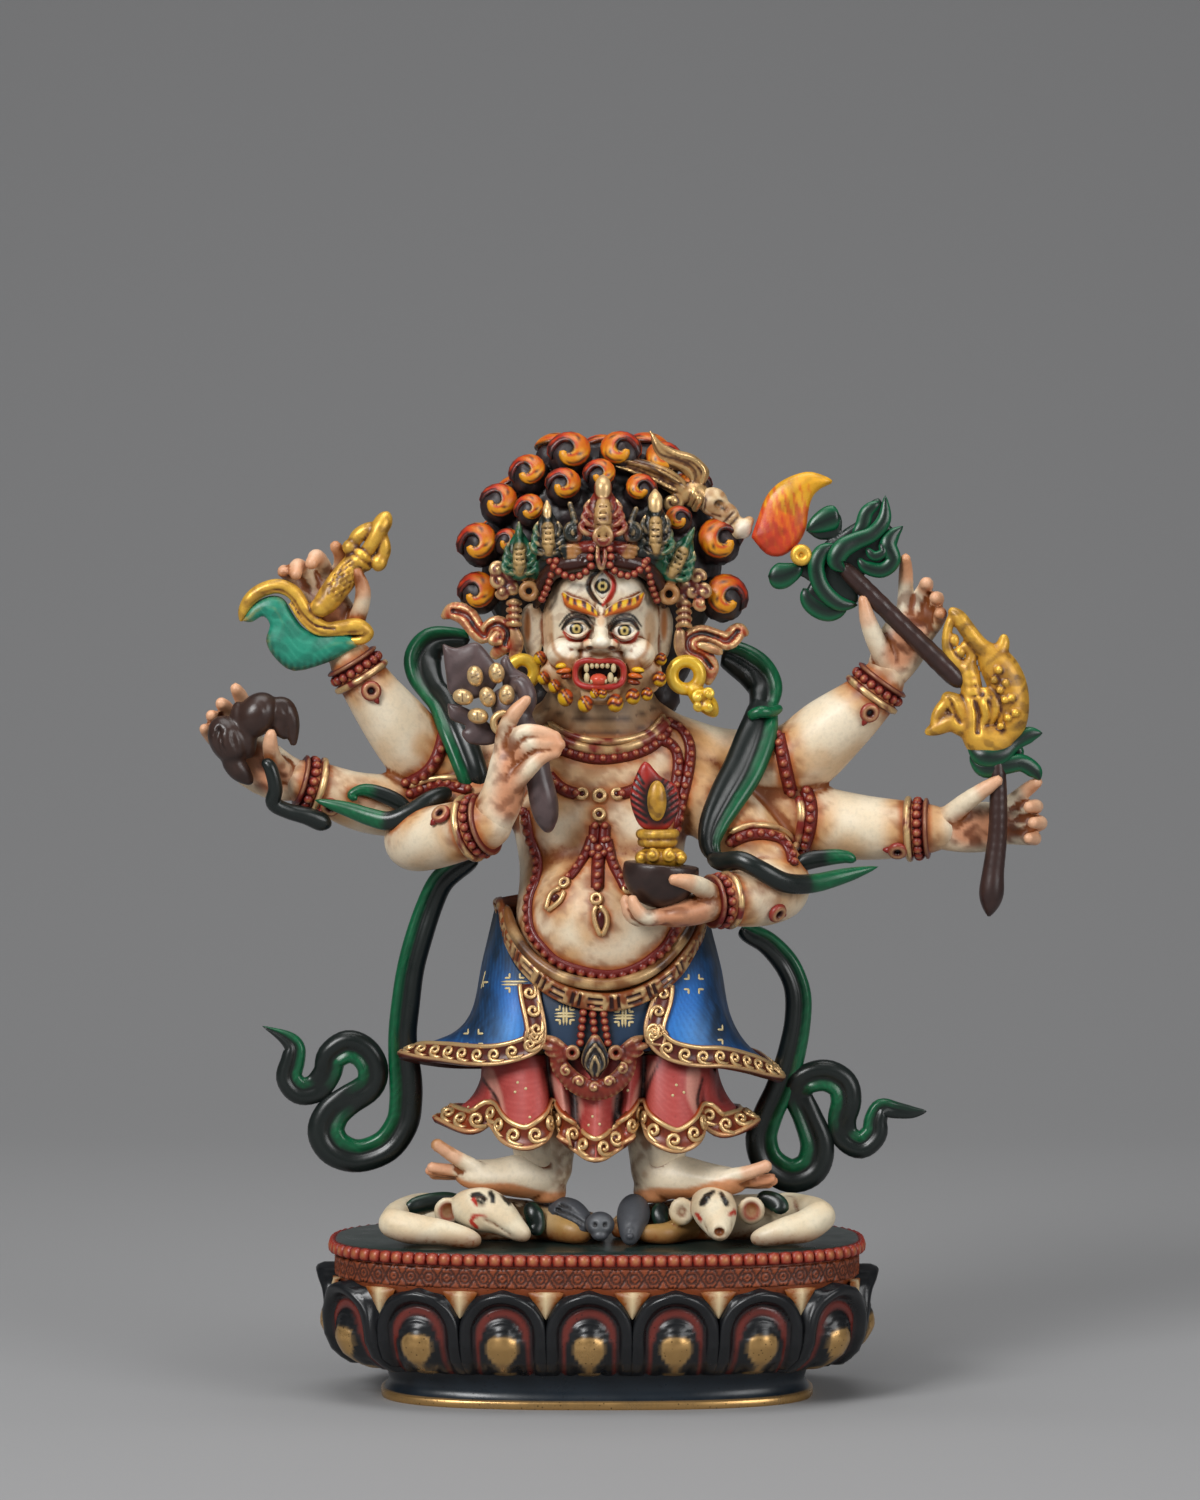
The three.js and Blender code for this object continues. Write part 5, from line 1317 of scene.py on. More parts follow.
# %% Pressing the body together
def model_body():
    """Hips, belly, trunk and neck, then chest, shoulders and back, arms, neck folds and legs."""
    clay = Clay([-28, -13, 6], [33, 9, 56], 0.42)
    clay.ball([0.6, -0.4, 24.5], [8.2, 6.4, 5.5], soft=1)
    clay.ball([0.7, -3, 28.6], [7.9, 6.9, 7.3], soft=1)
    clay.limb([[0.5, -0.4, 27, 7.2, 6], [0.4, -0.4, 33.5, 6.5, 5.2], [0.3, 0, 38.6, 7.2, 5],
               [0.3, 0.4, 42.6, 8.2, 4.4],
               [0.3, 0.4, 44.6, 7.2, 3.8], [0.3, -0.3, 46.4, 4.4, 3.9], [0.3, -0.8, 49, 4, 3.9]], soft=1.4)
    for side in (-1, 1):
        clay.ball([MIDDLE_X + side * 3.6, -3.6, 38.2], [3.5, 2, 3], soft=1.2)
        clay.ball([MIDDLE_X + side * 7.5, 0.8, 42.6], [3.2, 3.1, 3.2], soft=1.2)
        clay.ball([MIDDLE_X + side * 3.2, 3.6, 38.5], [3.2, 1.9, 4.4], soft=1.2)
    for joints in ARMS.values():
        clay.limb(joints, steps=5, soft=0.9)
    for low, tilt in ((45.2, 0.2), (46.1, 0.3), (46.9, 0.3)):
        ring = [[MIDDLE_X + 4.2 * math.cos(a), -0.6 + 4.1 * math.sin(a), low + tilt * math.sin(a), 0.5]
                for a in np.linspace(0, 2 * math.pi, 13)]
        clay.limb(ring, steps=2, soft=0.35)
    for side, heel in ((-1, -5.3), (1, 5.8)):
        clay.limb([[heel, -1.6, 14, 3.1], [heel, -2.6, 10.2, 2.5], [heel - side * 0.2, -3, 7, 1.9]], soft=0.6)
    return clay


def model_hands():
    """The hands with their wrists, and the feet with their heels, toes and flat soles."""
    clay = Clay([-37, -16, 2], [42, 2, 64], 0.275)
    for name, (palm, *fingers) in HANDS.items():
        wrist = ARMS[name][-2:]
        clay.limb(wrist, soft=0.5)
        clay.limb(palm, soft=0.5)
        for finger in fingers:
            clay.limb(finger, steps=3, soft=0.28)
            clay.ball(finger[-1][:3], [finger[-1][3] * 1.12] * 3, soft=0.2)
    for instep, *toes in FEET:
        clay.limb(instep, soft=0.5)
        x, y = instep[0][:2]
        side = math.copysign(1, instep[-1][0])
        clay.ball([x - 0.2 * side, y + 0.6, 5.6], [1.6, 1.6, 1.5], soft=0.5)
        clay.ball([x - 0.3 * side, y, 4.4], [1.65, 1.6, 1.5], soft=0.4)
        for toe in toes:
            clay.limb(toe, steps=3, soft=0.22)
            clay.ball(toe[-1][:3], [toe[-1][3] * 1.2] * 3, soft=0.15)
    for side, heel in ((-1, -4.3), (1, 5.1)):
        clay.limb([[heel, -2.6, 9.6, 2.6], [heel - side * 0.3, -3, 6.6, 1.8]], soft=0.6)
    clay.shave([-20, -12, 0], [20, 2, 3.4], 3.45, 0.3)
    return clay


body_points, body_quads = model_body().skin()
hand_points, hand_quads = model_hands().skin()
print("body", len(body_quads), "hands and feet", len(hand_quads), "quads")


# %% [markdown]
# ## The head
# The face is a wrathful mask: a broad skull, heavy brows that sweep up like flames, round bulging eyes with a
# third one upright on the forehead, wide nostrils, round cheeks and a square open mouth with fangs. It is
# pressed from its own, finer clay, and the eyes, teeth and tongue are set in afterwards.

# %% Plates and lines for places taken from the picture
def press_plate(clay, places, depth, half, swell=0.0, soft=0.1, steps=3):
    """A plate with a smooth outline given in the picture, which swells where it is far from its edge."""
    loop = smooth_path([[a, b, 0] for a, b in places + places[:1]], steps)[:-1]
    corners = np.array([seen(a, b, depth) for a, b, _ in loop])
    middle_y = corners[:, 1].mean()
    flat = corners[:, [0, 2]]

    def distance(x, y, z):
        across, up = x[:, 0, :], z[0]
        best = np.full(np.broadcast(across, up).shape, 1e9)
        crossed = np.zeros(best.shape, bool)
        for (ax, az), (bx, bz) in zip(flat, np.roll(flat, -1, 0)):
            wide, tall = bx - ax, bz - az
            run = np.clip(((across - ax) * wide + (up - az) * tall) / (wide**2 + tall**2 + 1e-12), 0, 1)
            best = np.minimum(best, (across - ax - run * wide) ** 2 + (up - az - run * tall) ** 2)
            if bz != az:
                hit = across < ax + (up - az) * wide / tall
                crossed ^= ((az > up) != (bz > up)) & hit
        edge = np.sqrt(best) * np.where(crossed, -1, 1)
        thick = half + swell * (1 - np.exp(np.minimum(edge, 0) / 0.9))
        r = half * 0.8
        a, b = edge[:, None, :] + r, np.abs(y - middle_y) - thick[:, None, :] + r
        return np.sqrt(np.maximum(a, 0) ** 2 + np.maximum(b, 0) ** 2) + np.minimum(np.maximum(a, b), 0) - r

    reach = half + swell
    low = [flat[:, 0].min(), middle_y - reach, flat[:, 1].min()]
    high = [flat[:, 0].max(), middle_y + reach, flat[:, 1].max()]
    clay.press(low, high, distance, soft, False)


def press_line(clay, rows, soft=0.08, carve=False, steps=4):
    """A limb through rows of across, down, depth and size, given in the picture."""
    clay.limb(seen_path(rows), steps=steps, soft=soft, carve=carve)


# %% Brush strokes given by their places in the picture
def pictured(points):
    """Where points show in the picture: across and down."""
    scale = PICTURE_MM * (CAMERA_BACK + points[:, 1]) / CAMERA_BACK
    return np.column_stack([PICTURE_MIDDLE + (points[:, 0] - CAMERA_X) / scale,
                            PICTURE_HORIZON + (CAMERA_UP - PLATE_TOP - points[:, 2]) / scale])


def beside(spots, path):
    """For places in the picture, how far they are from a line, on which side, and how far along it."""
    best, side, along = np.full(len(spots), 1e9), np.zeros(len(spots)), np.zeros(len(spots))
    length = lengths_along(path)
    for i, (a, b) in enumerate(zip(path[:-1], path[1:])):
        run = b - a
        t = np.clip(((spots - a) @ run) / (run @ run + 1e-9), 0, 1)
        away = spots - (a + t[:, None] * run)
        distance = np.linalg.norm(away, axis=1)
        closer = distance < best
        best = np.where(closer, distance, best)
        side = np.where(closer, np.sign(run[0] * away[:, 1] - run[1] * away[:, 0]), side)
        along = np.where(closer, (length[i] + t * (length[i + 1] - length[i])) / length[-1], along)
    return best, side, along


def stroke(paint, spots, front, rows, half, colour, strength=1.0, soft=0.8):
    """A brush stroke through places in the picture, as wide as half says along the way."""
    path = smooth_path([[a, b, 0] for a, b in rows], 6)[:, :2]
    distance, _, along = beside(spots, path)
    reach = np.interp(along, np.linspace(0, 1, len(half)), half)
    mask = strength * front * (1 - ramp(distance, reach - soft, reach + soft))
    paint.brush(mask, colour)
    paint.wash = paint.wash * (1 - 0.7 * mask)
    paint.rub = paint.rub * (1 - mask)


# %% Landmarks of the face
EYE_SPOTS = {"left": (576.5, 628.6), "right": (624.5, 630.4)}
EYES = {side: tuple(seen(*spot, -7.15)) for side, spot in EYE_SPOTS.items()}
THIRD_EYE = tuple(seen(602.5, 586, -7.3))
EYE_RADIUS = 1.02
BROWS = {
    "left": [(563, 594, -6.4, 0.2), (570, 602.5, -7.0, 0.52), (582, 606.5, -7.7, 0.55), (591, 611, -8.1, 0.4),
             (597, 615, -8.4, 0.2)],
    "right": [(643, 594, -6.4, 0.2), (635, 602.5, -7.0, 0.52), (622, 606.5, -7.7, 0.55),
              (611, 611, -8.1, 0.4), (605, 615, -8.4, 0.2)],
}
MOUTH = tuple(seen(599.5, 673.5, -8.2))
MOUTH_WIDE, MOUTH_TALL = 2.1, 1.14


def mouth_ring(wide, tall, depth, count=25):
    """Points round the square open mouth. Its corners stand further back, as on a round jaw."""
    ring = []
    for angle in np.linspace(0, 2 * math.pi, count):
        c, s = math.cos(angle), math.sin(angle)
        x = wide * math.copysign(abs(c) ** 0.65, c)
        z = tall * math.copysign(abs(s) ** 0.65, s)
        dip = 0.16 * math.exp(-((x / 0.7) ** 2)) if s > 0 else 0
        ring.append([MOUTH[0] + x, depth + 0.24 * x * x / wide, MOUTH[2] + z - dip])
    return ring


def near_eye(spot, places, depths):
    """Places round an eye, given in picture steps from its middle, with a depth for each."""
    return [(spot[0] + a, spot[1] + b, depth) for (a, b), depth in zip(places, depths)]


LID_UPPER = [(-13, 0), (-8, -6), (0, -8.5), (8, -6.5), (13, -0.5)]
LID_LOWER = [(-13, 0), (-6, 6), (1, 7.5), (8, 5), (13, -0.5)]
LID_DEPTHS = [-7.2, -7.75, -8.05, -7.85, -7.4]
LEFT_EAR = [(524, 607), (531, 603), (541, 608), (543, 630), (541, 650), (534, 659), (527, 655),
            (522, 636), (520, 620)]
RIGHT_EAR = [(669, 607), (662, 603), (655, 608), (653, 630), (655, 650), (661, 659), (668, 656),
             (672, 638), (673, 620)]


def model_head():
    """Skull, jaw, neck and ears, then lids, cheeks, nose, brows, the third eye's slot and the mouth."""
    clay = Clay([-8.2, -10.8, 46.4], [9, 4, 62.4], 0.137)
    clay.ball([MIDDLE_X, -1.9, 55.4], [5.35, 5.4, 6.1], soft=0.5)
    clay.ball([MIDDLE_X, -3.1, 51.9], [5.1, 4.7, 3.9], soft=1)
    clay.ball([MIDDLE_X, -5.2, 58.4], [3.9, 2.3, 2.2], soft=1)
    clay.limb([[MIDDLE_X, -0.8, 46, 4], [MIDDLE_X, -1.2, 50, 4]], soft=0.8)
    for ear in (LEFT_EAR, RIGHT_EAR):
        press_plate(clay, ear, -2.6, 0.4, 0.2, soft=0.25)
    press_line(clay, [(527, 612, -3.3, 0.28), (527, 626, -3.4, 0.32), (529, 641, -3.3, 0.26)],
               soft=0.15, carve=True)
    press_line(clay, [(664, 610, -3.3, 0.28), (664, 624, -3.4, 0.32), (663, 641, -3.3, 0.26)],
               soft=0.15, carve=True)
    for side, eye in zip((-1, 1), EYES.values()):
        spot = EYE_SPOTS["left" if side < 0 else "right"]
        x = MIDDLE_X + side * 3.25
        clay.ball([eye[0], eye[1] - 1.1, eye[2]], [1.5, 0.8, 1.0], soft=0.35, carve=True)
        clay.ball([x, -6.5, 52.8], [1.6, 1.35, 1.4], soft=0.25)
        clay.ball([MIDDLE_X + side * 4.35, -4.6, 50.9], [1.1, 1.3, 1.7], soft=0.5)
        clay.ball([MIDDLE_X + side * 1.1, -8.65, 53.6], [0.66, 0.75, 0.56], soft=0.1)
        clay.ball([MIDDLE_X + side * 1.02, -9.25, 53.25], [0.36, 0.5, 0.22], soft=0.06, carve=True)
        for lid, half in ((LID_UPPER, 0.22), (LID_LOWER, 0.17)):
            press_line(clay, [row + (half,) for row in near_eye(spot, lid, LID_DEPTHS)], soft=0.12)
        clay.limb([[eye[0] - 1.4 * side, -7.3, eye[2] - 1.25, 0.22], [eye[0], -7.7, eye[2] - 1.5, 0.25],
                   [eye[0] + 1.5 * side, -6.6, eye[2] - 1.1, 0.2]], soft=0.25)
        clay.limb([[MIDDLE_X + side * 2.3, -7.5, 52.8, 0.26], [MIDDLE_X + side * 2.85, -7.5, 52.0, 0.3],
                   [MIDDLE_X + side * 3.2, -7.0, 50.8, 0.3]], soft=0.4)
    for rows in BROWS.values():
        press_line(clay, rows, soft=0.15, steps=5)
    clay.limb([[MIDDLE_X, -7.4, 57, 0.4], [MIDDLE_X, -8.1, 55.8, 0.4], [MIDDLE_X, -8.9, 54.4, 0.6]], soft=0.3)
    clay.ball([0.36, -9.15, 53.85], [0.86, 0.8, 0.62], soft=0.12)
    press_line(clay, [(599, 606, -8.2, 0.13), (598.6, 615, -8.4, 0.12)], soft=0.1, carve=True)
    press_line(clay, [(604, 606, -8.2, 0.13), (604.4, 615, -8.4, 0.12)], soft=0.1, carve=True)
    x, y, z = THIRD_EYE
    clay.ball([x, y - 0.5, z], [0.85, 0.75, 1.3], soft=0.1, carve=True)
    for side in (-1, 1):
        clay.limb([[x, y - 0.15, z - 1.55, 0.15], [x + side * 0.95, y - 0.2, z, 0.19],
                   [x, y + 0.25, z + 1.55, 0.15]],
                  steps=5, soft=0.1)
    clay.ball([MOUTH[0], -7.6, MOUTH[2]], [MOUTH_WIDE, 1.8, MOUTH_TALL * 1.05], soft=0.15, carve=True)
    clay.limb([p + [0.28] for p in mouth_ring(MOUTH_WIDE + 0.06, MOUTH_TALL + 0.08, -8.1)], steps=2, soft=0.1)
    clay.ball([0.3, -6.7, 49.2], [1.7, 1.2, 1], soft=0.5)
    return clay


head_points, head_quads = model_head().skin()
print("head", len(head_quads), "quads")

# %% Small helpers for what is pressed, set and gilded on the figure
WORN = []


def lump(centre, radii, turn=None, rings=8, sides=14):
    """An ellipsoid as points and faces, with its pole to the front."""
    points, faces = bead_shape(1, rings, sides, tall=1)
    points = np.stack([points[:, 0], -points[:, 2], points[:, 1]], 1) * radii
    if turn is not None:
        points = points @ turn.T
    return points + centre, faces


def gilded(points, quads, base, low=0.01, high=0.07, rounds=5, most=0.95):
    """A coat with the wash in the creases and gold on what stands out."""
    paint = Paint(points, base)
    stand = proud(points, face_array(quads), rounds)
    old = ramp(mottle(points, 0.9, 21), 0.5, 0.95)
    paint.wash = np.clip(ramp(-stand, 0.0, high) + 0.3 * old, 0, 1)
    paint.rub = ramp(stand, low, high) * most * (1 - 0.35 * old)
    return paint


def worn_piece(name, points, faces, paint, material):
    """A piece that lies on the body, so the skin near it gets its shade."""
    WORN.append((points, faces))
    return painted_piece(name, points, faces, FIGURE, paint, material)


def pressed(name, clay, base, material, coat=None, worn=True, **gilding):
    """The skin of some clay as a gilded piece. coat may brush more colours on it."""
    points, quads = clay.skin()
    paint = gilded(points, quads, base, **gilding)
    if coat:
        coat(paint)
    if worn:
        WORN.append((points, quads))
    return painted_piece(name, points, quads, FIGURE, paint, material)


def press_spiral(clay, centre, depth, reach, turns, start, half, tail=None, soft=0.1, steps=14):
    """A flat spiral of clay facing the front, given by its place in the picture and its reach there."""
    rows = []
    for i in range(steps + 1):
        share = i / steps
        angle = math.radians(start) + share * turns * 2 * math.pi
        r = reach * (1 - 0.82 * share)
        spot = seen(centre[0] + r * math.cos(angle), centre[1] - r * math.sin(angle), depth - 0.35 * share)
        rows.append(spot + [half * (1 - 0.3 * share)])
    if tail:
        rows = [seen(*tail) + [half * 0.8]] + rows
    clay.limb(rows, steps=2, soft=soft)


def press_ring(clay, centre, depth, reach, half, count=15, soft=0.08, carve=False):
    """A wire ring facing the front, or a round groove."""
    turns = np.linspace(0, 2 * math.pi, count)
    ring = [seen(centre[0] + reach * math.cos(a), centre[1] + reach * math.sin(a), depth) + [half]
            for a in turns]
    clay.limb(ring, steps=2, soft=soft, carve=carve)


ENAMEL_YELLOW = painted("chrome yellow acrylic with gold powder", wash="#6A3A10",
                        gold="#F2D25A", roughness=0.33,
                        gold_metal=0.6, grain_mm=0.4)
FLAME = painted("flame-orange acrylic over brown", wash="#170E0C", gold="#E7A41C",
                roughness=0.36, gold_metal=0.0,
                grain_mm=0.22, bump=0.25)
PLAIN = painted("clear-varnished acrylic", wash="#2A1512", gold="#E7C27A", roughness=0.28, gold_metal=0.0,
                grain_mm=0.3, bump=0.06)

# %% [markdown]
# ## Eyes, teeth, beard
# The eyes are balls set into their sockets, so the lids lie over them. The iris and its black ring are
# brushed as circles seen from the front. The teeth, tongue and the curled beard knots are small lumps too.

# %% The three eyes
def eyeball(name, centre, radii, iris):
    """A ball with reddened corners, a black ring, a yellow iris and a pupil."""
    points, faces = lump(np.zeros(3), np.ones(3), rings=34, sides=44)
    points = points * radii
    paint = Paint(points, "#F3ECDD")
    across = np.hypot(points[:, 0], points[:, 2])
    front = points[:, 1] < 0
    paint.brush(ramp(np.abs(points[:, 0]), radii[0] * 0.72, radii[0] * 0.95) * 0.8, "#B5402C")
    for reach, colour in ((1.7, "#1B1A18"), (1.05, "#CDB36A"), (0.52, "#100C0A")):
        paint.brush(front * (1 - ramp(across, iris * reach - 0.03, iris * reach + 0.03)), colour)
    painted_piece(name, points + centre, faces, FIGURE, paint, PLAIN)


for side, centre in EYES.items():
    eyeball("eye_" + side, np.array(centre), [EYE_RADIUS * 1.08, EYE_RADIUS, EYE_RADIUS * 0.95], 0.36)
eyeball("third_eye", np.array(THIRD_EYE) + [0, 0.3, 0], [0.8, 0.68, 1.25], 0.4)

# %% Teeth and tongue
TEETH = [(586.5, 668, 0.24, 0.42), (592, 665.8, 0.2, 0.26), (597, 665.6, 0.21, 0.26),
         (602.3, 665.6, 0.21, 0.26),
         (607.5, 665.8, 0.2, 0.26), (613.5, 668, 0.24, 0.42), (586.8, 677.5, 0.26, 0.46),
         (592, 681, 0.18, 0.24),
         (610.5, 677.5, 0.28, 0.48), (605.5, 681, 0.18, 0.24), (615.5, 680, 0.18, 0.3)]
teeth = merged([lump(seen(across, down, -8.1), [wide, 0.3, tall]) for across, down, wide, tall in TEETH])
tooth_paint = Paint(teeth[0], "#E3CFA0")
tooth_paint.wash = 0.35 * ramp(-proud(teeth[0], face_array(teeth[1]), 3), -0.1, 0.05)
painted_piece("teeth", *teeth, FIGURE, tooth_paint, PLAIN)
tongue_points, tongue_faces = lump(seen(598.5, 679.5, -7.9), [0.8, 0.75, 0.56])
painted_piece("tongue", tongue_points, tongue_faces, FIGURE, Paint(tongue_points, "#D8553C"), PLAIN)
throat_points, throat_faces = lump([MOUTH[0], -6.2, MOUTH[2]], [MOUTH_WIDE * 0.96, 0.5, MOUTH_TALL])
painted_piece("throat", throat_points, throat_faces, FIGURE, Paint(throat_points, "#2A0F0C"), PLAIN)

# %% Beard knots and cheek curls
BEARD = [(540, 658, -5.3, 0.62), (543.5, 678, -5.8, 0.6), (554.5, 686, -6.4, 0.62),
         (565.5, 697.5, -7.1, 0.78),
         (585.3, 704, -7.9, 0.74), (594.5, 693.5, -8.3, 0.45), (602.5, 693.5, -8.3, 0.45),
         (615.3, 703, -7.9, 0.8),
         (633, 696.5, -7.2, 0.72), (647, 694, -6.6, 0.6), (659.5, 679, -6, 0.68), (661, 659, -5.4, 0.56)]
CHEEK_CURLS = [(561, 666, -7.6, 6), (563.5, 671, -7.7, 8), (566, 676, -7.5, 6),
               (638, 670, -7.6, 7), (635.5, 676, -7.7, 8), (634, 682, -7.4, 7)]


def striped(points, middle, radius, lean):
    """Orange above, yellow below, with a dark line between, as on a rolled curl."""
    local = (points - middle) / radius
    wave = local[:, 2] * 0.9 + local[:, 0] * lean + 0.35 * np.sin(local[:, 0] * 3)
    coat = Paint(points, "#B84A18")
    coat.brush(1 - ramp(wave, -0.3, -0.18), "#D9A81A")
    coat.brush(np.exp(-(((wave + 0.08) / 0.16) ** 2)), "#2C141C")
    coat.brush(0.8 * np.exp(-(((wave - 0.34) / 0.1) ** 2)), "#DC9A1C")
    coat.brush(np.exp(-(((wave - 0.62) / 0.16) ** 2)), "#3C1A1E")
    coat.brush(0.6 * (1 - ramp(local[:, 2], -0.95, -0.55)), "#7A3A14")
    return coat.colour


knots, knot_colours = [], []
for k, (across, down, depth, radius) in enumerate(BEARD):
    middle = np.array(seen(across, down, depth))
    points, faces = lump(middle, [radius * 0.92, radius, radius * 1.05], rings=14, sides=22)
    knots.append((points, faces))
    knot_colours.append(striped(points, middle, radius, 0.55 if k < 6 else -0.55))
for k, (across, down, depth, reach) in enumerate(CHEEK_CURLS):
    middle = np.array(seen(across, down, depth))
    points, faces = lump(middle, [reach * 0.085, 0.5, 0.3], turned(10 if k < 3 else -10), rings=12, sides=20)
    knots.append((points, faces))
    coat = Paint(points, ("#E3B01C", "#C8601C", "#8A3A1C")[k % 3])
    coat.brush(1 - ramp((points - middle)[:, 2], -0.2, -0.1), "#331820")
    knot_colours.append(coat.colour)
knot_points, knot_faces = merged(knots)
knot_paint = Paint(knot_points, "#CF5B1C")
knot_paint.colour = np.vstack(knot_colours)
WORN.append((knot_points, knot_faces))
painted_piece("beard_knots", knot_points, knot_faces, FIGURE, knot_paint, PLAIN)

# %% [markdown]
# ## The hair
# The hair stands up round the head in rows of thick curls, each a dark lobe with a flame-coloured wave that
# hugs its top and rolls in at the end. The mass is clay. The wave is modelled once and Geometry Nodes sets it
# on every curl, mirrored on the other half of the head, so all the waves roll towards the middle.

# %% The mass, with a lobe for each curl
HAIR_FRONT = [(479.8, 594, -1.6, 1.75), (480.8, 547, -1.6, 1.75), (500, 506, -1.4, 1.7),
              (530, 477, -1.4, 1.75),
              (570, 458, -1.6, 1.85), (620, 456, -1.6, 1.8), (718, 544, -1.4, 1.9), (722, 599, -1.6, 2.0),
              (694, 490, -0.8, 1.6), (662, 464, -0.6, 1.6), (563.5, 489, -3.6, 1.5), (531, 512, -3.4, 1.4),
              (508, 543, -3.2, 1.15), (600, 478, -3.6, 1.35), (640, 492, -3.6, 1.3), (678, 521, -3.2, 1.2)]
HAIR_SIZE = np.array([11.3, 6.4, 11])
HAIR_MIDDLE = np.array([0.4, 1.6, 60.7])
BACK_ROWS = ((70.2, 3), (66.6, 5), (62.6, 6), (58.4, 6), (54.2, 5))


def hair_curls():
    """Rows of place, way out and size for every curl: the seen ones, then rows over the back."""
    rows = []
    for across, down, depth, size in HAIR_FRONT:
        place_at = np.array(seen(across, down, depth))
        out = unit((place_at - HAIR_MIDDLE) / HAIR_SIZE**2 + [0, -0.06, 0])
        rows.append((place_at, unit(out + [0, -1.3, 0]), size))
    for up, count in BACK_ROWS:
        flat = math.sqrt(max(0.1, 1 - ((up - HAIR_MIDDLE[2]) / HAIR_SIZE[2]) ** 2))
        for k in range(count):
            turn = ((k + 0.5) / count * 2 - 1) * 1.35
            x = HAIR_MIDDLE[0] + HAIR_SIZE[0] * flat * 0.9 * math.sin(turn)
            y = HAIR_MIDDLE[1] + (0.6 + 0.4 * math.cos(turn)) * 5.6 * math.cos(turn * 0.81) * flat
            place_at = np.array([x, y, up])
            rows.append((place_at, unit((place_at - HAIR_MIDDLE) / HAIR_SIZE**2), 1.9))
    return rows


def model_hair():
    """The mass behind the head with a lobe for each curl, hollowed for the skull."""
    clay = Clay([-15, -8.2, 43.5], [15.5, 11, 74.5], 0.34)
    clay.ball(HAIR_MIDDLE, HAIR_SIZE - [0.5, 0.6, 0.5], soft=0.5)
    clay.ball([0.4, 3, 51.6], [7.8, 4.3, 6], soft=1)
    clay.ball([0.4, -2.8, 61.6], [6.4, 3.9, 3.6], soft=0.8)
    for place_at, _, size in hair_curls():
        clay.ball(place_at, [size * 1.04, size, size * 1.04], soft=0.25)
    for side in (-1, 1):
        for up in (51.6, 48.6):
            clay.ball([0.4 + side * (6.2 if up > 50 else 5.2), 2.6, up], [1.9, 2.6, 1.8], soft=0.3)
    clay.limb([[0.4, -0.6, 50, 4.6], [0.4, -1.2, 56, 4.9], [0.4, -1.2, 58.6, 4.9]], soft=0.2, carve=True)
    return clay


HAIR_LACQUER = painted("brown-black acrylic, thick", wash="#0E0908", roughness=0.44, gold_metal=0.0,
                       grain_mm=0.5, bump=0.3)
hair_points, hair_quads = model_hair().skin()
strands = mottle(hair_points * [1, 1, 0.45], 0.5, 15)
hair_points = hair_points + point_normals(hair_points, hair_quads) * (0.16 * strands - 0.08)[:, None]
hair_paint = Paint(hair_points, "#1C1315")
hair_paint.brush(0.6 * strands, "#3A2A2A")
hair_paint.wash = ramp(-proud(hair_points, hair_quads, 3), 0.0, 0.1)
painted_piece("hair_mass", hair_points, hair_quads, FIGURE, hair_paint, HAIR_LACQUER)

# %% One wave, and its copies
def crest(mirror):
    """A wave of hair on a ball of radius 1 that faces +Z: up the outer side, over the top, and in."""
    path = []
    for share in np.linspace(0, 1, 21):
        angle = math.radians(208 - share * 385)
        reach = 0.86 - 0.66 * share**1.3
        x, y = reach * math.cos(angle), reach * math.sin(angle) + 0.12
        wide = np.interp(share, [0, 0.15, 0.42, 0.7, 0.9, 1], [0.14, 0.4, 0.5, 0.36, 0.24, 0.16])
        path.append([x, y, math.sqrt(max(0.05, 1.0 - x * x - y * y)), wide, 0.19])
    path = tapered(np.array(path), 0.1, 0.06)
    points, faces, where = sweep(path, rounded(18), facing=path[:, :3] * [1, 1, 1.1])
    share = where[:, 0] / where[:, 0].max()
    across = where[:, 1]
    hairs = np.sin(across * 9 + np.sin(share * 8) * 1.6) + 0.6 * np.sin(across * 15 - share * 11)
    rough = mottle(points, 0.3, 3)
    paint = Paint(points, "#6E1810")
    mixed_share = share + 0.3 * (rough - 0.5) + 0.06 * hairs
    paint.brush(ramp(mixed_share, 0.08, 0.3), "#B8401A")
    paint.brush(ramp(mixed_share, 0.3, 0.55), "#C9690F")
    paint.brush(0.8 * ramp(mixed_share, 0.55, 0.85), "#DE9A14")
    fleck = mottle(points * [1, 1, 0.6], 0.13, 35)
    paint.brush(0.8 * ramp(-hairs - 0.8 * rough + 0.7 * (0.6 - share), 0.1, 0.6), "#BE2C16")
    paint.brush(0.95 * ramp(hairs + 2.2 * (fleck - 0.5) + 1.5 * (0.5 - share), 0.3, 1.0), "#2A110E")
    paint.wash = np.clip(0.9 * ramp(np.abs(across), 0.72, 1.0) + 0.6 * (1 - ramp(share, 0.0, 0.14)), 0, 1)
    if mirror:
        points = points * [-1, 1, 1]
        faces = [tuple(reversed(face)) for face in faces]
    return pattern_piece("crest " + ("right" if mirror else "left"), points, faces, paint, FLAME)


for name, side in (("hair_crests_left", -1), ("hair_crests_right", 1)):
    rows = [row for row in hair_curls() if (row[0][0] - MIDDLE_X) * side > 0]
    ups = []
    for k, (_, out, _) in enumerate(rows):
        up = unit(np.array([0, 0, 1.0]) - out * out[2])
        ups.append(unit(up + np.cross(out, up) * 0.3 * math.sin(2.4 * k)))
    sizes = np.array([[size * (1.05 + 0.06 * math.sin(1.7 * k))] * 3 for k, (_, _, size) in enumerate(rows)])
    spots, outs = [row[0] for row in rows], [row[1] for row in rows]
    copies(name, ON_POINTS, crest(side > 0), spots, [], outs, ups, sizes, 0, FIGURE, FLAME)
print("hair with", len(hair_curls()), "curls")

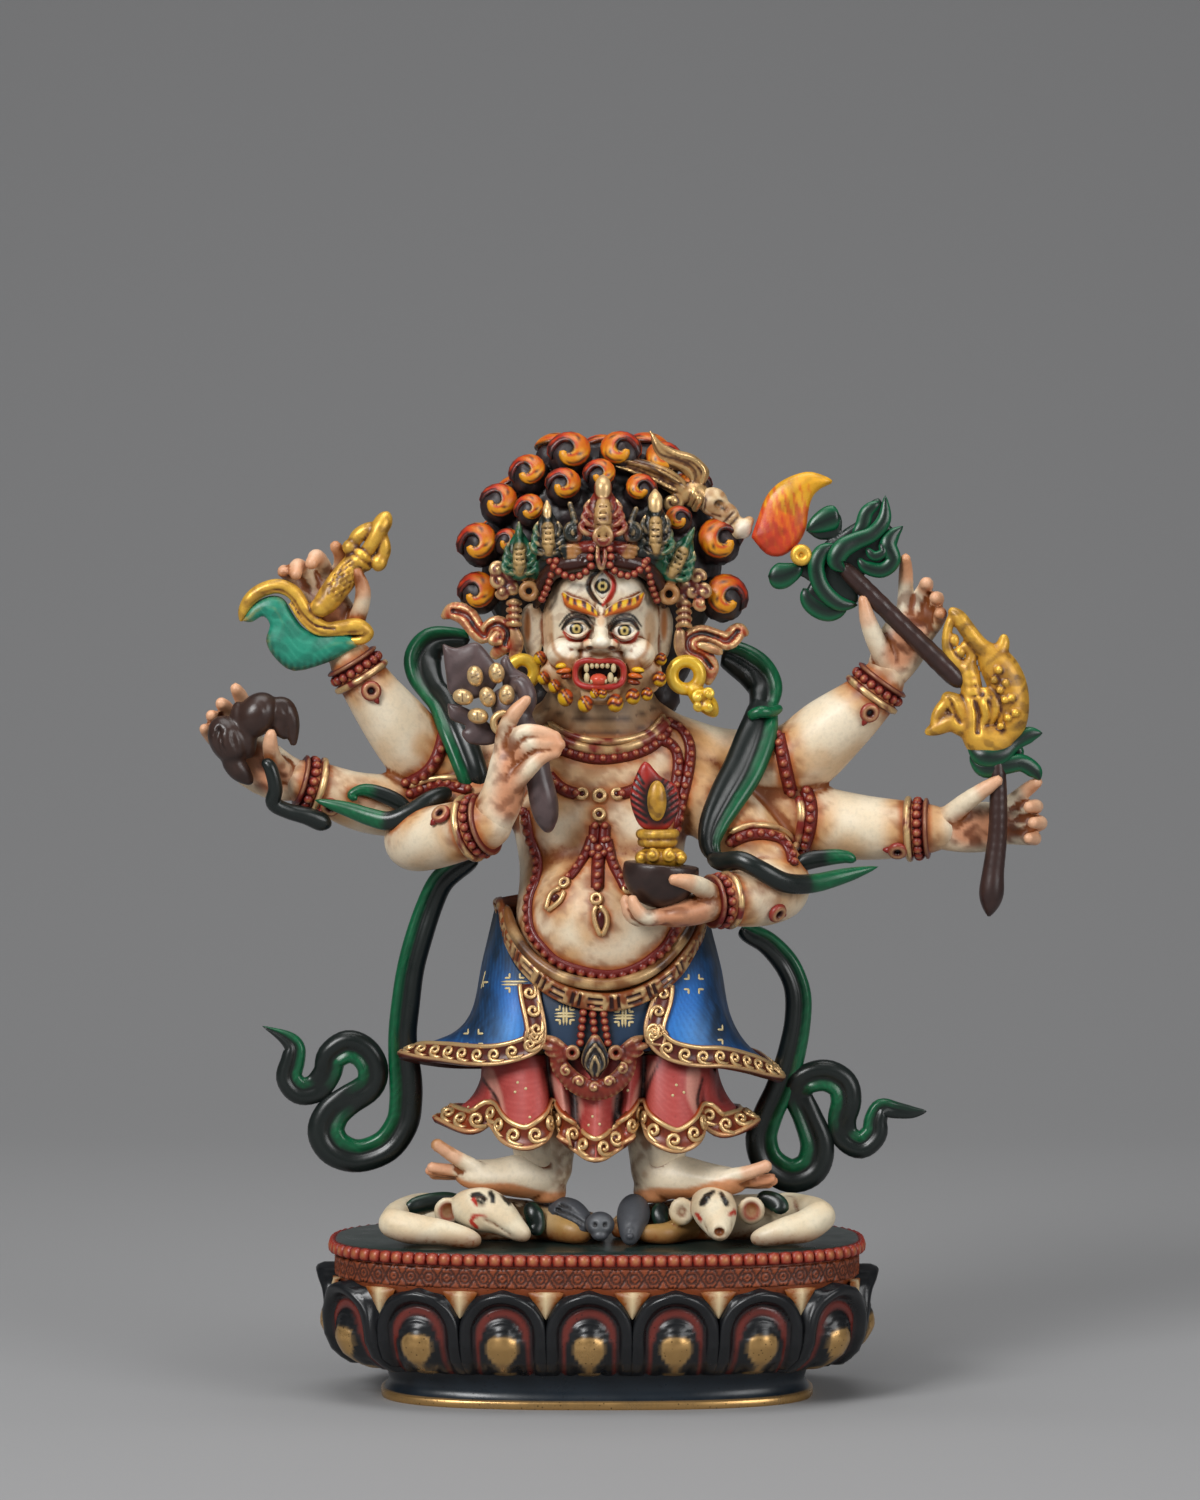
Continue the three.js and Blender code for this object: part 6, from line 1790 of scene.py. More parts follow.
# %% [markdown]
# ## The crown and the jewels of the head
# Five leaves stand on a band over the forehead. Rings hold scrolls at the temples, ribbons wave out behind
# the ears, and a big ring hangs from each lobe. The crown is one clay. Each leaf is a dark plate with curled
# lobes, a ribbed heart and a smooth bud, and the gold is dry-brushed, so it lies on the ridges only.

# %% The crown
RED_GOLD = painted("oxide red with dry-brushed gold", wash="#200C08", gold="#E9C48C", roughness=0.34,
                   gold_metal=0.7, grain_mm=0.3)


def press_crown_leaf(clay, foot, tip, half, lobes, bud, ribs=4):
    """A leaf from foot to tip: its plate, curled lobes up both sides, a ribbed heart and a bud."""
    foot, tip = np.array(seen(*foot)), np.array(seen(*tip))
    line = tip - foot
    side = unit(np.cross(line, (0, -1, 0)))
    front = unit(np.cross(side, line))
    front = front if front[1] < 0 else -front

    def spot(up, out, ahead=0.0):
        return list(foot + line * up + side * out * half + front * ahead)

    clay.limb([spot(0, 0) + [half * 0.55, 0.45], spot(0.25, 0) + [half * 0.95, 0.5],
               spot(0.5, 0) + [half * 0.78, 0.5],
               spot(0.75, 0) + [half * 0.36, 0.4]], soft=0.1)
    for k in range(lobes):
        up = 0.02 + 0.44 * k / lobes
        wide = 1.02 - 0.36 * k / lobes
        for way in (-1, 1):
            clay.limb([spot(up, way * 0.42, 0.4) + [0.2], spot(up + 0.05, way * 0.84 * wide, 0.5) + [0.27],
                       spot(up + 0.16, way * 1.02 * wide, 0.42) + [0.24],
                       spot(up + 0.28, way * 0.8 * wide, 0.5) + [0.12]],
                      steps=4, soft=0.05)
            clay.limb([spot(up + 0.06, way * 0.6 * wide, 0.85) + [0.07],
                       spot(up + 0.14, way * 0.86 * wide, 0.75) + [0.07]],
                      steps=3, soft=0.03, carve=True)
    clay.limb([spot(0.05, 0, 0.6) + [half * 0.2], spot(0.24, 0, 0.7) + [half * 0.4],
               spot(0.46, 0, 0.68) + [half * 0.36],
               spot(0.64, 0, 0.5) + [half * 0.2]], steps=4, soft=0.05)
    for k in range(ribs):
        up = 0.14 + 0.4 * k / ribs
        clay.limb([spot(up + 0.04, -0.36, 0.72) + [0.08], spot(up, 0, 0.7 + half * 0.38) + [0.11],
                   spot(up + 0.04, 0.36, 0.72) + [0.08]],
                  steps=3, soft=0.03, carve=True)
    clay.limb([spot(0.64, 0, 0.45) + [bud * 0.8], spot(0.8, 0, 0.45) + [bud],
               spot(0.93, 0, 0.3) + [bud * 0.5], spot(1, 0, 0.2) + [0.1]],
              steps=4, soft=0.06)


# foot, tip, half width, lobes, bud, the colour of its lobes and how much gold lies on them
LEAVES = [
    ((603, 538, -8), (603, 476, -6.6), 1.9, 3, 0.78, "#7A2418", 1.0),
    ((549, 556, -7), (547, 501, -5.8), 1.4, 3, 0.42, "#131C19", 0.8),
    ((520, 576, -5.4), (519, 522, -4.4), 1.45, 3, 0.34, "#0C5238", 0.5),
    ((656, 556, -6.9), (655, 490, -5.6), 1.45, 3, 0.7, "#131C19", 0.8),
    ((670, 578, -5.4), (694, 528, -4.4), 1.45, 3, 0.34, "#0C5238", 0.5),
]


def model_crown():
    """The band, the five leaves, the scrolls between them, the middle ring and the temple rings."""
    clay = Clay([-11.2, -11, 55.5], [12, -1, 69.5], 0.145)
    press_line(clay, [(531, 580, -4.4, 0.5), (549, 560, -6.4, 0.6), (573, 550, -7.2, 0.6),
                      (600, 547, -7.6, 0.6),
                      (630, 550, -7.2, 0.6), (652, 560, -6.4, 0.6), (669, 580, -4.4, 0.5)], soft=0.2)
    for foot, tip, half, lobes, bud, _, _ in LEAVES:
        press_crown_leaf(clay, foot, tip, half, lobes, bud)
    for centre, way, tail in (((575, 533), 1, (570, 504, -6.6)), ((631, 533), -1, (636, 509, -6.6))):
        press_spiral(clay, centre, -7.6, 10, 1.3 * way, 90, 0.3, tail=tail)
        press_spiral(clay, (centre[0] - way * 10, centre[1] + 8), -7, 6, -1.1 * way, 90, 0.24)
    for across in (572, 626):
        for k in range(3):
            wide = 11 - 2 * k
            press_line(clay, [(across - wide, 548 + 4.6 * k, -7.8, 0.24), (across, 547 + 4.6 * k, -8.1, 0.28),
                              (across + wide, 548.6 + 4.6 * k, -7.8, 0.24)])
    press_ring(clay, (603, 536), -8.7, 8, 0.24)
    clay.ball(seen(603, 540, -8.7), [0.55, 0.4, 0.3], soft=0.1)
    press_line(clay, [(597.6, 547, -8.3, 0.2), (597.6, 558, -8.6, 0.22), (600, 567, -8.7, 0.22),
                      (603, 567, -8.7, 0.22),
                      (605.2, 558, -8.6, 0.22), (605.2, 547, -8.3, 0.2)], soft=0.06)
    for centre, reach in (((529, 591), 7), ((669, 594), 7.6)):
        press_ring(clay, centre, -5.4, reach, 0.3)
    return clay


def leaf_colours(paint):
    """Each leaf in its colour, with its heart and bud bare, and gold on the temple rings."""
    swirls = ramp(paint.points[:, 2], 62.5, 62.9) * (1 - ramp(np.abs(paint.points[:, 0] - 0.3), 3.4, 3.8))
    paint.brush(swirls * 0.95, "#17251F")
    blocks = (1 - ramp(paint.points[:, 2], 62.3, 62.7)) * ramp(paint.points[:, 2], 60.9, 61.3)
    blocks *= 1 - ramp(np.abs(paint.points[:, 0] - 0.3), 4.2, 4.6)
    paint.brush(blocks * 0.8, "#B07A42")
    flat = [1, 0.2, 1]
    for foot, tip, half, _, bud, colour, gold in LEAVES:
        start, line = np.array(seen(*foot)), np.array(seen(*tip)) - seen(*foot)

        def away(low, high):
            part = np.array([start + low * line, start + high * line])
            return path_distance(paint.points * flat, part * flat)

        near = 1 - ramp(away(0, 1), half * 1.1, half * 1.25)
        paint.brush(near, colour)
        paint.rub = np.clip(paint.rub * (1 + near * (1.5 * gold - 1)), 0, 1)
        in_heart = 1 - ramp(away(0.12, 0.5), half * 0.36, half * 0.48)
        in_bud = 1 - ramp(away(0.76, 1), bud * 0.75, bud * 0.95)
        paint.brush(in_heart * 0.9 * (1 - paint.wash), "#B8935C")
        paint.brush(in_heart * 0.8 * ramp(paint.wash, 0.3, 0.8), "#23120C")
        bare = in_bud * (bud > 0.4) * (1 - paint.wash)
        paint.brush(bare * 0.9, "#C4A06A")
        paint.rub = np.maximum(paint.rub, 0.7 * bare)
    for across, down in ((529, 591), (669, 594)):
        ring = inside(paint.points * [1, 0, 1], np.array(seen(across, down, -5.4)) * [1, 0, 1],
                      [1.15, 1, 1.15], 0.1)
        paint.brush(ring, "#9A6434")
        paint.rub = np.maximum(paint.rub, 0.8 * ring * ramp(paint.rub + 0.4, 0.35, 0.75))


pressed("crown", model_crown(), "#5E1F14", RED_GOLD, coat=leaf_colours, low=0.015, high=0.07, rounds=3)

# %% The dark roll under the crown, and the strings of beads over it
def model_hair_line():
    """A roll of hair over the forehead, cut across by fine grooves."""
    clay = Clay([-7.5, -10, 54.5], [8, -1, 62.5], 0.18)
    press_line(clay, [(536, 606, -3.6, 0.3), (541, 588, -5.0, 0.62), (553, 571, -6.5, 0.75),
                      (576, 562, -7.5, 0.8),
                      (601, 560, -7.8, 0.75), (626, 562, -7.5, 0.8), (648, 571, -6.5, 0.75),
                      (660, 588, -5.0, 0.62),
                      (664, 606, -3.6, 0.3)], soft=0.2)
    for across in np.arange(538, 664, 3.4):
        press_line(clay, [(across, 556, -8.2, 0.08), (across + 1.5, 566, -8.6, 0.09),
                          (across + 1, 578, -8, 0.07)], soft=0.04,
                   carve=True, steps=2)
    return clay


pressed("hair_line", model_hair_line(), "#3A1A12", PLAIN, low=9, high=9.5)
BROW_STRINGS = [
    [(550, 561, -7.2), (556, 569, -7.7), (564, 575, -8.1), (575, 577.5, -8.3),
     (584, 573, -8.6), (591, 566, -8.8)],
    [(610, 565, -8.8), (616, 572, -8.6), (626, 576, -8.4), (636, 573, -8.1),
     (643, 566, -7.6), (647, 560, -7.2)],
    [(556, 561, -7.6), (552, 573, -7.2), (548, 586, -6.6), (542, 599, -5.6)],
    [(645, 562, -7.6), (649, 574, -7.2), (652, 587, -6.5), (657, 600, -5.6)],
    [(591, 549, -8.6), (590, 558, -8.8), (591, 566, -8.8)],
    [(610, 549, -8.6), (611, 558, -8.8), (610, 565, -8.8)],
]
brow_strings = Strings()
for rows in BROW_STRINGS:
    brow_strings.add(smooth_path([seen(*row) for row in rows], 6), (0, -1, 0.1), size=0.82)
bead_strings("brow_beads", brow_strings, 0.62, FIGURE)

# %% The temple scrolls and the ribbons behind the ears
TEMPLE_SCROLLS = [((499, 581), 9, 1.2, 0), ((512, 589), 6, -1.1, 160), ((497, 570), 6, 1, 60),
                  ((511, 574), 6, -1, 0),
                  ((503, 592), 5, 1, 200), ((692, 591), 9, -1.2, 180), ((680, 597), 6, 1, 20),
                  ((704, 592), 6, -1, 120),
                  ((697, 577), 6.5, 1, 0), ((684, 584), 5, 1.1, 90), ((700, 603), 5, -1, 300)]
EAR_RIBBONS = [
    [[444, 616, -1.6, 0.35, 0.3], [453, 611, -2, 0.8, 0.4], [466, 615, -2.6, 0.95, 0.42],
     [476, 629, -3, 0.85, 0.42],
     [484, 636, -3.2, 0.75, 0.4], [489, 628, -3.4, 0.7, 0.4], [498, 624, -3.6, 0.8, 0.4],
     [507, 632, -3.8, 0.8, 0.4],
     [505, 644, -3.8, 0.75, 0.4], [494, 655, -3.4, 0.5, 0.35]],
    [[497, 634, -4.1, 0.35, 0.3], [492, 641, -4.2, 0.4, 0.3], [500, 642, -4.2, 0.3, 0.3]],
    [[513, 630, -4.1, 0.5, 0.35], [517, 643, -4.1, 0.62, 0.35], [513, 661, -3.9, 0.45, 0.3]],
    [[746, 633, -1.6, 0.35, 0.3], [738, 631, -2, 0.8, 0.4], [728, 641, -2.6, 0.85, 0.42],
     [717, 637, -2.9, 0.7, 0.42],
     [702, 633, -3.3, 0.75, 0.4], [690, 638, -3.7, 0.8, 0.4], [690, 650, -3.9, 0.8, 0.4],
     [703, 657, -3.6, 0.8, 0.4],
     [711, 667, -3.3, 0.75, 0.4], [708, 682, -3.2, 0.4, 0.3]],
    [[700, 645, -4.2, 0.3, 0.3], [710, 648, -4.1, 0.4, 0.3], [720, 652, -3.6, 0.35, 0.3]],
    [[680, 632, -4.1, 0.45, 0.35], [680, 646, -4.1, 0.55, 0.35], [684, 660, -3.9, 0.4, 0.3]],
]


def model_flourishes():
    """Scrolls at the temples, ribbed lobes below them, and the ribbons with a groove along each."""
    clay = Clay([-14.6, -7.4, 48], [14.6, 1.5, 62.5], 0.16)
    for centre, reach, turns, start in TEMPLE_SCROLLS:
        press_spiral(clay, centre, -4.4, reach, turns, start, 0.34)
    for k in range(4):
        for across, lean in ((514, -1), (684, 1)):
            down = 604 + 7 * k
            press_line(clay, [(across - 6, down + lean, -4.1, 0.24), (across, down - 2, -4.7, 0.32),
                              (across + 6, down + lean, -4.1, 0.24)])
    for rows in EAR_RIBBONS:
        clay.limb(seen_path(rows), steps=4, soft=0.08)
    for rows in EAR_RIBBONS:
        groove = [[a, b, c - half * 0.5, half * 0.34] for a, b, c, half, _ in rows[1:-1]]
        if len(groove) > 2:
            clay.limb(seen_path(groove), steps=4, soft=0.08, carve=True)
    return clay


def flame_ribbon(paint):
    """The ribbons' outer ends in orange red."""
    outer = ramp(np.abs(paint.points[:, 0] - MIDDLE_X), 7.4, 8.4) * (1 - ramp(paint.points[:, 2], 57.2, 58.2))
    paint.brush(outer * 0.85, "#B23A16")


pressed("head_flourishes", model_flourishes(), "#6A2114", RED_GOLD, coat=flame_ribbon, low=0.0, high=0.06)

# %% The earrings
def model_earrings():
    """A grooved ring in each lobe, and a leaf with scrolls under the right one."""
    clay = Clay([-9.5, -6.8, 46], [11.6, -1.5, 53.5], 0.145)
    for centre, reach in (((522, 672), 12.5), ((686, 675), 14)):
        press_ring(clay, centre, -4.2, reach, 0.56, count=17)
        press_ring(clay, centre, -4.9, reach, 0.13, count=17, carve=True)
    press_line(clay, [(692, 688, -4.4, 0.55), (700, 697, -4.5, 0.85), (709, 706, -4.4, 0.8),
                      (714, 713, -4.2, 0.4)], soft=0.12)
    scrolls = [((698, 697), 6, 1.1, 0), ((709, 694), 5, -1.1, 180), ((709, 707), 5, 1, 90),
               ((698, 706), 4, -1, 0)]
    for centre, reach, turns, start in scrolls:
        press_spiral(clay, centre, -5.2, reach, turns, start, 0.24)
    return clay


pressed("earrings", model_earrings(), "#D9A414", ENAMEL_YELLOW, low=0.0, high=0.05)

# %% [markdown]
# ## Bracelets, strings and the belt
# The jewels lie on the skin, so their places are found by a ray. It starts at the camera and goes through
# a place in the picture until it meets the clay. Bracelets are rings turned from a profile. The strings carry
# beads by Geometry Nodes, and the belt is a band whose woven slots are pressed in as it is swept.

# %% Places on the skin
SKIN_TREE = surface_tree(body_points, body_quads)
CAMERA_EYE = Vector((CAMERA_X, -CAMERA_BACK, CAMERA_UP - PLATE_TOP))


def on_skin(across, down, lift=0.0, tree=SKIN_TREE):
    """The place where the skin shows at a place in the picture, lifted off it, and the way out."""
    way = (Vector(seen(across, down, 0)) - CAMERA_EYE).normalized()
    spot, normal, _, _ = tree.ray_cast(CAMERA_EYE, way)
    if spot is None:
        spot, normal, _, _ = tree.find_nearest(Vector(seen(across, down, -4)))
    return np.array(spot) + np.array(normal) * lift, np.array(normal)


def skin_path(rows, lift=0.25):
    """A smooth way over the skin through places in the picture, and the way out at each of its points."""
    flat = smooth_path([[a, b, 0] for a, b in rows], 5)
    found = [on_skin(a, b, lift) for a, b, _ in flat]
    spots, ways = np.array([f[0] for f in found]), np.array([f[1] for f in found])
    return softened(spots, 2), unit_rows(softened(ways, 2))


# %% Bracelets
# how far along the forearm each one sits
BRACELETS = {"chopper": 0.4, "drum": 0.4, "jewel": 0.4, "trident": 0.45, "goad": 0.22, "cup": 0.8}
# off the skin, and along the arm
CUFF_PROFILE = [(-0.7, -1.15), (0.3, -1.15), (0.55, -1.08), (0.82, -0.92), (0.88, -0.72),
                (0.8, -0.52), (0.5, -0.42),
                (0.34, -0.36), (0.32, 0.6), (0.42, 0.66), (0.64, 0.78), (0.66, 0.96),
                (0.42, 1.08), (-0.7, 1.12)]


def circle(centre, axis, radius, count=48):
    """Points round an axis, and the way out at each."""
    side = unit(np.cross(axis, (0.3, 0.2, 1)))
    other = np.cross(axis, side)
    turns = np.arange(count) / count * 2 * math.pi
    ways = np.cos(turns)[:, None] * side + np.sin(turns)[:, None] * other
    return centre + ways * radius, ways


cuffs, cuff_beads = [], Strings()
for name, share in BRACELETS.items():
    wrist, hand = (np.array(joint, float) for joint in ARMS[name][-2:])
    centre, radius = wrist[:3] + share * (hand - wrist)[:3], wrist[3] + share * (hand - wrist)[3]
    axis = unit((hand - wrist)[:3])
    ring, ways = circle(centre, axis, radius + 0.15)
    cuffs.append(sweep(strip(ring, 1, 1), CUFF_PROFILE, facing=axis, closed=True)[:2])
    beads, out = circle(centre + axis * 0.12, axis, radius + 0.55, 60)
    cuff_beads.add(beads, out, size=1.0, closed=True)
cuff_points, cuff_faces = merged(cuffs)
cuff_paint = Paint(cuff_points, "#6E1A16")
cuff_lift, cuff_side = np.tile(CUFF_PROFILE, (len(cuff_points) // len(CUFF_PROFILE), 1)).T
on_rim = ramp(cuff_lift, 0.5, 0.75) * (0.3 + 0.7 * (cuff_side < 0))
cuff_paint.rub = 0.95 * on_rim * ramp(mottle(cuff_points, 0.7, 5), 0.0, 0.35)
cuff_paint.wash = 0.6 * (1 - ramp(cuff_lift, 0.3, 0.5))
worn_piece("bracelets", cuff_points, cuff_faces, cuff_paint, RED_GOLD)
bead_strings("bracelet_beads", cuff_beads, 0.86, FIGURE)

# %% The small settings beside the bracelets
def setting():
    """A ring round a dark stone, with a drop below it."""
    ring = [[0.56 * math.cos(a), 0.56 * math.sin(a), 0.22, 0.33, 0.33]
            for a in np.arange(16) / 16 * 2 * math.pi]
    drop = [[0, -0.5, 0.15, 0.3, 0.3], [0, -0.95, 0.15, 0.26, 0.28], [0, -1.25, 0.1, 0.1, 0.1]]
    parts = [sweep(ring, rounded(8), facing=(0, 0, 1), closed=True)[:2],
             sweep(drop, rounded(8), facing=(0, 0, 1))[:2],
             lump([0, 0, 0.08], [0.4, 0.4, 0.16], rings=5, sides=10)]
    points, faces = merged(parts)
    paint = Paint(points, "#8A2420")
    paint.rub = 0.5 * ramp(points[:, 2], 0.42, 0.56)
    dark = 1 - ramp(np.hypot(points[:, 0], points[:, 1]), 0.28, 0.4)
    paint.brush(dark, "#160C0A")
    paint.rub *= 1 - dark
    return pattern_piece("setting", points, faces, paint, RED_GOLD)


SETTINGS = [(371, 691, -30), (330, 806, 60), (442, 816, 40), (869, 712, 25), (898, 849, 90), (776, 912, -60)]
found = [on_skin(across, down, 0.05) for across, down, _ in SETTINGS]
upward = [(math.sin(math.radians(lean)), 0, math.cos(math.radians(lean))) for _, _, lean in SETTINGS]
copies("settings", ON_POINTS, setting(), [f[0] for f in found], [], [f[1] for f in found], upward,
       np.full((len(found), 3), 1.05), 0, FIGURE, RED_GOLD)

# %% Strings of beads
NECK_ROW = [(544, 738), (552, 745), (566, 751), (590, 758), (614, 758), (640, 752), (656, 743), (667, 731)]
STRINGS = [
    (NECK_ROW, 0.88),
    ([(668, 722), (682, 730), (690, 746), (689, 768), (683, 796), (676, 829)], 0.85),
    ([(658, 738), (672, 745), (678, 758), (677, 780), (671, 806)], 0.85),
    ([(549, 776), (557, 785), (566, 791), (576, 794)], 0.92),
    ([(622, 794), (632, 791), (640, 786)], 0.92),
    ([(595, 826), (594, 840), (593, 856)], 0.85),
    ([(605, 826), (604, 840), (604, 856)], 0.85),
    ([(599, 850), (598, 868), (597.5, 888)], 0.98),
    ([(592, 838), (586, 854), (576, 870), (569, 878)], 0.8),
    ([(607, 840), (612, 862), (620, 878), (625, 888)], 0.8),
    ([(525, 812), (530, 836), (538, 860), (537, 879), (530, 897), (528.5, 916), (532, 934), (543, 949),
      (558, 963), (583, 972),
      (611, 976), (637, 969), (658, 954), (668, 943), (675, 930)], 1.0),
    ([(444, 728), (441, 746), (434, 764), (422, 776), (405, 784)], 1.0),
    ([(468, 790), (448, 786), (428, 787), (409, 795)], 0.9),
    ([(779, 736), (783, 756), (787, 775), (791, 792)], 1.0),
    ([(806, 790), (811, 806), (810, 828), (803, 850)], 1.0),
    ([(731, 842), (745, 836), (762, 834), (780, 839), (790, 852), (793, 864)], 0.95),
]
skin_strings = Strings()
for rows, size in STRINGS:
    spots, ways = skin_path(rows)
    skin_strings.add(spots, ways, size=size)
turns = np.linspace(-0.1, math.pi + 0.1, 24)
nape = np.column_stack([MIDDLE_X + 5.2 * np.cos(turns), 0.2 + 4.6 * np.sin(turns),
                        46.6 + 0.4 * np.sin(turns)])
skin_strings.add(nape, np.column_stack([np.cos(turns), np.sin(turns), np.zeros(24)]), size=0.9)
bead_strings("skin_beads", skin_strings, 0.93, FIGURE)

# %% The cords they lie in, the torque, and gold edges
def cord(rows, size):
    """What a string of beads is bedded in."""
    spots, ways = skin_path(rows, lift=0.08)
    return sweep(strip(spots, 0.62 * size, 0.3), rounded(6), facing=ways)[:2]


def banded(rows, half, thick, lift=0.15, section=8):
    """A flat band laid on the skin, with pointed ends."""
    spots, ways = skin_path(rows, lift)
    return sweep(tapered(strip(spots, half, thick), 0.05, 0.05), rounded(section), facing=ways)[:2]


cords = [cord(rows, size) for rows, size in STRINGS]
cord_points, cord_faces = merged(cords)
cord_paint = Paint(cord_points, "#6A1A15")
worn_piece("bead_cords", cord_points, cord_faces, cord_paint, RED_GOLD)

GOLD_EDGES = [
    ([(543, 727), (552, 734), (566, 741), (590, 748), (616, 749), (642, 742), (657, 732), (668, 720)],
     0.5, 0.42),
    ([(548, 722), (566, 733), (590, 740), (616, 741), (642, 735), (655, 726), (664, 715)], 0.3, 0.26),
    ([(470, 782), (448, 778), (428, 779), (408, 788)], 0.28, 0.26),
    ([(798, 796), (802, 812), (800, 836), (794, 848)], 0.4, 0.34),
    ([(729, 833), (745, 827), (764, 826), (784, 832), (797, 846)], 0.28, 0.26),
]
edges = [banded(rows, half, thick) for rows, half, thick in GOLD_EDGES]
turns = np.linspace(-0.15, math.pi + 0.15, 30)
nape = np.column_stack([MIDDLE_X + 5.0 * np.cos(turns), 4.4 * np.sin(turns), 47.2 + 0.3 * np.sin(turns)])
edges.append(sweep(strip(nape, 0.4, 0.4), rounded(8), facing=(0, 0, 1))[:2])
edge_points, edge_faces = merged(edges)
edge_paint = Paint(edge_points, "#7A221A")
edge_paint.rub = 0.85 * ramp(mottle(edge_points, 1.1, 6), 0.1, 0.6)
worn_piece("torque_and_edges", edge_points, edge_faces, edge_paint, RED_GOLD)

# %% Bezel rings and the drop
# across, down, reach and wire
BEZELS = [(582, 794.5, 0.42, 0.2), (599.5, 796, 0.48, 0.22), (617, 794.5, 0.42, 0.2), (599, 814.5, 0.44, 0.2),
          (565, 884, 0.4, 0.2), (596.5, 900, 0.42, 0.2), (627, 890, 0.36, 0.18)]
DROP_SIDES = [[(597, 906), (594, 914), (596, 925), (601, 937)],
              [(599, 906), (606, 914), (607, 925), (602, 937)],
              [(562, 889), (553, 893), (549, 902), (547, 911)],
              [(565, 891), (562, 900), (556, 906), (548, 912)]]
# across, down, half width and half height
STONES = [(582, 794.5, 0.32, 0.32), (599.5, 796, 0.36, 0.36), (617, 794.5, 0.32, 0.32),
          (599, 814.5, 0.34, 0.34),
          (565, 884, 0.3, 0.3), (601, 921, 0.4, 0.85), (556, 899, 0.4, 0.4)]


def bezels():
    """A ring round each stone, and the two wires of each drop."""
    parts = []
    for across, down, reach, wire in BEZELS:
        middle, way = on_skin(across, down, 0.28)
        ring, _ = circle(middle, way, reach, 14)
        parts.append(sweep(strip(ring, wire, wire), rounded(6), facing=way, closed=True)[:2])
    return merged(parts + [banded(rows, 0.24, 0.24, 0.2, 6) for rows in DROP_SIDES])


bezel_points, bezel_faces = bezels()
bezel_paint = Paint(bezel_points, "#7A2A1A")
bezel_paint.rub = np.full(len(bezel_points), 0.85)
worn_piece("bezels", bezel_points, bezel_faces, bezel_paint, RED_GOLD)
stones = [lump(on_skin(across, down, 0.08)[0], [wide, 0.22, tall], rings=6, sides=10)
          for across, down, wide, tall in STONES]
stone_points, stone_faces = merged(stones)
painted_piece("stones", stone_points, stone_faces, FIGURE, Paint(stone_points, "#4A1210"), PLAIN)

# %% The belt, with its woven slots
BELT_FRONT = [(502, 908, -1.5), (505, 925, -3.4), (510, 941, -5), (519, 957, -6.6), (530, 970, -7.6),
              (544, 983, -8.3), (562, 994, -8.8), (585, 1001, -9),
              (611, 1003, -9), (632, 999, -8.8), (650, 991, -8.3), (666, 980, -7.6), (680, 966, -6.6),
              (691, 949, -5), (699, 935, -3.4), (704, 920, -1.5)]
BELT_BACK = [(10, 3, 29.2), (6.6, 5.8, 29.9), (0.6, 6.9, 30.2), (-5.4, 5.8, 29.9), (-8.7, 2.6, 29.6)]
BELT_PITCH = 1.72
belt_rows = [seen(*row) for row in BELT_FRONT] + [list(row) for row in BELT_BACK]
belt_loop = smooth_path(belt_rows + belt_rows[:3], 24)[24 : 24 * (len(belt_rows) + 1)]
belt_loop = resampled(belt_loop, 640)[:-1]
belt_middle = np.array([0.5, -0.5])
belt_facing = unit_rows(np.column_stack([belt_loop[:, :2] - belt_middle, np.full(len(belt_loop), -2.6)]))
belt_section = np.array([(-1, -0.6), (-1, 0.2), (-0.86, 0.75), (-0.6, 1), (-0.42, 1), (-0.24, 1), (-0.06, 1),
                         (0.12, 1), (0.3, 1), (0.48, 1), (0.66, 1),
                         (0.88, 0.75), (1, 0.2), (1, -0.6)])
belt_points, belt_faces, belt_where = sweep(strip(belt_loop, 0.86, 0.42), belt_section, facing=belt_facing,
                                            closed=True)


def belt_slots(along, height):
    """1 in the slots: two upright ones in every second cell, two level ones in the cells between."""
    cell = along / BELT_PITCH
    part = cell % 1
    upright = (np.floor(cell).astype(int) % 2) == 0
    across = upright & (height < 0.72) & ((np.abs(part - 0.32) < 0.1) | (np.abs(part - 0.68) < 0.1))
    level = ~upright & (np.abs(part - 0.5) < 0.4) & (np.abs(height - 0.36) < 0.14)
    return (across | level).astype(float)


slots = belt_slots(belt_where[:, 0], np.abs(belt_where[:, 1]))
belt_normals = point_normals(belt_points, face_array(belt_faces))
belt_points = belt_points - belt_normals * (slots * 0.26)[:, None]
belt_paint = Paint(belt_points, "#84441F")
belt_front = np.sum(belt_normals * np.repeat(belt_facing, len(belt_section), 0), 1)
belt_paint.rub = (1 - slots) * ramp(belt_front, 0.3, 0.8) * 0.7
belt_paint.rub *= ramp(mottle(belt_points, 0.6, 8), 0.2, 0.75)
belt_paint.brush(slots, "#3A120E")
worn_piece("belt", belt_points, belt_faces, belt_paint, RED_GOLD)
ROLL = [(506, 905, -3.4), (511, 926, -5.4), (522, 946, -7.0), (538, 963, -8.2),
        (560, 977, -9.0), (585, 984, -9.4),
        (612, 985, -9.4), (637, 979, -9.0), (658, 967, -8.2), (675, 950, -7.0),
        (688, 931, -5.4), (696, 910, -3.4)]
roll_path = tapered(strip(smooth_path([seen(*row) for row in ROLL], 5), 0.52, 0.52), 0.1, 0.1)
roll_points, roll_faces, _ = sweep(roll_path, rounded(14))
roll_paint = Paint(roll_points, "#7E5028")
roll_paint.rub = 0.55 * ramp(mottle(roll_points, 1.4, 9), 0.3, 0.9) * ramp(-roll_points[:, 1], 5, 8)
roll_paint.wash = 0.7 * ramp(mottle(roll_points, 2.2, 10), 0.4, 0.9)
worn_piece("waist_roll", roll_points, roll_faces, roll_paint, RED_GOLD)
print("strings:", len(STRINGS), "bracelets:", len(BRACELETS))

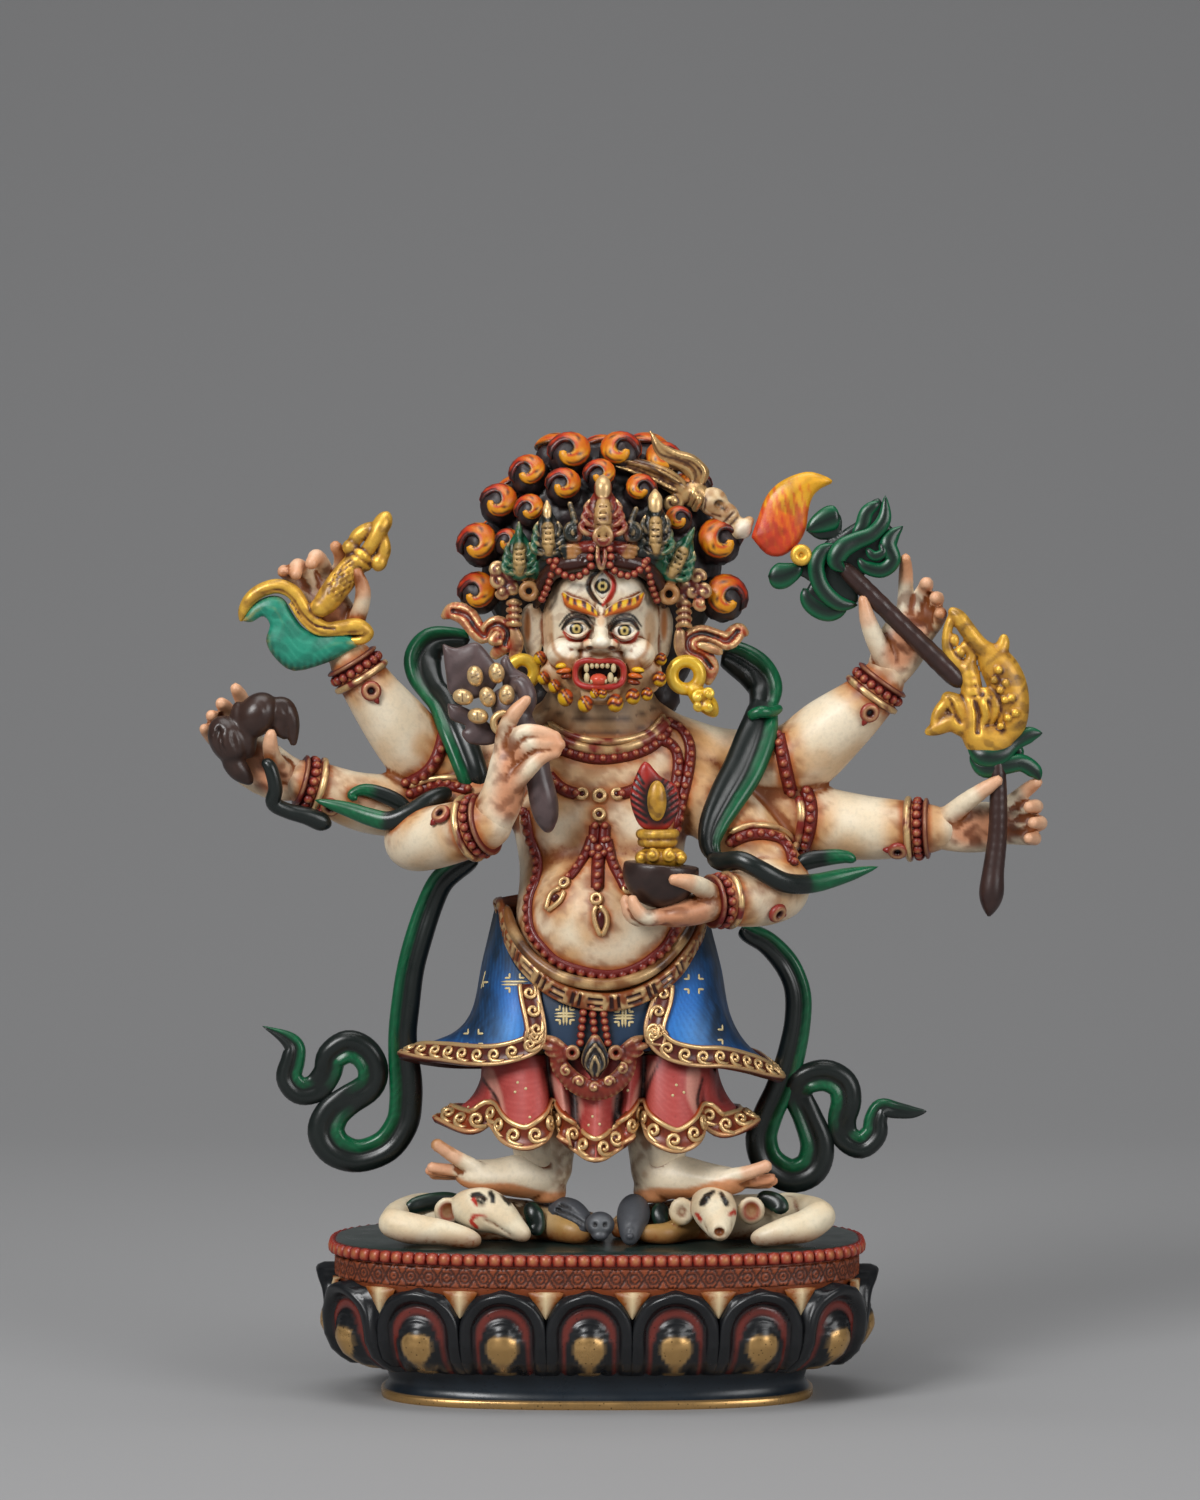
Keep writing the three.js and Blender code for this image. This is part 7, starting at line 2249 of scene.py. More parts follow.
# %% [markdown]
# ## The skirts
# Two skirts hang over each other: a blue one that opens in front and flares into a wing at each side, and a
# red one below it with deep folds and a scalloped hem. Each is one sheet of an even thickness. It is laid
# through columns that run from the belt to the hem, and smoothed across them. The hems carry scrollwork:
# a spiral modelled once, which Geometry Nodes repeats along the edge.

# %% The two sheets
def mirrored_back(rows):
    """Columns over the back, given for the right half with the middle last, as right to left."""
    turned_rows = [[(2 * MIDDLE_X - x, y, z) for x, y, z in column] for column in reversed(rows[:-1])]
    return rows + turned_rows


BLUE_LEFT = [
    [(537, 986, -7.4), (542, 1012, -8.3), (541, 1030, -8.7), (540, 1040, -8.8)],
    [(528, 980, -7.2), (531, 1010, -8.4), (532, 1036, -9), (527, 1056, -9.1)],
    [(515, 966, -6.3), (512, 1000, -7.9), (507, 1035, -8.7), (500, 1065, -8.8)],
    [(505, 945, -4.6), (496, 985, -6.3), (484, 1030, -7.3), (470, 1066, -7.6)],
    [(500, 925, -2.6), (486, 972, -4), (471, 1024, -5), (434, 1060, -5)],
    [(497, 912, 0), (483, 965, 0.2), (467, 1024, -0.6), (397, 1055, -1.2)],
]
BLUE_RIGHT = [
    [(703, 918, 0), (720, 972, 0.2), (733, 1030, -0.6), (785, 1080, -1.2)],
    [(699, 932, -2.6), (712, 975, -4), (728, 1026, -5), (756, 1073, -5)],
    [(690, 950, -4.6), (700, 990, -6.3), (712, 1030, -7.3), (727, 1068, -7.6)],
    [(677, 972, -6.3), (680, 1005, -7.9), (687, 1038, -8.7), (697, 1067, -8.8)],
    [(664, 984, -7.2), (661, 1012, -8.4), (661, 1036, -9), (670, 1058, -9.1)],
    [(655, 990, -7.4), (650, 1010, -8.3), (649, 1026, -8.7), (650, 1036, -8.8)],
]
BLUE_BACK = mirrored_back([
    [(9.6, 3.4, 29.6), (10.8, 4.4, 24), (12.2, 6, 18), (15, 6, 15)],
    [(5, 6, 29.8), (5.8, 7.2, 24), (6.6, 8.4, 18), (7.4, 8.9, 14.4)],
    [(0.5, 6.8, 29.8), (0.5, 8, 24), (0.5, 9.2, 18), (0.5, 9.8, 14)],
])


def columns_of(rows):
    """Columns in mm from columns of places in the picture."""
    return [[seen(*spot) for spot in column] for column in rows]


blue_columns = columns_of(BLUE_RIGHT[::-1]) + BLUE_BACK + columns_of(BLUE_LEFT[::-1])
blue_grid = draped(blue_columns, 12, 46)
print("blue skirt grid", blue_grid.shape)

RED_FRONT = [
    [(482, 1062, -0.5), (474, 1098, -1.6), (432, 1119, -2.2)],
    [(486, 1062, -4), (484, 1100, -5), (464, 1134, -5.4)],
    [(492, 1060, -5.4), (494, 1098, -5.9), (486, 1124, -5.7)],
    [(505, 1058, -7), (506, 1100, -7.9), (504, 1144, -8.6)],
    [(522, 1056, -7.6), (525, 1100, -8.8), (527, 1152, -9.6)],
    [(538, 1056, -7.4), (543, 1098, -8.3), (546, 1140, -8.8)],
    [(546, 1056, -6.4), (551, 1095, -6.2), (555, 1122, -6)],
    [(558, 1056, -7), (562, 1095, -7.9), (566, 1142, -8.5)],
    [(570, 1058, -6.6), (574, 1098, -6.9), (577, 1152, -8.2)],
    [(596, 1060, -7.6), (597, 1110, -8.9), (595, 1164, -10)],
    [(622, 1060, -6.6), (618, 1100, -6.9), (615, 1152, -8.2)],
    [(632, 1058, -7), (629, 1096, -7.9), (627, 1142, -8.5)],
    [(645, 1056, -6.4), (643, 1095, -6.2), (641, 1122, -6)],
    [(656, 1056, -7.4), (653, 1098, -8.3), (652, 1142, -8.8)],
    [(676, 1058, -7.6), (676, 1104, -8.8), (677, 1155, -9.6)],
    [(694, 1060, -7), (694, 1104, -7.9), (698, 1144, -8.6)],
    [(706, 1064, -5.4), (703, 1100, -5.9), (708, 1126, -5.7)],
    [(712, 1068, -4), (712, 1104, -5), (729, 1138, -5.4)],
    [(716, 1072, -0.5), (722, 1102, -1.6), (761, 1122, -2.2)],
]
RED_BACK = mirrored_back([
    [(10.4, 3.4, 17.4), (11.2, 4.4, 13.4), (12.6, 4.8, 9.4)],
    [(8, 4.6, 17.4), (8.4, 5.4, 13.4), (9, 5.8, 10.4)],
    [(5.4, 6, 17.4), (5.8, 7.4, 13), (6.2, 8.4, 8)],
    [(2.8, 6, 17.4), (3, 6.8, 13), (3.2, 7.2, 10)],
    [(0.5, 6.6, 17.4), (0.5, 8.2, 13), (0.5, 9.2, 7.8)],
])
red_columns = columns_of(RED_FRONT) + RED_BACK
red_columns.append(red_columns[0])
red_grid = draped(red_columns, 8, 38)
print("red skirt grid", red_grid.shape)

# %% Their coats
CLOTH_PAINT = painted("matt acrylic on carved cloth", wash="#160C0A", gold="#E2B878",
                      roughness=0.52, gold_metal=0.0,
                      grain_mm=0.4, bump=0.14, dirt=0.3)


def cross_strokes(across, down, reach):
    """The strokes of a cross of paired lines with a small angle in each corner."""
    rows = []
    for gap in (-1.5, 1.5):
        rows.append([(across + gap, down - reach), (across + gap, down + reach)])
        rows.append([(across - reach, down + gap), (across + reach, down + gap)])
    for h in (-1, 1):
        for v in (-1, 1):
            a, b = across + h * 5.2, down + v * 5.2
            rows.append([(a, b + v * 5), (a, b), (a + h * 5, b)])
    return rows


def laid_strokes(tree, rows, half=0.11, lift=0.02):
    """Thin raised strokes of thick paint, laid on a surface through places in the picture."""
    parts = []
    for row in rows:
        found = []
        for (a, b), (c, d) in zip(row[:-1], row[1:]):
            for share in np.linspace(0, 1, 6):
                found.append(on_skin(a + (c - a) * share, b + (d - b) * share, lift, tree))
        spots, ways = np.array([f[0] for f in found]), np.array([f[1] for f in found])
        if np.ptp(spots[:, 1]) > 1.2:
            continue
        ways = ways * np.where(ways[:, 1:2] > 0, -1, 1)
        path = tapered(strip(spots, half, 0.045), 0.12, 0.12)
        parts.append(sweep(path, rounded(6), facing=ways)[:2])
    return parts


def sheet_piece(name, grid, thickness, paint_front, lining):
    """A sheet of cloth with a painted front and a plain lining."""
    points, faces = shell(grid, thickness)
    paint = Paint(points, lining)
    count = grid.shape[0] * grid.shape[1]
    front = Paint(points[:count], "#000000")
    paint_front(front, grid)
    paint.colour[:count] = front.colour
    paint.wash[:count], paint.rub[:count] = front.wash, front.rub
    paint.wash[count:] = 0.4
    return worn_piece(name, points, faces, paint, CLOTH_PAINT)


def grid_outward(grid):
    """The grid turned over, if its normal side doesn't look away from the body."""
    away = (grid - [0.5, 0, 0]) * [1, 1, 0]
    return grid if np.sum(grid_normals(grid) * away) > 0 else grid[:, ::-1]


def blue_coat(paint, grid):
    """Cobalt with painted shade and highlight, pale streaks and three pairs of lines behind."""
    down = np.tile(np.linspace(0, 1, grid.shape[0])[:, None], (1, grid.shape[1])).ravel()
    paint.brush(np.ones(len(down)), "#1A6CC2")
    side = np.abs(paint.points[:, 0] - MIDDLE_X)
    # painted shade: darker towards the sides and under the belt
    paint.brush(ramp(side, 8.2, 10.5) * (1 - ramp(down, 0.75, 0.95)) * 0.75, "#173049")
    paint.brush(0.8 * (1 - ramp(down, 0.05, 0.4)), "#15354F")
    paint.brush(0.75 * (1 - ramp(side, 4.5, 6.6)) * ramp(-paint.points[:, 1], 0, 2), "#0F2B4C")
    # painted highlight down the middle of each side panel
    paint.brush(0.7 * ramp(down, 0.45, 0.7) * np.exp(-(((side - 8.4) / 1.3) ** 2)), "#5C9AD8")
    paint.brush(0.5 * ramp(down, 0.3, 0.6) * np.exp(-(((side - 7.4) / 1.6) ** 2)), "#2C86D6")
    streak = np.sin(side * 21 + np.sin(paint.points[:, 2] * 1.3) * 2)
    paint.brush(0.22 * ramp(streak, 0.3, 1), "#3C93DE")
    paint.brush(0.2 * ramp(-streak, 0.4, 1), "#0E2F55")
    paint.brush(0.55 * (paint.points[:, 1] > 2.5), "#15406E")
    # a dry dark wash, laid where painted shade falls: towards the sides and under the belt
    dark = ramp(side, 7.6, 10.2) * (1 - ramp(down, 0.7, 0.95)) + 0.7 * (1 - ramp(down, 0.0, 0.3))
    paint.brush(np.clip(dark * (0.45 + 0.4 * mottle(paint.points * [1, 1, 0.3], 0.5, 11)), 0, 0.85),
                "#0F1D27")
    for across, up in ((-6, 22), (0.5, 18.5), (7, 22)):
        for gap in (-0.18, 0.18):
            paint.line([[across + gap, 8, up - 1.2], [across + gap, 8, up + 1.2]], 0.07, "#D9C48E")
    paint.wash = 0.25 * ramp(down, 0.9, 1)


blue_grid = grid_outward(blue_grid)
sheet_piece("blue_skirt", blue_grid, 0.55, blue_coat, "#5A2418")


PINK_EDGES = [([(488, 1075), (496.4, 1096), (503.5, 1121)], [6, 5, 2.5]),
              ([(551, 1080), (563, 1102), (562.5, 1120)], [3.5, 5, 4]),
              ([(577, 1098), (580, 1110), (575, 1124)], [3, 2.5, 2]),
              ([(617, 1098), (616, 1110), (622, 1124)], [3, 2.5, 2]),
              ([(653.6, 1066), (639.5, 1094), (632.5, 1117)], [4, 5, 3.5]),
              ([(694, 1074), (693, 1096), (700, 1120)], [7, 6, 3])]
DARK_EDGES = [[(482, 1080), (497, 1102), (500, 1122)], [(544, 1068), (550.6, 1102), (545.5, 1124)],
              [(568, 1080), (573.6, 1102), (571, 1123)],
              [(624, 1096), (620, 1113), (627, 1124)], [(662, 1057), (646.6, 1091), (642.4, 1119)],
              [(703, 1080), (698, 1102), (703, 1122)]]


def red_coat(paint, grid):
    """Dusty red, pink ridges and dark fold depths, each partly the paint and partly painted highlight and
    shade.
    """
    rows, columns = grid.shape[:2]
    down = np.tile(np.linspace(0, 1, rows)[:, None], (1, columns)).ravel()
    paint.brush(np.ones(len(down)), "#B0403B")
    faces = np.array(grid_faces(rows, columns))
    stand = proud(paint.points, faces, 24)
    away = (paint.points - [0.5, 0, 12]) * [1, 1, 0]
    stand = stand * np.sign(np.median(np.sum(point_normals(paint.points, faces) * away, 1)))
    # pink on the ridges, partly painted highlight; dark in the folds, partly wash and partly painted shade
    paint.brush(0.3 * ramp(stand, 0.03, 0.22), "#CC6E62")
    paint.brush(0.95 * ramp(-stand, 0.02, 0.18), "#34100D")
    spots, front = pictured(paint.points), (paint.points[:, 1] < -2).astype(float)
    # the same pink and dark, brushed along chosen ridges and folds: partly painted highlight and shade
    for rows, half in PINK_EDGES:
        stroke(paint, spots, front, rows, half, "#DE9C8A", 0.85, 2.2)
    for rows in DARK_EDGES:
        stroke(paint, spots, front, rows, [1.2, 1.8, 1.4], "#2A0E0C", 0.95, 1.2)
    streak = np.sin(paint.points[:, 2] * 17 + np.sin(paint.points[:, 0] * 1.7) * 1.5)
    paint.brush(0.2 * ramp(streak, 0.2, 1), "#D4716A")
    # painted shade: darker at the top, under the blue skirt
    paint.brush(0.5 * (1 - ramp(down, 0.0, 0.25)), "#7A241E")
    paint.wash = 0.8 * ramp(-stand, 0.03, 0.2)


red_grid = grid_outward(red_grid)
sheet_piece("red_skirt", red_grid, 0.6, red_coat, "#6A2A1A")

# %% The hems and their scrolls
def grid_edge(grid, row_pick, inset, closed_sides):
    """A path along the grid's hem, and up its two sides if they are free, with the way out at each point."""
    normal = grid_normals(grid)
    rows, columns = grid.shape[:2]
    first, last = (0, columns - 1) if closed_sides else (3, columns - 4)
    spots, ways = [], []

    def take(i, j, inner_i, inner_j):
        inward = unit(grid[inner_i, inner_j] - grid[i, j])
        spots.append(grid[i, j] + inward * inset)
        ways.append(normal[i, j])

    if not closed_sides:
        for i in range(row_pick, rows - 2):
            take(i, 0, i, 3)
    for j in range(columns):
        take(rows - 1, j, rows - 4, min(max(j, first), last))
    if not closed_sides:
        for i in range(rows - 3, row_pick, -1):
            take(i, columns - 1, i, columns - 4)
    return softened(np.array(spots), 3), unit_rows(softened(np.array(ways), 3))


def scroll_shape():
    """A wave scroll: a spiral whose tail runs on to the next one."""
    rows = [[1.35, -0.62, 0.0, 0.1, 0.12], [0.75, -0.86, 0.06, 0.24, 0.22]]
    for share in np.linspace(0, 1, 15):
        angle = math.radians(-80 - share * 460)
        reach = 0.82 * (1 - 0.8 * share)
        rows.append([reach * math.cos(angle), reach * math.sin(angle), 0.1 + 0.12 * share,
                     0.27 - 0.06 * share, 0.26])
    return sweep(tapered(np.array(rows), 0.08, 0.04), rounded(6), facing=(0, 0, 1))[:2]


scroll_points, scroll_faces = scroll_shape()
scroll_paint = Paint(scroll_points, "#8A3A1A")
scroll_paint.rub = ramp(scroll_points[:, 2], 0.0, 0.14)
SCROLL = pattern_piece("hem scroll", scroll_points, scroll_faces, scroll_paint, RED_GOLD)
print("hem scroll of", len(scroll_faces), "faces")


HEM_SECTION = [(-1, -0.9), (-1.02, 0.5), (-0.9, 1.0), (-0.7, 0.9), (-0.6, 0.35), (0, 0.3),
               (0.6, 0.35), (0.72, 0.75),
               (0.9, 0.75), (1, 0.3), (1, -0.9)]


def scrolled_hem(name, grid, top_row, closed_sides, width, base, pitch):
    """A band with raised rims along the hem, and scrolls on it, a pitch apart in mm."""
    spots, ways = grid_edge(grid, top_row, width * 0.5, closed_sides)
    count = int(lengths_along(spots)[-1] / 0.3)
    both = resampled(np.hstack([spots, ways]), count)
    spots, ways = both[:, :3], unit_rows(both[:, 3:])
    points, faces = sweep(strip(spots, width * 0.55, 0.34), HEM_SECTION, facing=ways)[:2]
    paint = Paint(points, base)
    lift = np.concatenate([np.tile([p[1] for p in HEM_SECTION], count), [0, 0]])
    paint.rub = ramp(lift, 0.6, 0.85) * 0.95
    paint.wash = (1 - ramp(lift, 0.3, 0.6)) * 0.55
    worn_piece(name, points, faces, paint, RED_GOLD)
    length = lengths_along(spots)
    number = int(length[-1] / pitch)
    marks = (np.arange(number) + 0.5) / number * length[-1]
    at = np.stack([np.interp(marks, length, spots[:, i]) for i in range(3)], 1)
    out = np.stack([np.interp(marks, length, ways[:, i]) for i in range(3)], 1)
    onward = np.cross(out, np.gradient(at, axis=0))
    copies(name + "_scrolls", ON_POINTS, SCROLL, at + out * 0.12, [], out, onward,
           np.full((number, 3), width * 0.4), 0, FIGURE, RED_GOLD)


scrolled_hem("blue_hem", blue_grid, 2, False, 1.8, "#7A2A1A", 1.65)
scrolled_hem("red_hem", red_grid, 0, True, 2.1, "#A8421C", 1.9)

# %% The apron and its jewel
apron_columns = []
for k in range(9):
    bulge = math.sin(math.pi * k / 8)
    apron_columns.append([(541 + 14 * k, 988 + (6 if 1 < k < 7 else 0), -7.4 - 0.5 * bulge),
                          (542 + 13.7 * k, 1015, -7.9 - 0.6 * bulge),
                          (543 + 13.5 * k, 1052, -8.2 - 0.5 * bulge)])
apron_grid = grid_outward(draped(columns_of(apron_columns), 8, 32))


def apron_coat(paint, _):
    """Dark blue, nearly black down the middle."""
    paint.brush(np.ones(len(paint.points)), "#16324E")
    paint.brush(0.8 * (1 - ramp(np.abs(paint.points[:, 0] + 0.2), 0.8, 2.4)), "#0E1216")


sheet_piece("apron", apron_grid, 0.5, apron_coat, "#1A1412")

# %% Crosses and dots of thick paint on the cloth
CLOTH_TREES = {name: surface_tree(*shell(grid, 0.5))
               for name, grid in (("blue", blue_grid), ("red", red_grid), ("apron", apron_grid))}
CROSSES = [("blue", 514.6, 984, 14), ("blue", 473, 1040, 13), ("blue", 478, 978, 9), ("blue", 694, 985, 14),
           ("blue", 728, 1036, 12),
           ("apron", 565, 1016, 11), ("apron", 624, 1018, 11)]
marks = [part for name, across, down, reach in CROSSES
         for part in laid_strokes(CLOTH_TREES[name], cross_strokes(across, down, reach))]
DOTS = [(517.5, 1084), (515, 1093.6), (525.5, 1090.2), (529.6, 1119), (526, 1127), (535, 1123.6),
        (592.7, 1118.3), (589, 1127),
        (599.4, 1126), (676.6, 1086.6), (673, 1097), (684, 1094), (468, 1109), (724, 1115),
        (566, 1090), (628, 1092)]
for across, down in DOTS:
    spot, way = on_skin(across, down, 0.02, CLOTH_TREES["red"])
    marks.append(lump(spot, [0.14, 0.06, 0.14], rings=4, sides=8))
mark_points, mark_faces = merged(marks)
painted_piece("cloth_marks", mark_points, mark_faces, FIGURE, Paint(mark_points, "#D9C592"), PLAIN)

# %% The strings and the jewel over the apron
apron_beads = Strings()
APRON_STRINGS = [[(584, 1006), (582, 1024), (580, 1044)], [(592, 1008), (594, 1030), (595, 1046)],
                 [(603, 1008), (605, 1026), (608, 1044)]]
for rows in APRON_STRINGS:
    path = smooth_path([seen(a, b, -8.9) for a, b in rows], 6)
    apron_beads.add(path, (0, -1, 0.1), size=0.85)
bead_strings("apron_beads", apron_beads, 0.62, FIGURE)


APRON_SCROLLS = [((566, 1072), 5, 1.1, 90), ((579, 1083), 5, -1.1, 180), ((594, 1089), 4.6, 1.1, 0),
                 ((609, 1083), 5, 1.1, 0), ((622, 1070), 5, -1.1, 90)]


def model_apron_jewel():
    """A bow of scrolls under the apron with a veined leaf in it, and a ring with four rays on each side."""
    clay = Clay([-7.6, -11.4, 12.4], [7.6, -6.5, 22.5], 0.145)
    press_line(clay, [[556, 1052, -8.6, 0.5, 0.4], [560, 1068, -9, 0.75, 0.45], [576, 1085, -9.4, 0.85, 0.45],
                      [594, 1092, -9.6, 0.85, 0.45], [612, 1087, -9.4, 0.85, 0.45],
                      [626, 1072, -9, 0.75, 0.45],
                      [631, 1052, -8.6, 0.5, 0.4]], soft=0.15)
    for centre, reach, turns, start in APRON_SCROLLS:
        press_spiral(clay, centre, -9.9, reach, turns, start, 0.19)
    x = 595
    press_line(clay, [[x, 1040, -9, 0.5, 0.4], [x, 1052, -9.2, 1.0, 0.45], [x, 1064, -9.4, 1.15, 0.45],
                      [x, 1078, -9.4, 0.4, 0.35]], soft=0.1)
    for side in (-1, 1):
        press_line(clay, [[x, 1046, -9.6, 0.16], [x + side * 7, 1056, -9.8, 0.18],
                          [x + side * 9, 1067, -9.8, 0.16],
                          [x + side * 3, 1075, -9.8, 0.14]], soft=0.06)
        press_line(clay, [[x, 1058, -9.9, 0.16], [x + side * 4, 1068, -9.9, 0.17],
                          [x + side * 2, 1077, -9.8, 0.14]],
                   soft=0.06)
    for side, across in ((-1, 572), (1, 616)):
        press_ring(clay, (across, 1054), -9.3, 5.2, 0.24, count=11, soft=0.06)
        for drop, reach in ((-9, 27), (-2, 33), (5, 26), (12, 17)):
            press_line(clay, [[across + side * 5, 1054 + drop * 0.3, -9, 0.3],
                              [across + side * (5 + reach * 0.45), 1054 + drop * 0.9 - 3, -9.1, 0.42],
                              [across + side * reach, 1048 + drop * 1.1, -8.6, 0.2]])
    return clay


def jewel_coat(paint):
    """The leaf is nearly black and keeps half its gold."""
    leaf = inside(paint.points, seen(595, 1060, -9.3), [1.25, 1.6, 1.7], 0.15)
    paint.brush(leaf, "#101820")
    paint.rub *= 1 - 0.45 * leaf


pressed("apron_jewel", model_apron_jewel(), "#7C2A1A", RED_GOLD, coat=jewel_coat)

# %% [markdown]
# ## The scarf
# One long scarf, cast as flat bands, goes round behind the head, over both arms and down to the plate,
# where its two tails curl up again like flames. Each band is black-green, with a rim in bright green along
# one side and a groove between them. So each row of a path says which side has the rim, besides how wide
# the band is.

# %% Bands with a green rim on one side
SCARF_SAMPLES = np.array([(-1, -0.5), (-1, 0.05), (-0.92, 0.35), (-0.75, 0.5), (-0.55, 0.55), (-0.35, 0.55),
                          (-0.15, 0.55), (0, 0.55), (0.15, 0.55),
                          (0.35, 0.55), (0.55, 0.55), (0.75, 0.5), (0.92, 0.35), (1, 0.05), (1, -0.5),
                          (0.6, -0.8), (-0.6, -0.8)])
GREEN = "#0A5534"


def scarf_band(rows):
    """A band through rows of across, down, depth, half width, half thickness and the rim's side."""
    flat = smooth_path([seen(*row[:3]) + list(row[3:]) for row in rows], 5)
    side = np.clip(flat[:, 5], -1, 1)
    path = tapered(flat[:, :5], 0.03, 0.1)
    points, faces, where = sweep(path, SCARF_SAMPLES)
    count = len(SCARF_SAMPLES)
    side = np.concatenate([np.repeat(side, count), side[:1], side[-1:]])
    top = np.concatenate([np.tile(SCARF_SAMPLES[:, 1] > 0, len(flat)), [False, False]])
    thick = np.concatenate([np.repeat(path[:, 4], count), [0, 0]])
    place_across = where[:, 1] * np.sign(side)
    cloth = np.maximum(0, 1 - ((place_across + 0.4) / 0.6) ** 2)
    rim = np.maximum(0, 1 - ((place_across - 0.64) / 0.4) ** 2)
    points[:, 1] -= top * thick * np.abs(side) * 0.62 * np.maximum(cloth, rim)
    green = ramp(place_across, 0.22, 0.34) * np.abs(side)
    groove = np.exp(-(((place_across - 0.23) / 0.1) ** 2)) * np.abs(side)
    return points, faces, green, groove


# two long bands outside the arms with their tails, then two short ones over the shoulders
SCARF = [
    [(478, 857, 0, 0.9, 0.6, 1), (458, 867, 1.5, 1.1, 0.6, 1), (441, 882, 2.4, 1.15, 0.6, 1),
     (430, 904, 3, 1.2, 0.6, 1), (419, 936, 3, 1.25, 0.6, 1),
     (410, 970, 3, 1.25, 0.6, 1), (405, 1005, 3, 1.3, 0.6, 1), (402, 1035, 3, 1.3, 0.6, 1),
     (403, 1060, 3, 1.4, 0.6, 1), (405, 1082, 3, 1.5, 0.65, 1),
     (405, 1104, 3, 1.5, 0.65, 1), (401, 1126, 3, 1.5, 0.65, 1), (385, 1148, 3, 1.5, 0.65, 1),
     (358, 1158, 3, 1.5, 0.65, 1), (335, 1151, 3, 1.65, 0.65, 1),
     (325, 1134, 3, 1.7, 0.65, 1), (331, 1116, 3, 1.6, 0.65, 0.8), (346, 1103, 2.8, 1.4, 0.65, 0.1),
     (368, 1088, 2.6, 1.35, 0.65, -0.6), (372, 1070, 2.6, 1.4, 0.65, -1),
     (363, 1054, 2.6, 1.45, 0.65, -1), (347, 1048, 2.6, 1.5, 0.65, -1), (331, 1058, 2.6, 1.4, 0.65, -1),
     (326, 1075, 2.8, 1.3, 0.6, -0.5), (314, 1090, 3, 1.3, 0.6, 0.3),
     (298, 1092, 3, 1.25, 0.6, 0.8), (288, 1079, 3, 1.2, 0.6, 1), (292, 1061, 3, 1.1, 0.6, 1),
     (293, 1048, 3, 1.0, 0.55, 1), (283, 1038, 3, 0.85, 0.5, 1), (261, 1027, 3, 0.35, 0.3, 1)],
    [(742, 928, 0, 0.9, 0.6, -1), (752, 935, 1.2, 0.95, 0.6, -1), (768, 944, 2.2, 1.05, 0.6, -1),
     (785, 962, 3, 1.15, 0.6, -1), (795, 981, 3, 1.15, 0.6, -1), (799, 1000, 3, 1.2, 0.6, -1),
     (798, 1024, 3, 1.2, 0.6, -1), (794, 1047, 3, 1.25, 0.6, -1), (788, 1070, 3, 1.3, 0.6, -1),
     (779, 1094, 3, 1.3, 0.65, -1), (769, 1116, 3, 1.35, 0.65, -1), (762, 1140, 3, 1.45, 0.65, -1),
     (769, 1164, 3, 1.5, 0.65, -1), (791, 1178, 3, 1.55, 0.65, -1), (812, 1170, 3, 1.6, 0.65, -1),
     (818, 1147, 3, 1.55, 0.65, -1), (808, 1118, 3, 1.35, 0.65, -0.8), (799, 1097, 2.8, 1.3, 0.65, 0),
     (806, 1082, 2.6, 1.35, 0.65, 0.8), (826, 1077, 2.6, 1.45, 0.65, 1), (843, 1086, 2.6, 1.45, 0.65, 1),
     (847, 1103, 2.6, 1.4, 0.65, 1), (843, 1122, 2.8, 1.3, 0.6, 0.5), (847, 1139, 3, 1.25, 0.6, -0.4),
     (862, 1147, 3, 1.25, 0.6, -1), (875, 1136, 3, 1.2, 0.6, -1), (877, 1121, 3, 1.05, 0.55, -1),
     (883, 1110, 3, 0.9, 0.5, -0.8), (898, 1112, 3, 0.8, 0.45, -0.2), (914, 1114, 3, 0.72, 0.45, -0.1),
     (928, 1113, 3, 0.5, 0.4, -0.1)],
    [(470, 640, 4.6, 0.8, 0.5, 1), (452, 639, 4.4, 1.1, 0.55, 1), (433, 643, 4, 1.5, 0.6, 1),
     (423, 657, 3.4, 1.7, 0.6, 1), (424, 673, 2.6, 1.6, 0.6, 1), (432, 689, 1.4, 1.3, 0.6, 1),
     (443, 703, 0, 1.35, 0.6, 1), (454, 727, -1.8, 1.5, 0.6, 1), (465, 754, -2.8, 1.5, 0.6, 1),
     (474, 780, -3.2, 1.4, 0.6, 1), (480, 804, -2, 1.1, 0.5, 1)],
    [(722, 652, 4.4, 1.2, 0.55, -1), (738, 659, 4, 1.6, 0.6, -1), (755, 671, 3.4, 1.75, 0.6, -1),
     (765, 687, 2.6, 1.6, 0.6, -1), (764, 703, 1.4, 1.3, 0.6, -1), (762, 715, -0.6, 1.5, 0.6, -1),
     (757, 735, -1.8, 1.8, 0.6, -1), (744, 768, -3.2, 1.85, 0.6, -1), (727, 798, -4.4, 1.65, 0.6, -1),
     (714, 824, -5.4, 1.3, 0.6, -1), (710, 845, -6.4, 0.95, 0.6, -0.6), (718, 862, -7, 0.85, 0.55, 0)],
]
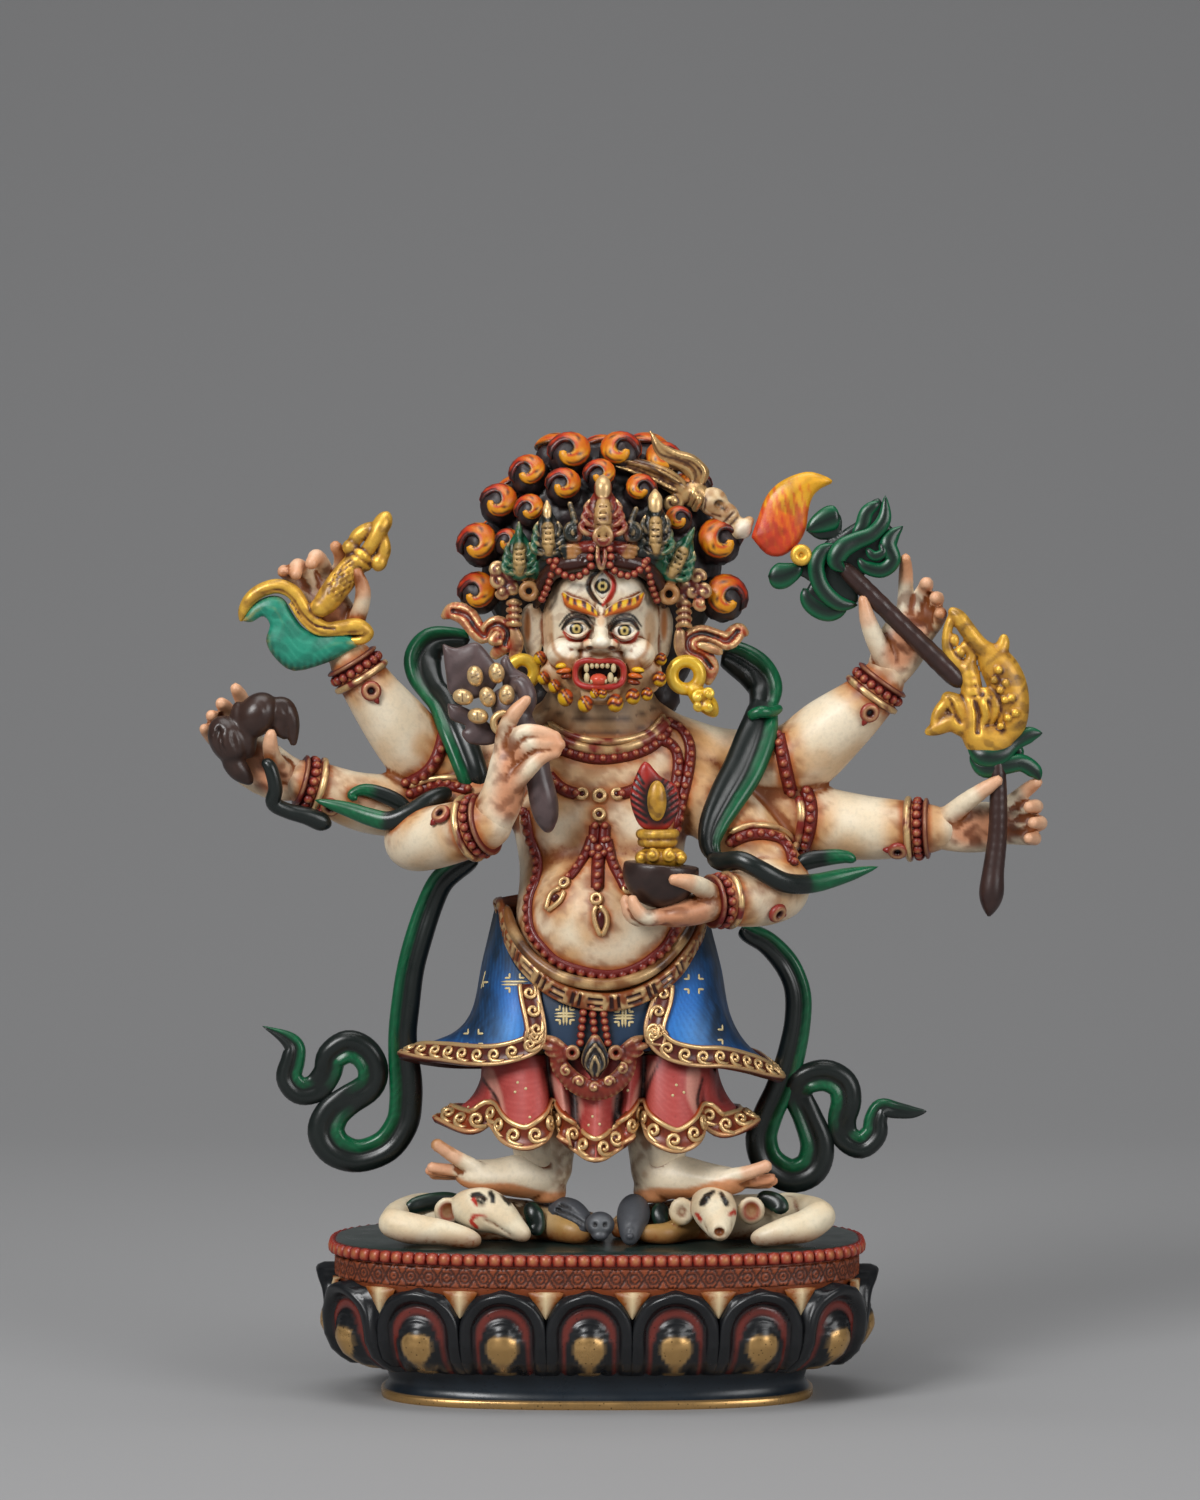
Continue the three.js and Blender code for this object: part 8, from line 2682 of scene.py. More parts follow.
# flying ends: across, down, depth, half width and half thickness
SCARF_ENDS = [
    [(708, 856, -7.4, 0.6, 0.5), (722, 862, -8.6, 0.85, 0.6), (741, 861, -10, 0.85, 0.6),
     (760, 870, -10.4, 0.85, 0.6),
     (785, 883, -9.6, 0.9, 0.6), (812, 884, -8, 0.85, 0.55), (842, 877, -6.4, 0.7, 0.5),
     (879, 867, -5.2, 0.3, 0.3)],
    [(452, 791, -4.4, 0.6, 0.5), (433, 799, -5.4, 0.85, 0.6), (410, 813, -5.9, 0.85, 0.6),
     (389, 821, -5.8, 0.85, 0.6), (369, 817, -5.4, 0.8, 0.55), (346, 809, -5, 0.66, 0.5),
     (314, 800, -4.8, 0.3, 0.3)],
    [(790, 872, -4.2, 0.5, 0.4), (806, 862, -4.2, 0.8, 0.5), (826, 858, -4.2, 0.75, 0.5),
     (845, 857, -4, 0.6, 0.45), (857, 861, -4, 0.35, 0.3)],
    [(412, 814, -3.6, 0.4, 0.4), (399, 803, -3.4, 0.7, 0.5), (380, 794, -3.4, 0.7, 0.5),
     (363, 790, -3.4, 0.55, 0.45), (351, 795, -3.6, 0.4, 0.35), (357, 800, -3.8, 0.3, 0.3)],
    [(262, 760, -5.6, 0.45, 0.45), (270, 768, -5.8, 0.6, 0.6), (275, 788, -5.6, 0.65, 0.65),
     (273, 803, -5.2, 0.7, 0.65), (287, 811, -4.8, 0.7, 0.65), (306, 816, -4.4, 0.8, 0.7),
     (321, 822, -4, 0.85, 0.7), (331, 826, -3.6, 0.5, 0.5)],
    [(748, 717, -1.6, 0.45, 0.4), (760, 712, -1.9, 0.55, 0.5), (772, 712, -1.4, 0.5, 0.45),
     (782, 707, -0.4, 0.35, 0.3)],
]
# how far along each end the green begins, 2 for never and -1 for all along, and how soft that edge is
END_GREEN = [0.62, 0.52, 0.6, 0.6, 2, -1]
END_REACH = [0.03, 0.03, 0.1, 0.1, 0.05, 0.1]

# %% Sweeping the bands and brushing them
scarf_parts, scarf_green, scarf_groove = [], [], []
for rows in SCARF:
    points, faces, green, groove = scarf_band(rows)
    scarf_parts.append((points, faces))
    scarf_green.append(green)
    scarf_groove.append(groove)
for rows, start, reach in zip(SCARF_ENDS, END_GREEN, END_REACH):
    path = tapered(smooth_path(seen_path(rows), 6), 0.08, 0.12)
    points, faces, where = sweep(path, rounded(12))
    share = where[:, 0] / where[:, 0].max()
    scarf_parts.append((points, faces))
    scarf_green.append(ramp(share, start - reach, start + reach))
    scarf_groove.append(np.zeros(len(share)))
scarf_points, scarf_faces = merged(scarf_parts)
scarf_paint = Paint(scarf_points, "#161D1B")
scarf_paint.brush(np.concatenate(scarf_green), GREEN)
scarf_paint.brush(np.concatenate(scarf_groove) * 0.8, "#0A0D0C")
fibre = np.sin(scarf_points[:, 2] * 9 + np.sin(scarf_points[:, 0] * 7) * 2)
scarf_paint.brush(np.concatenate(scarf_green) * ramp(fibre, 0.2, 1) * 0.35, "#127A4A")
scarf_paint.wash = 0.5 * ramp(-proud(scarf_points, face_array(scarf_faces), 6), 0, 0.05)
worn_piece("scarf", scarf_points, scarf_faces, scarf_paint, BLACK_GREEN)

# %% [markdown]
# ## What the hands hold
# On the left: a chopper with its vajra grip, a small hourglass drum in its cloth, and a jewel tree. On the
# right: a trident with a skull and a flame, a goad with a sea beast's head, and a skull cup with a vase and
# a burning jewel. They are flat, as in most such castings, so their outlines are pressed out as plates that
# swell towards the middle. Their ridges and scrolls are thin limbs laid on top.

# %% The chopper
def model_blade():
    """The crescent blade, as a plate."""
    clay = Clay([-33, -4.6, 50], [-19.5, 0.2, 59.5], 0.15)
    press_plate(clay, [(242, 621), (251, 606), (268, 596), (283, 598), (292, 612), (303, 627), (318, 634),
                       (338, 630), (360, 642), (345, 653),
                       (326, 663), (294, 671), (275, 658), (266, 641), (270, 625), (263, 616), (252, 622)],
                       -2.6, 0.5, 0.55)
    return clay


def blade_coat(paint):
    """Turquoise with pale strokes, and dark teeth along the cutting edge."""
    strokes = np.sin(paint.points[:, 0] * 5 + paint.points[:, 2] * 7 + np.sin(paint.points[:, 0] * 2.3) * 2)
    paint.brush(ramp(strokes, 0.1, 1) * 0.4, "#3FA68A")
    edge = path_distance(paint.points, [seen(266, 641, -2.6), seen(276, 660, -2.6), seen(294, 672, -2.6),
                                        seen(326, 664, -2.6)])
    teeth = 0.5 + 0.5 * np.sin(paint.points[:, 0] * 11)
    paint.brush((1 - ramp(edge, 0.5, 1.5)) * (0.35 + 0.5 * teeth), "#0F4A3E")
    paint.brush((1 - ramp(edge, 0.1, 0.4)) * 0.4, "#7A4A28")


TURQUOISE = painted("turquoise acrylic", wash="#12302A", gold="#E0A72E", roughness=0.42, gold_metal=0.0,
                    grain_mm=0.3, bump=0.2)
BROWN = painted("dark brown acrylic over brass", wash="#150D0B", gold="#8C6A5C", roughness=0.33,
                gold_metal=0.0, grain_mm=0.45, bump=0.18)
YELLOW_GOLD = painted("worn fire gilding with brown wash", wash="#4A2410", gold="#F9C650", roughness=0.38,
                      gold_metal=0.6, grain_mm=0.3, bump=0.2, dirt=0.4)
PALE_GOLD = painted("pale gilding over brown", wash="#3A1C10", gold="#DDB77E", roughness=0.3, gold_metal=0.85,
                    grain_mm=0.35, bump=0.15)


def grimed(paint):
    """Brown left in patches on the gilding, where it wasn't wiped."""
    old = ramp(mottle(paint.points, 0.8, 19), 0.5, 0.85)
    paint.wash = np.clip(paint.wash + 0.55 * old, 0, 1)
    paint.rub *= 1 - 0.5 * old


pressed("chopper_blade", model_blade(), "#1F8A70", TURQUOISE, coat=blade_coat, worn=False)


def model_chopper_gilding():
    """The blade's gilded back with its ridges, the grip cut by crossing spirals, collars and prongs."""
    clay = Clay([-33, -5.2, 53], [-17.5, 0, 66.5], 0.165)
    press_line(clay, [[241, 621, -2.8, 0.14], [243, 611, -2.9, 0.4], [250, 599, -3, 0.55, 0.6],
                      [262, 590, -3.1, 0.6, 0.6], [278, 586, -3.2, 0.62, 0.6], [293, 592, -3.2, 0.62, 0.6],
                      [302, 605, -3.2, 0.6, 0.6], [311, 619, -3.2, 0.6, 0.6], [326, 629, -3.2, 0.6, 0.6],
                      [342, 627, -3.2, 0.6, 0.6], [358, 626, -3.2, 0.66, 0.6], [368, 633, -3, 0.5],
                      [361, 640, -3, 0.4], [350, 640, -3, 0.2]], soft=0.15)
    press_line(clay, [[290, 604, -3.4, 0.16], [301, 620, -3.4, 0.2], [315, 632, -3.4, 0.22],
                      [332, 634, -3.4, 0.2], [352, 633, -3.4, 0.18], [362, 633, -3.6, 0.16]])
    press_line(clay, [[262, 593, -3.7, 0.1], [279, 590, -3.7, 0.12], [292, 598, -3.7, 0.12],
                      [302, 613, -3.7, 0.12], [315, 625, -3.7, 0.12], [335, 629, -3.7, 0.1]], carve=True)
    clay.ball(seen(321, 607, -3.4), [1.0, 0.9, 0.9], soft=0.15)
    press_line(clay, [[326, 602, -3.2, 1.1], [341, 582, -3, 1.2], [357, 562, -2.8, 1.1]])
    grip_low, grip_high = np.array(seen(329, 598, -3.2)), np.array(seen(356, 564, -2.8))
    line = grip_high - grip_low
    side = unit(np.cross(unit(line), (0, 1, 0)))
    front = np.cross(side, unit(line))
    front = front if front[1] < 0 else -front
    for way in (-1, 1):
        for start in np.arange(-1.2, 1.2, 0.28):
            helix = []
            for share in np.linspace(0, 1, 6):
                angle = way * share * 1.7 - way * 0.85
                along = start + share * 1.1
                if 0 <= along <= 1:
                    spot = (grip_low + line * along + side * 1.16 * math.sin(angle)
                            + front * 1.16 * math.cos(angle))
                    helix.append([*spot, 0.1])
            if len(helix) > 1:
                clay.limb(helix, steps=2, soft=0.04, carve=True)
    for a, b in ((358, 561), (362, 555)):
        press_line(clay, [[a - 8, b - 6, -2.8, 0.4], [a, b, -3.6, 0.42], [a + 9, b + 6, -2.8, 0.4]])
    for rows in ([[352, 548, -2.8, 0.5], [358, 536, -3, 0.62], [370, 529, -3.1, 0.6], [378, 530, -3, 0.45]],
                 [[378, 566, -2.8, 0.5], [384, 551, -3, 0.6], [382, 538, -3.1, 0.55], [379, 530, -3, 0.4]],
                 [[366, 553, -3, 0.6], [373, 542, -3.4, 0.6], [379, 530, -3.3, 0.75], [384, 521, -3, 0.75],
                  [387, 515, -2.9, 0.3]]):
        press_line(clay, rows, soft=0.15)
    clay.ball(seen(379, 562, -3), [0.75, 0.7, 0.8], soft=0.15)
    clay.ball(seen(350, 547, -3), [0.7, 0.7, 0.7], soft=0.15)
    return clay


pressed("chopper_gilding", model_chopper_gilding(), "#B07A26", YELLOW_GOLD, coat=grimed, low=-0.02, high=0.05)

# %% The drum in its cloth
def model_drum_bundle():
    """The two bowls of the drum wrapped in cloth, its knot and ends, with grooves for the folds."""
    clay = Clay([-37, -8.6, 39], [-25.5, -1.6, 50.5], 0.17)
    clay.ball(seen(257, 715, -4.8), [1.75, 1.7, 2.2], turned(-38), soft=0.25)
    clay.ball(seen(228, 740, -4.8), [1.7, 1.7, 2.3], turned(28), soft=0.25)
    clay.ball(seen(243, 730, -4.6), [1.1, 1.3, 2.6], turned(12), soft=0.2)
    clay.ball(seen(281, 713, -4.6), [1.2, 1.1, 1.1], turned(-10), soft=0.2)
    press_line(clay, [[270, 708, -4.6, 0.8], [284, 707, -4.6, 0.8], [291, 722, -4.6, 0.7],
                      [293, 742, -4.6, 0.35]], soft=0.2)
    press_line(clay, [[285, 711, -4.8, 0.7], [279, 727, -4.8, 0.6], [284, 735, -4.6, 0.4]], soft=0.15)
    press_line(clay, [[232, 762, -4.8, 0.9], [240, 772, -4.7, 0.8], [249, 781, -4.6, 0.35]], soft=0.3)
    press_line(clay, [[243, 698, -6.2, 0.14], [240, 716, -6.4, 0.16], [246, 742, -6.4, 0.16],
                      [254, 762, -6, 0.14]], carve=True)
    press_line(clay, [[226, 716, -6.2, 0.1], [221, 735, -6.3, 0.12], [226, 756, -6.2, 0.12],
                      [234, 770, -5.8, 0.1]], carve=True)
    press_line(clay, [[268, 722, -6.2, 0.12], [277, 731, -6, 0.14], [286, 735, -5.6, 0.12]], carve=True)
    for rows in ([[258, 698, -6.3, 0.2], [266, 712, -6.6, 0.24], [262, 728, -6.4, 0.2]],
                 [[236, 716, -6.2, 0.2], [233, 738, -6.5, 0.24], [240, 758, -6.3, 0.2]],
                 [[282, 704, -5.6, 0.18], [286, 716, -5.8, 0.2], [288, 736, -5.4, 0.16]],
                 [[219, 728, -6, 0.16], [216, 742, -6.2, 0.2], [222, 758, -6, 0.16]]):
        press_line(clay, rows, soft=0.15, carve=True)
    return clay


pressed("drum_bundle", model_drum_bundle(), "#382620", BROWN, low=0.02, high=0.22, most=0.55, worn=False)

# %% The jewel tree
SEEDS = [(475, 676, 10), (496.5, 673, 8), (463, 697, 75), (487.5, 697, 20), (506.5, 695, 0), (478, 716, 80)]


def model_tree():
    """Three leaves with grooves, a stalk down to the hand and a curl beside it."""
    clay = Clay([-15.6, -11, 36.6], [-3.4, -5.6, 54.6], 0.185)
    press_plate(clay, [(442, 643), (457, 648), (476, 642), (490, 656), (499, 672), (493, 690), (470, 700),
                       (450, 694), (446, 676)], -8, 0.35, 0.5)
    press_plate(clay, [(500, 660), (507, 655), (515, 668), (528, 676), (534, 692), (529, 712), (518, 722),
                       (505, 700)], -8, 0.35, 0.5)
    press_plate(clay, [(447, 703), (462, 706), (480, 716), (495, 730), (494, 744), (470, 744), (461, 733),
                       (466, 726), (450, 719)], -8.2, 0.35, 0.5)
    press_line(clay, [[522, 716, -9, 0.6], [528, 700, -9.3, 0.75], [524, 686, -9.2, 0.7], [516, 682, -9, 0.5],
                      [513, 692, -9, 0.35]], soft=0.15)
    for rows in ([[446, 648, -8.9, 0.11], [460, 662, -9, 0.12], [474, 668, -9, 0.1]],
                 [[468, 648, -8.8, 0.1], [480, 660, -9, 0.12], [490, 672, -9, 0.1]],
                 [[452, 656, -8.8, 0.2], [458, 672, -9, 0.22], [468, 688, -9, 0.2]],
                 [[482, 652, -8.8, 0.18], [488, 668, -9, 0.2], [486, 686, -9, 0.18]],
                 [[448, 708, -8.9, 0.18], [466, 715, -9.2, 0.2], [486, 722, -9.1, 0.18]],
                 [[456, 719, -8.9, 0.18], [472, 725, -9.2, 0.2], [490, 730, -9.1, 0.18]],
                 [[464, 730, -8.9, 0.18], [478, 735, -9.2, 0.2], [493, 738, -9.1, 0.18]],
                 [[510, 664, -8.9, 0.16], [518, 680, -9.2, 0.2], [524, 704, -9.2, 0.18]]):
        press_line(clay, rows, soft=0.12, carve=True)
    press_line(clay, [[504, 700, -8.6, 1.3, 1.1], [518, 728, -9, 1.5, 1.2], [530, 752, -9.4, 1.4, 1.2],
                      [538, 776, -9.6, 1.1], [543, 798, -9.6, 1.15], [546, 815, -9.4, 1.0],
                      [548, 829, -9.2, 0.35]], soft=0.3)
    return clay


pressed("jewel_tree", model_tree(), "#5A4A4A", BROWN, low=0.02, high=0.25, most=0.5, worn=False)


def model_seeds():
    """The tree's jewels, each with three slots, and a ring."""
    clay = Clay([-13.6, -11.6, 44.4], [-6.4, -8, 52.4], 0.13)
    for across, down, lean in SEEDS:
        x, y, z = seen(across, down, -9.6)
        clay.ball([x, y, z], [0.72, 0.8, 0.94], turned(lean), soft=0.05)
        for drop in (-0.34, 0.02, 0.36):
            slot = np.array([[-0.34, -0.74, drop - 0.06], [0, -0.86, drop],
                             [0.34, -0.74, drop + 0.1]]) @ turned(lean).T
            clay.limb([list(spot + [x, y, z]) + [0.075] for spot in slot], steps=3, soft=0.02, carve=True)
    press_ring(clay, (503, 723), -10, 9.4, 0.34, count=13)
    return clay


def seed_coat(paint):
    """Brown in the slots."""
    for across, down, lean in SEEDS:
        x, y, z = seen(across, down, -9.6)
        for drop in (-0.36, 0.02, 0.38):
            slot = np.array([[-0.34, -0.74, drop - 0.08], [0, -0.86, drop],
                             [0.34, -0.74, drop + 0.12]]) @ turned(lean).T
            path = slot + [x, y, z]
            paint.line(path, 0.09, "#4A2812", soft=0.05)
            paint.rub *= ramp(path_distance(paint.points, path), 0.08, 0.16)


pressed("jewels", model_seeds(), "#DDC090", PALE_GOLD, coat=seed_coat, low=-0.03, high=0.03, rounds=3)

# %% The skull cup, its vase and its burning jewel
def model_cup():
    """A skull cap, hollowed and cut along a leaning rim."""
    clay = Clay([1.8, -15.4, 28.6], [10, -7.6, 36.8], 0.17)
    x, y, z = seen(661, 872, -11.6)
    clay.ball([x, y, z], [3.35, 2.9, 3.2], soft=0.1)
    clay.ball([x, y, z + 2.6], [2.6, 2.3, 3.2], soft=0.15, carve=True)
    clay.press([x - 5, y - 4, z + 0.4], [x + 5, y + 4, z + 4],
               lambda p, q, r: (z + 0.7) - r + 0.09 * (x - p), 0.15, True)
    return clay


pressed("skull_cup", model_cup(), "#33231F", BROWN, low=0.03, high=0.3, most=0.35, worn=False)


def model_vase():
    """The vase with its handles, its neck of two rings, and the jewel that burns on it."""
    clay = Clay([1.8, -14.4, 32.2], [9.4, -8.8, 44], 0.13)
    x, y, z = seen(661, 858, -11.6)
    clay.ball([x, y, z], [2.3, 1.8, 1.1], soft=0.2)
    for side in (-1, 1):
        for k in range(2):
            centre = (661 + side * (9 + 11 * k), 856 + 3 * k)
            press_spiral(clay, centre, -13.3 + 0.5 * k, 5.4 - k, 1.2 * side, 90, 0.24)
    for down, wide in ((842, 1.35), (834, 1.5)):
        up = seen(658, down, -11.6)[2]
        clay.limb([[x - 0.3 + wide * math.cos(a), y + wide * 0.9 * math.sin(a), up, 0.42]
                   for a in np.linspace(0, 2 * math.pi, 15)], steps=2, soft=0.08)
    clay.ball([x - 0.3, y, seen(658, 840, -11.6)[2]], [1.3, 1.2, 1.2], soft=0.2)
    jewel = seen(657, 801, -12.9)
    clay.ball(jewel, [0.85, 0.6, 1.8], soft=0.1)
    press_line(clay, [[660, 788, -13.6, 0.1], [654, 797, -13.7, 0.12], [661, 805, -13.7, 0.12],
                      [656, 813, -13.6, 0.1]], soft=0.04, carve=True)
    return clay


pressed("vase_and_jewel", model_vase(), "#A8761E", YELLOW_GOLD, coat=grimed, low=-0.01, high=0.06)


def leaf_rays(count):
    """Rays of the leaf: where each begins in the middle, on which side, how high, and how far it reaches."""
    for share in np.linspace(0.1, 0.85, count):
        for side, wide in ((-1, 25), (1, 23)):
            yield 656 - 4 * share, side, 826 - share * 52, wide * (1 - 0.55 * max(0, share - 0.45) / 0.55)


def model_cup_leaf():
    """A leaf of flames with rays cut into its edge."""
    clay = Clay([1.6, -13.4, 36.6], [8.6, -10, 43.8], 0.13)
    rim = [(656, 832), (642, 828), (634, 815), (630, 797), (634, 780), (645, 761), (660, 776), (675, 785),
           (680, 802), (676, 818), (668, 829)]
    press_plate(clay, rim, -12, 0.35, 0.4)
    for across, side, down, reach in leaf_rays(8):
        press_line(clay, [[across + side * 12, down, -12.7, 0.12],
                          [across + side * reach, down - 8, -12.5, 0.22]],
                   soft=0.04, carve=True, steps=2)
    return clay


def cup_leaf_coat(paint):
    """Dark behind the jewel and in the rays."""
    paint.dab(seen(656, 802, -12.6), [1.25, 2, 2.2], "#241312", soft=0.3)
    for across, side, down, reach in leaf_rays(7):
        notch = [(across + side * 9, down + 2), (across + side * reach, down - 8)]
        seen_marks(paint, [notch], "#1E1210", 0.13, -12.6)


pressed("burning_leaf", model_cup_leaf(), "#A02A22", RED_GOLD, coat=cup_leaf_coat, low=0.2, high=0.4)

# %% The trident: its shaft, prongs and skull
def model_shafts():
    """The shafts of the trident and the goad, where they show."""
    clay = Clay([21, -4.6, 28.2], [37.6, -1.2, 61], 0.2)
    press_line(clay, [[846, 570, -3, 0.7], [862, 586, -3, 0.8], [903, 626, -3, 0.82], [946, 668, -3, 0.9],
                      [958, 680, -3, 0.75]], soft=0.15)
    press_line(clay, [[998, 766, -3.4, 0.7], [999, 800, -3.4, 0.78], [998, 838, -3.4, 0.85],
                      [994, 872, -3.4, 0.95], [992, 896, -3.4, 1.05], [990, 914, -3.4, 0.3]], soft=0.15)
    return clay


pressed("shafts", model_shafts(), "#3A2622", BROWN, low=0.03, high=0.3, most=0.35, worn=False)


def model_trident():
    """The curved prongs with their ridges, the ribbed middle one, a scroll and the collar."""
    clay = Clay([0.4, -4.8, 60], [13.6, 0.6, 73.6], 0.14)
    press_plate(clay, [(650, 431), (660, 442), (674, 449), (694, 455), (709, 470), (706, 482), (699, 494),
                       (688, 497), (690, 482), (680, 472), (664, 466), (654, 452)], -2.0, 0.5, 0.3)
    press_line(clay, [[650, 432, -2.2, 0.14], [662, 446, -2.4, 0.2], [678, 455, -2.5, 0.22],
                      [694, 460, -2.5, 0.24], [704, 472, -2.5, 0.24], [698, 490, -2.4, 0.22]])
    press_line(clay, [[652, 440, -2.2, 0.12], [660, 456, -2.4, 0.18], [674, 463, -2.5, 0.2],
                      [688, 470, -2.5, 0.22], [693, 482, -2.4, 0.2], [684, 487, -2.4, 0.18]])
    press_line(clay, [[606, 460, -2.2, 0.3], [624, 463, -2.4, 0.6], [648, 471, -2.4, 0.85, 0.7],
                      [668, 480, -2.4, 0.9, 0.7], [684, 492, -2.2, 0.8, 0.8]], soft=0.15)
    press_line(clay, [[612, 459, -3, 0.12], [636, 464, -3.2, 0.18], [660, 472, -3.2, 0.2],
                      [678, 482, -3.1, 0.2]])
    press_line(clay, [[616, 466, -3, 0.12], [636, 473, -3.2, 0.16], [656, 481, -3.2, 0.18],
                      [674, 490, -3.1, 0.18]])
    for k in range(7):
        press_line(clay, [[618 + k * 8, 459 + k * 3.2, -3.3, 0.08], [621 + k * 8, 470 + k * 3.4, -3.3, 0.1]],
                   soft=0.03, carve=True, steps=2)
    press_spiral(clay, (672, 502), -2.6, 9, -1.2, 60, 0.36)
    press_line(clay, [[684, 496, -2.2, 0.8], [694, 492, -2, 1.0], [700, 498, -2, 0.95]], soft=0.2)
    for shift in (0, 5):
        press_line(clay, [[690 + shift, 486 + shift, -2.4, 0.3], [694 + shift, 494 + shift, -3, 0.32],
                          [690 + shift, 504 + shift, -2.4, 0.3]], soft=0.06)
    return clay


TRIDENT_GROOVES = [[(653, 442), (660, 454), (675, 459), (688, 464), (696, 473), (693, 483)],
                   [(662, 462), (677, 469), (687, 479)],
                   [(620, 463), (644, 464), (662, 474), (683, 485)], [(632, 469), (654, 483), (677, 493)],
                   [(612, 458), (634, 459), (650, 463)]]


def trident_coat(paint):
    """Brown in the grooves, with a paler line below each."""
    spots, front = pictured(paint.points), np.ones(len(paint.points))
    for rows in TRIDENT_GROOVES:
        stroke(paint, spots, front, rows, [0.8, 1.7, 1.7, 0.8], "#3A1C10", 0.95, 0.9)
        stroke(paint, spots, front, [(a + 1.5, b + 3.4) for a, b in rows], [0.6, 0.9, 0.6], "#7A4A24",
               0.7, 0.8)
    paint.wash = np.clip(paint.wash + 0.5 * ramp(mottle(paint.points, 0.5, 41), 0.55, 0.85), 0, 1)


pressed("trident", model_trident(), "#9A7040", PALE_GOLD, coat=trident_coat, low=-0.015, high=0.03)


def model_skull():
    """A skull on the shaft: the dome, the jaw, sockets, teeth and the collars below."""
    clay = Clay([8, -4.6, 60.4], [15, 0.2, 68.4], 0.125)
    clay.ball(seen(713, 502, -2), [1.35, 1.2, 1.3], turned(-40), soft=0.2)
    clay.ball(seen(726, 515, -2), [1.3, 1.1, 1.1], turned(-45), soft=0.3)
    clay.ball(seen(719, 505, -3.2), [0.42, 0.45, 0.42], soft=0.08, carve=True)
    clay.ball(seen(726, 509, -3.1), [0.2, 0.3, 0.25], soft=0.06, carve=True)
    for k in range(4):
        press_line(clay, [[723 + k * 3, 521 - k * 3.2, -3.1, 0.09], [727 + k * 3, 525 - k * 3.2, -3, 0.1]],
                   soft=0.03, carve=True, steps=2)
    press_line(clay, [[716, 520, -2.8, 0.12], [722, 524, -3, 0.14], [734, 512, -2.9, 0.12]],
               soft=0.05, carve=True)
    press_line(clay, [[699, 500, -1.9, 0.8], [708, 494, -2.4, 0.5]], soft=0.2)
    press_line(clay, [[736, 534, -2.2, 0.5], [742, 529, -2.6, 0.62], [749, 521, -2.2, 0.45]], soft=0.1)
    press_line(clay, [[728, 520, -2, 0.8], [742, 529, -2, 0.9]], soft=0.2)
    return clay


def skull_coat(paint):
    """Dark sockets, brown seams, and a clean bead."""
    paint.dab(seen(719, 505, -3), [0.5, 1, 0.5], "#17100C")
    paint.dab(seen(726, 509, -3), [0.28, 1, 0.34], "#17100C")
    dirt = mottle(paint.points, 0.7, 18)
    paint.brush(0.7 * ramp(dirt, 0.3, 0.9), "#A87A48")
    for rows in ([(700, 490), (706, 500), (704, 510)], [(716, 520), (722, 524), (734, 512)],
                 [(728, 527), (738, 517)], [(712, 514), (720, 516)]):
        seen_marks(paint, [rows], "#4A2A18", 0.1, -3)
    paint.dab(seen(743, 530, -2.5), [0.7, 1.4, 0.9], "#EADDC6", soft=0.3)


pressed("trident_skull", model_skull(), "#D9BE94", ACRYLIC_SKIN, coat=skull_coat, low=0.5, high=0.9)

# %% The flame and its bead
def model_flame():
    """The flame behind the skull, as a plate."""
    clay = Clay([13, -4.4, 58], [22.2, -0.4, 69.6], 0.15)
    press_plate(clay, [(751, 537), (758, 517), (765, 498), (777, 484), (794, 475), (812, 472), (833, 481),
                       (820, 489), (812, 498), (808, 513), (806, 528), (798, 544),
                       (782, 556), (766, 554)], -2.4, 0.45, 0.65)
    return clay


def flame_coat(paint):
    """Red at the foot, then orange, then yellow, with wavy borders."""
    x, z = paint.points[:, 0], paint.points[:, 2]
    up = (z - 60) / 8.5 + (x - 15) * 0.045
    stroke = 0.12 * np.sin(x * 8 + z * 2.2) + 0.06 * np.sin(x * 17 - z * 3)
    stroke = stroke + 0.16 * (mottle(paint.points, 0.7, 24) - 0.5)
    paint.brush(ramp(up + stroke, 0.35, 0.75), "#DD6A1C")
    paint.brush(ramp(up + stroke, 0.75, 1.0), "#E9A81F")
    paint.brush(ramp(-up + stroke, -0.18, 0.12) * 0.7, "#9E2A1C")


pressed("flame", model_flame(), "#CC4022", FLAME, coat=flame_coat, low=0.5, high=0.9, worn=False)
bead_x, bead_y, bead_z = seen(801, 555, -3.3)
ring, _ = circle(np.array([bead_x, bead_y, bead_z]), np.array(FRONT, float), 0.58, 20)
bead_ring = sweep(strip(ring, 0.4, 0.4), rounded(10), closed=True)[:2]
ring_points, ring_faces = merged([bead_ring, lump([bead_x, bead_y + 0.25, bead_z], [0.5, 0.3, 0.5])])
ring_paint = gilded(ring_points, ring_faces, "#B4822A", low=-0.05, high=0.05)
worn_piece("ribbon_bead", ring_points, ring_faces, ring_paint, YELLOW_GOLD)

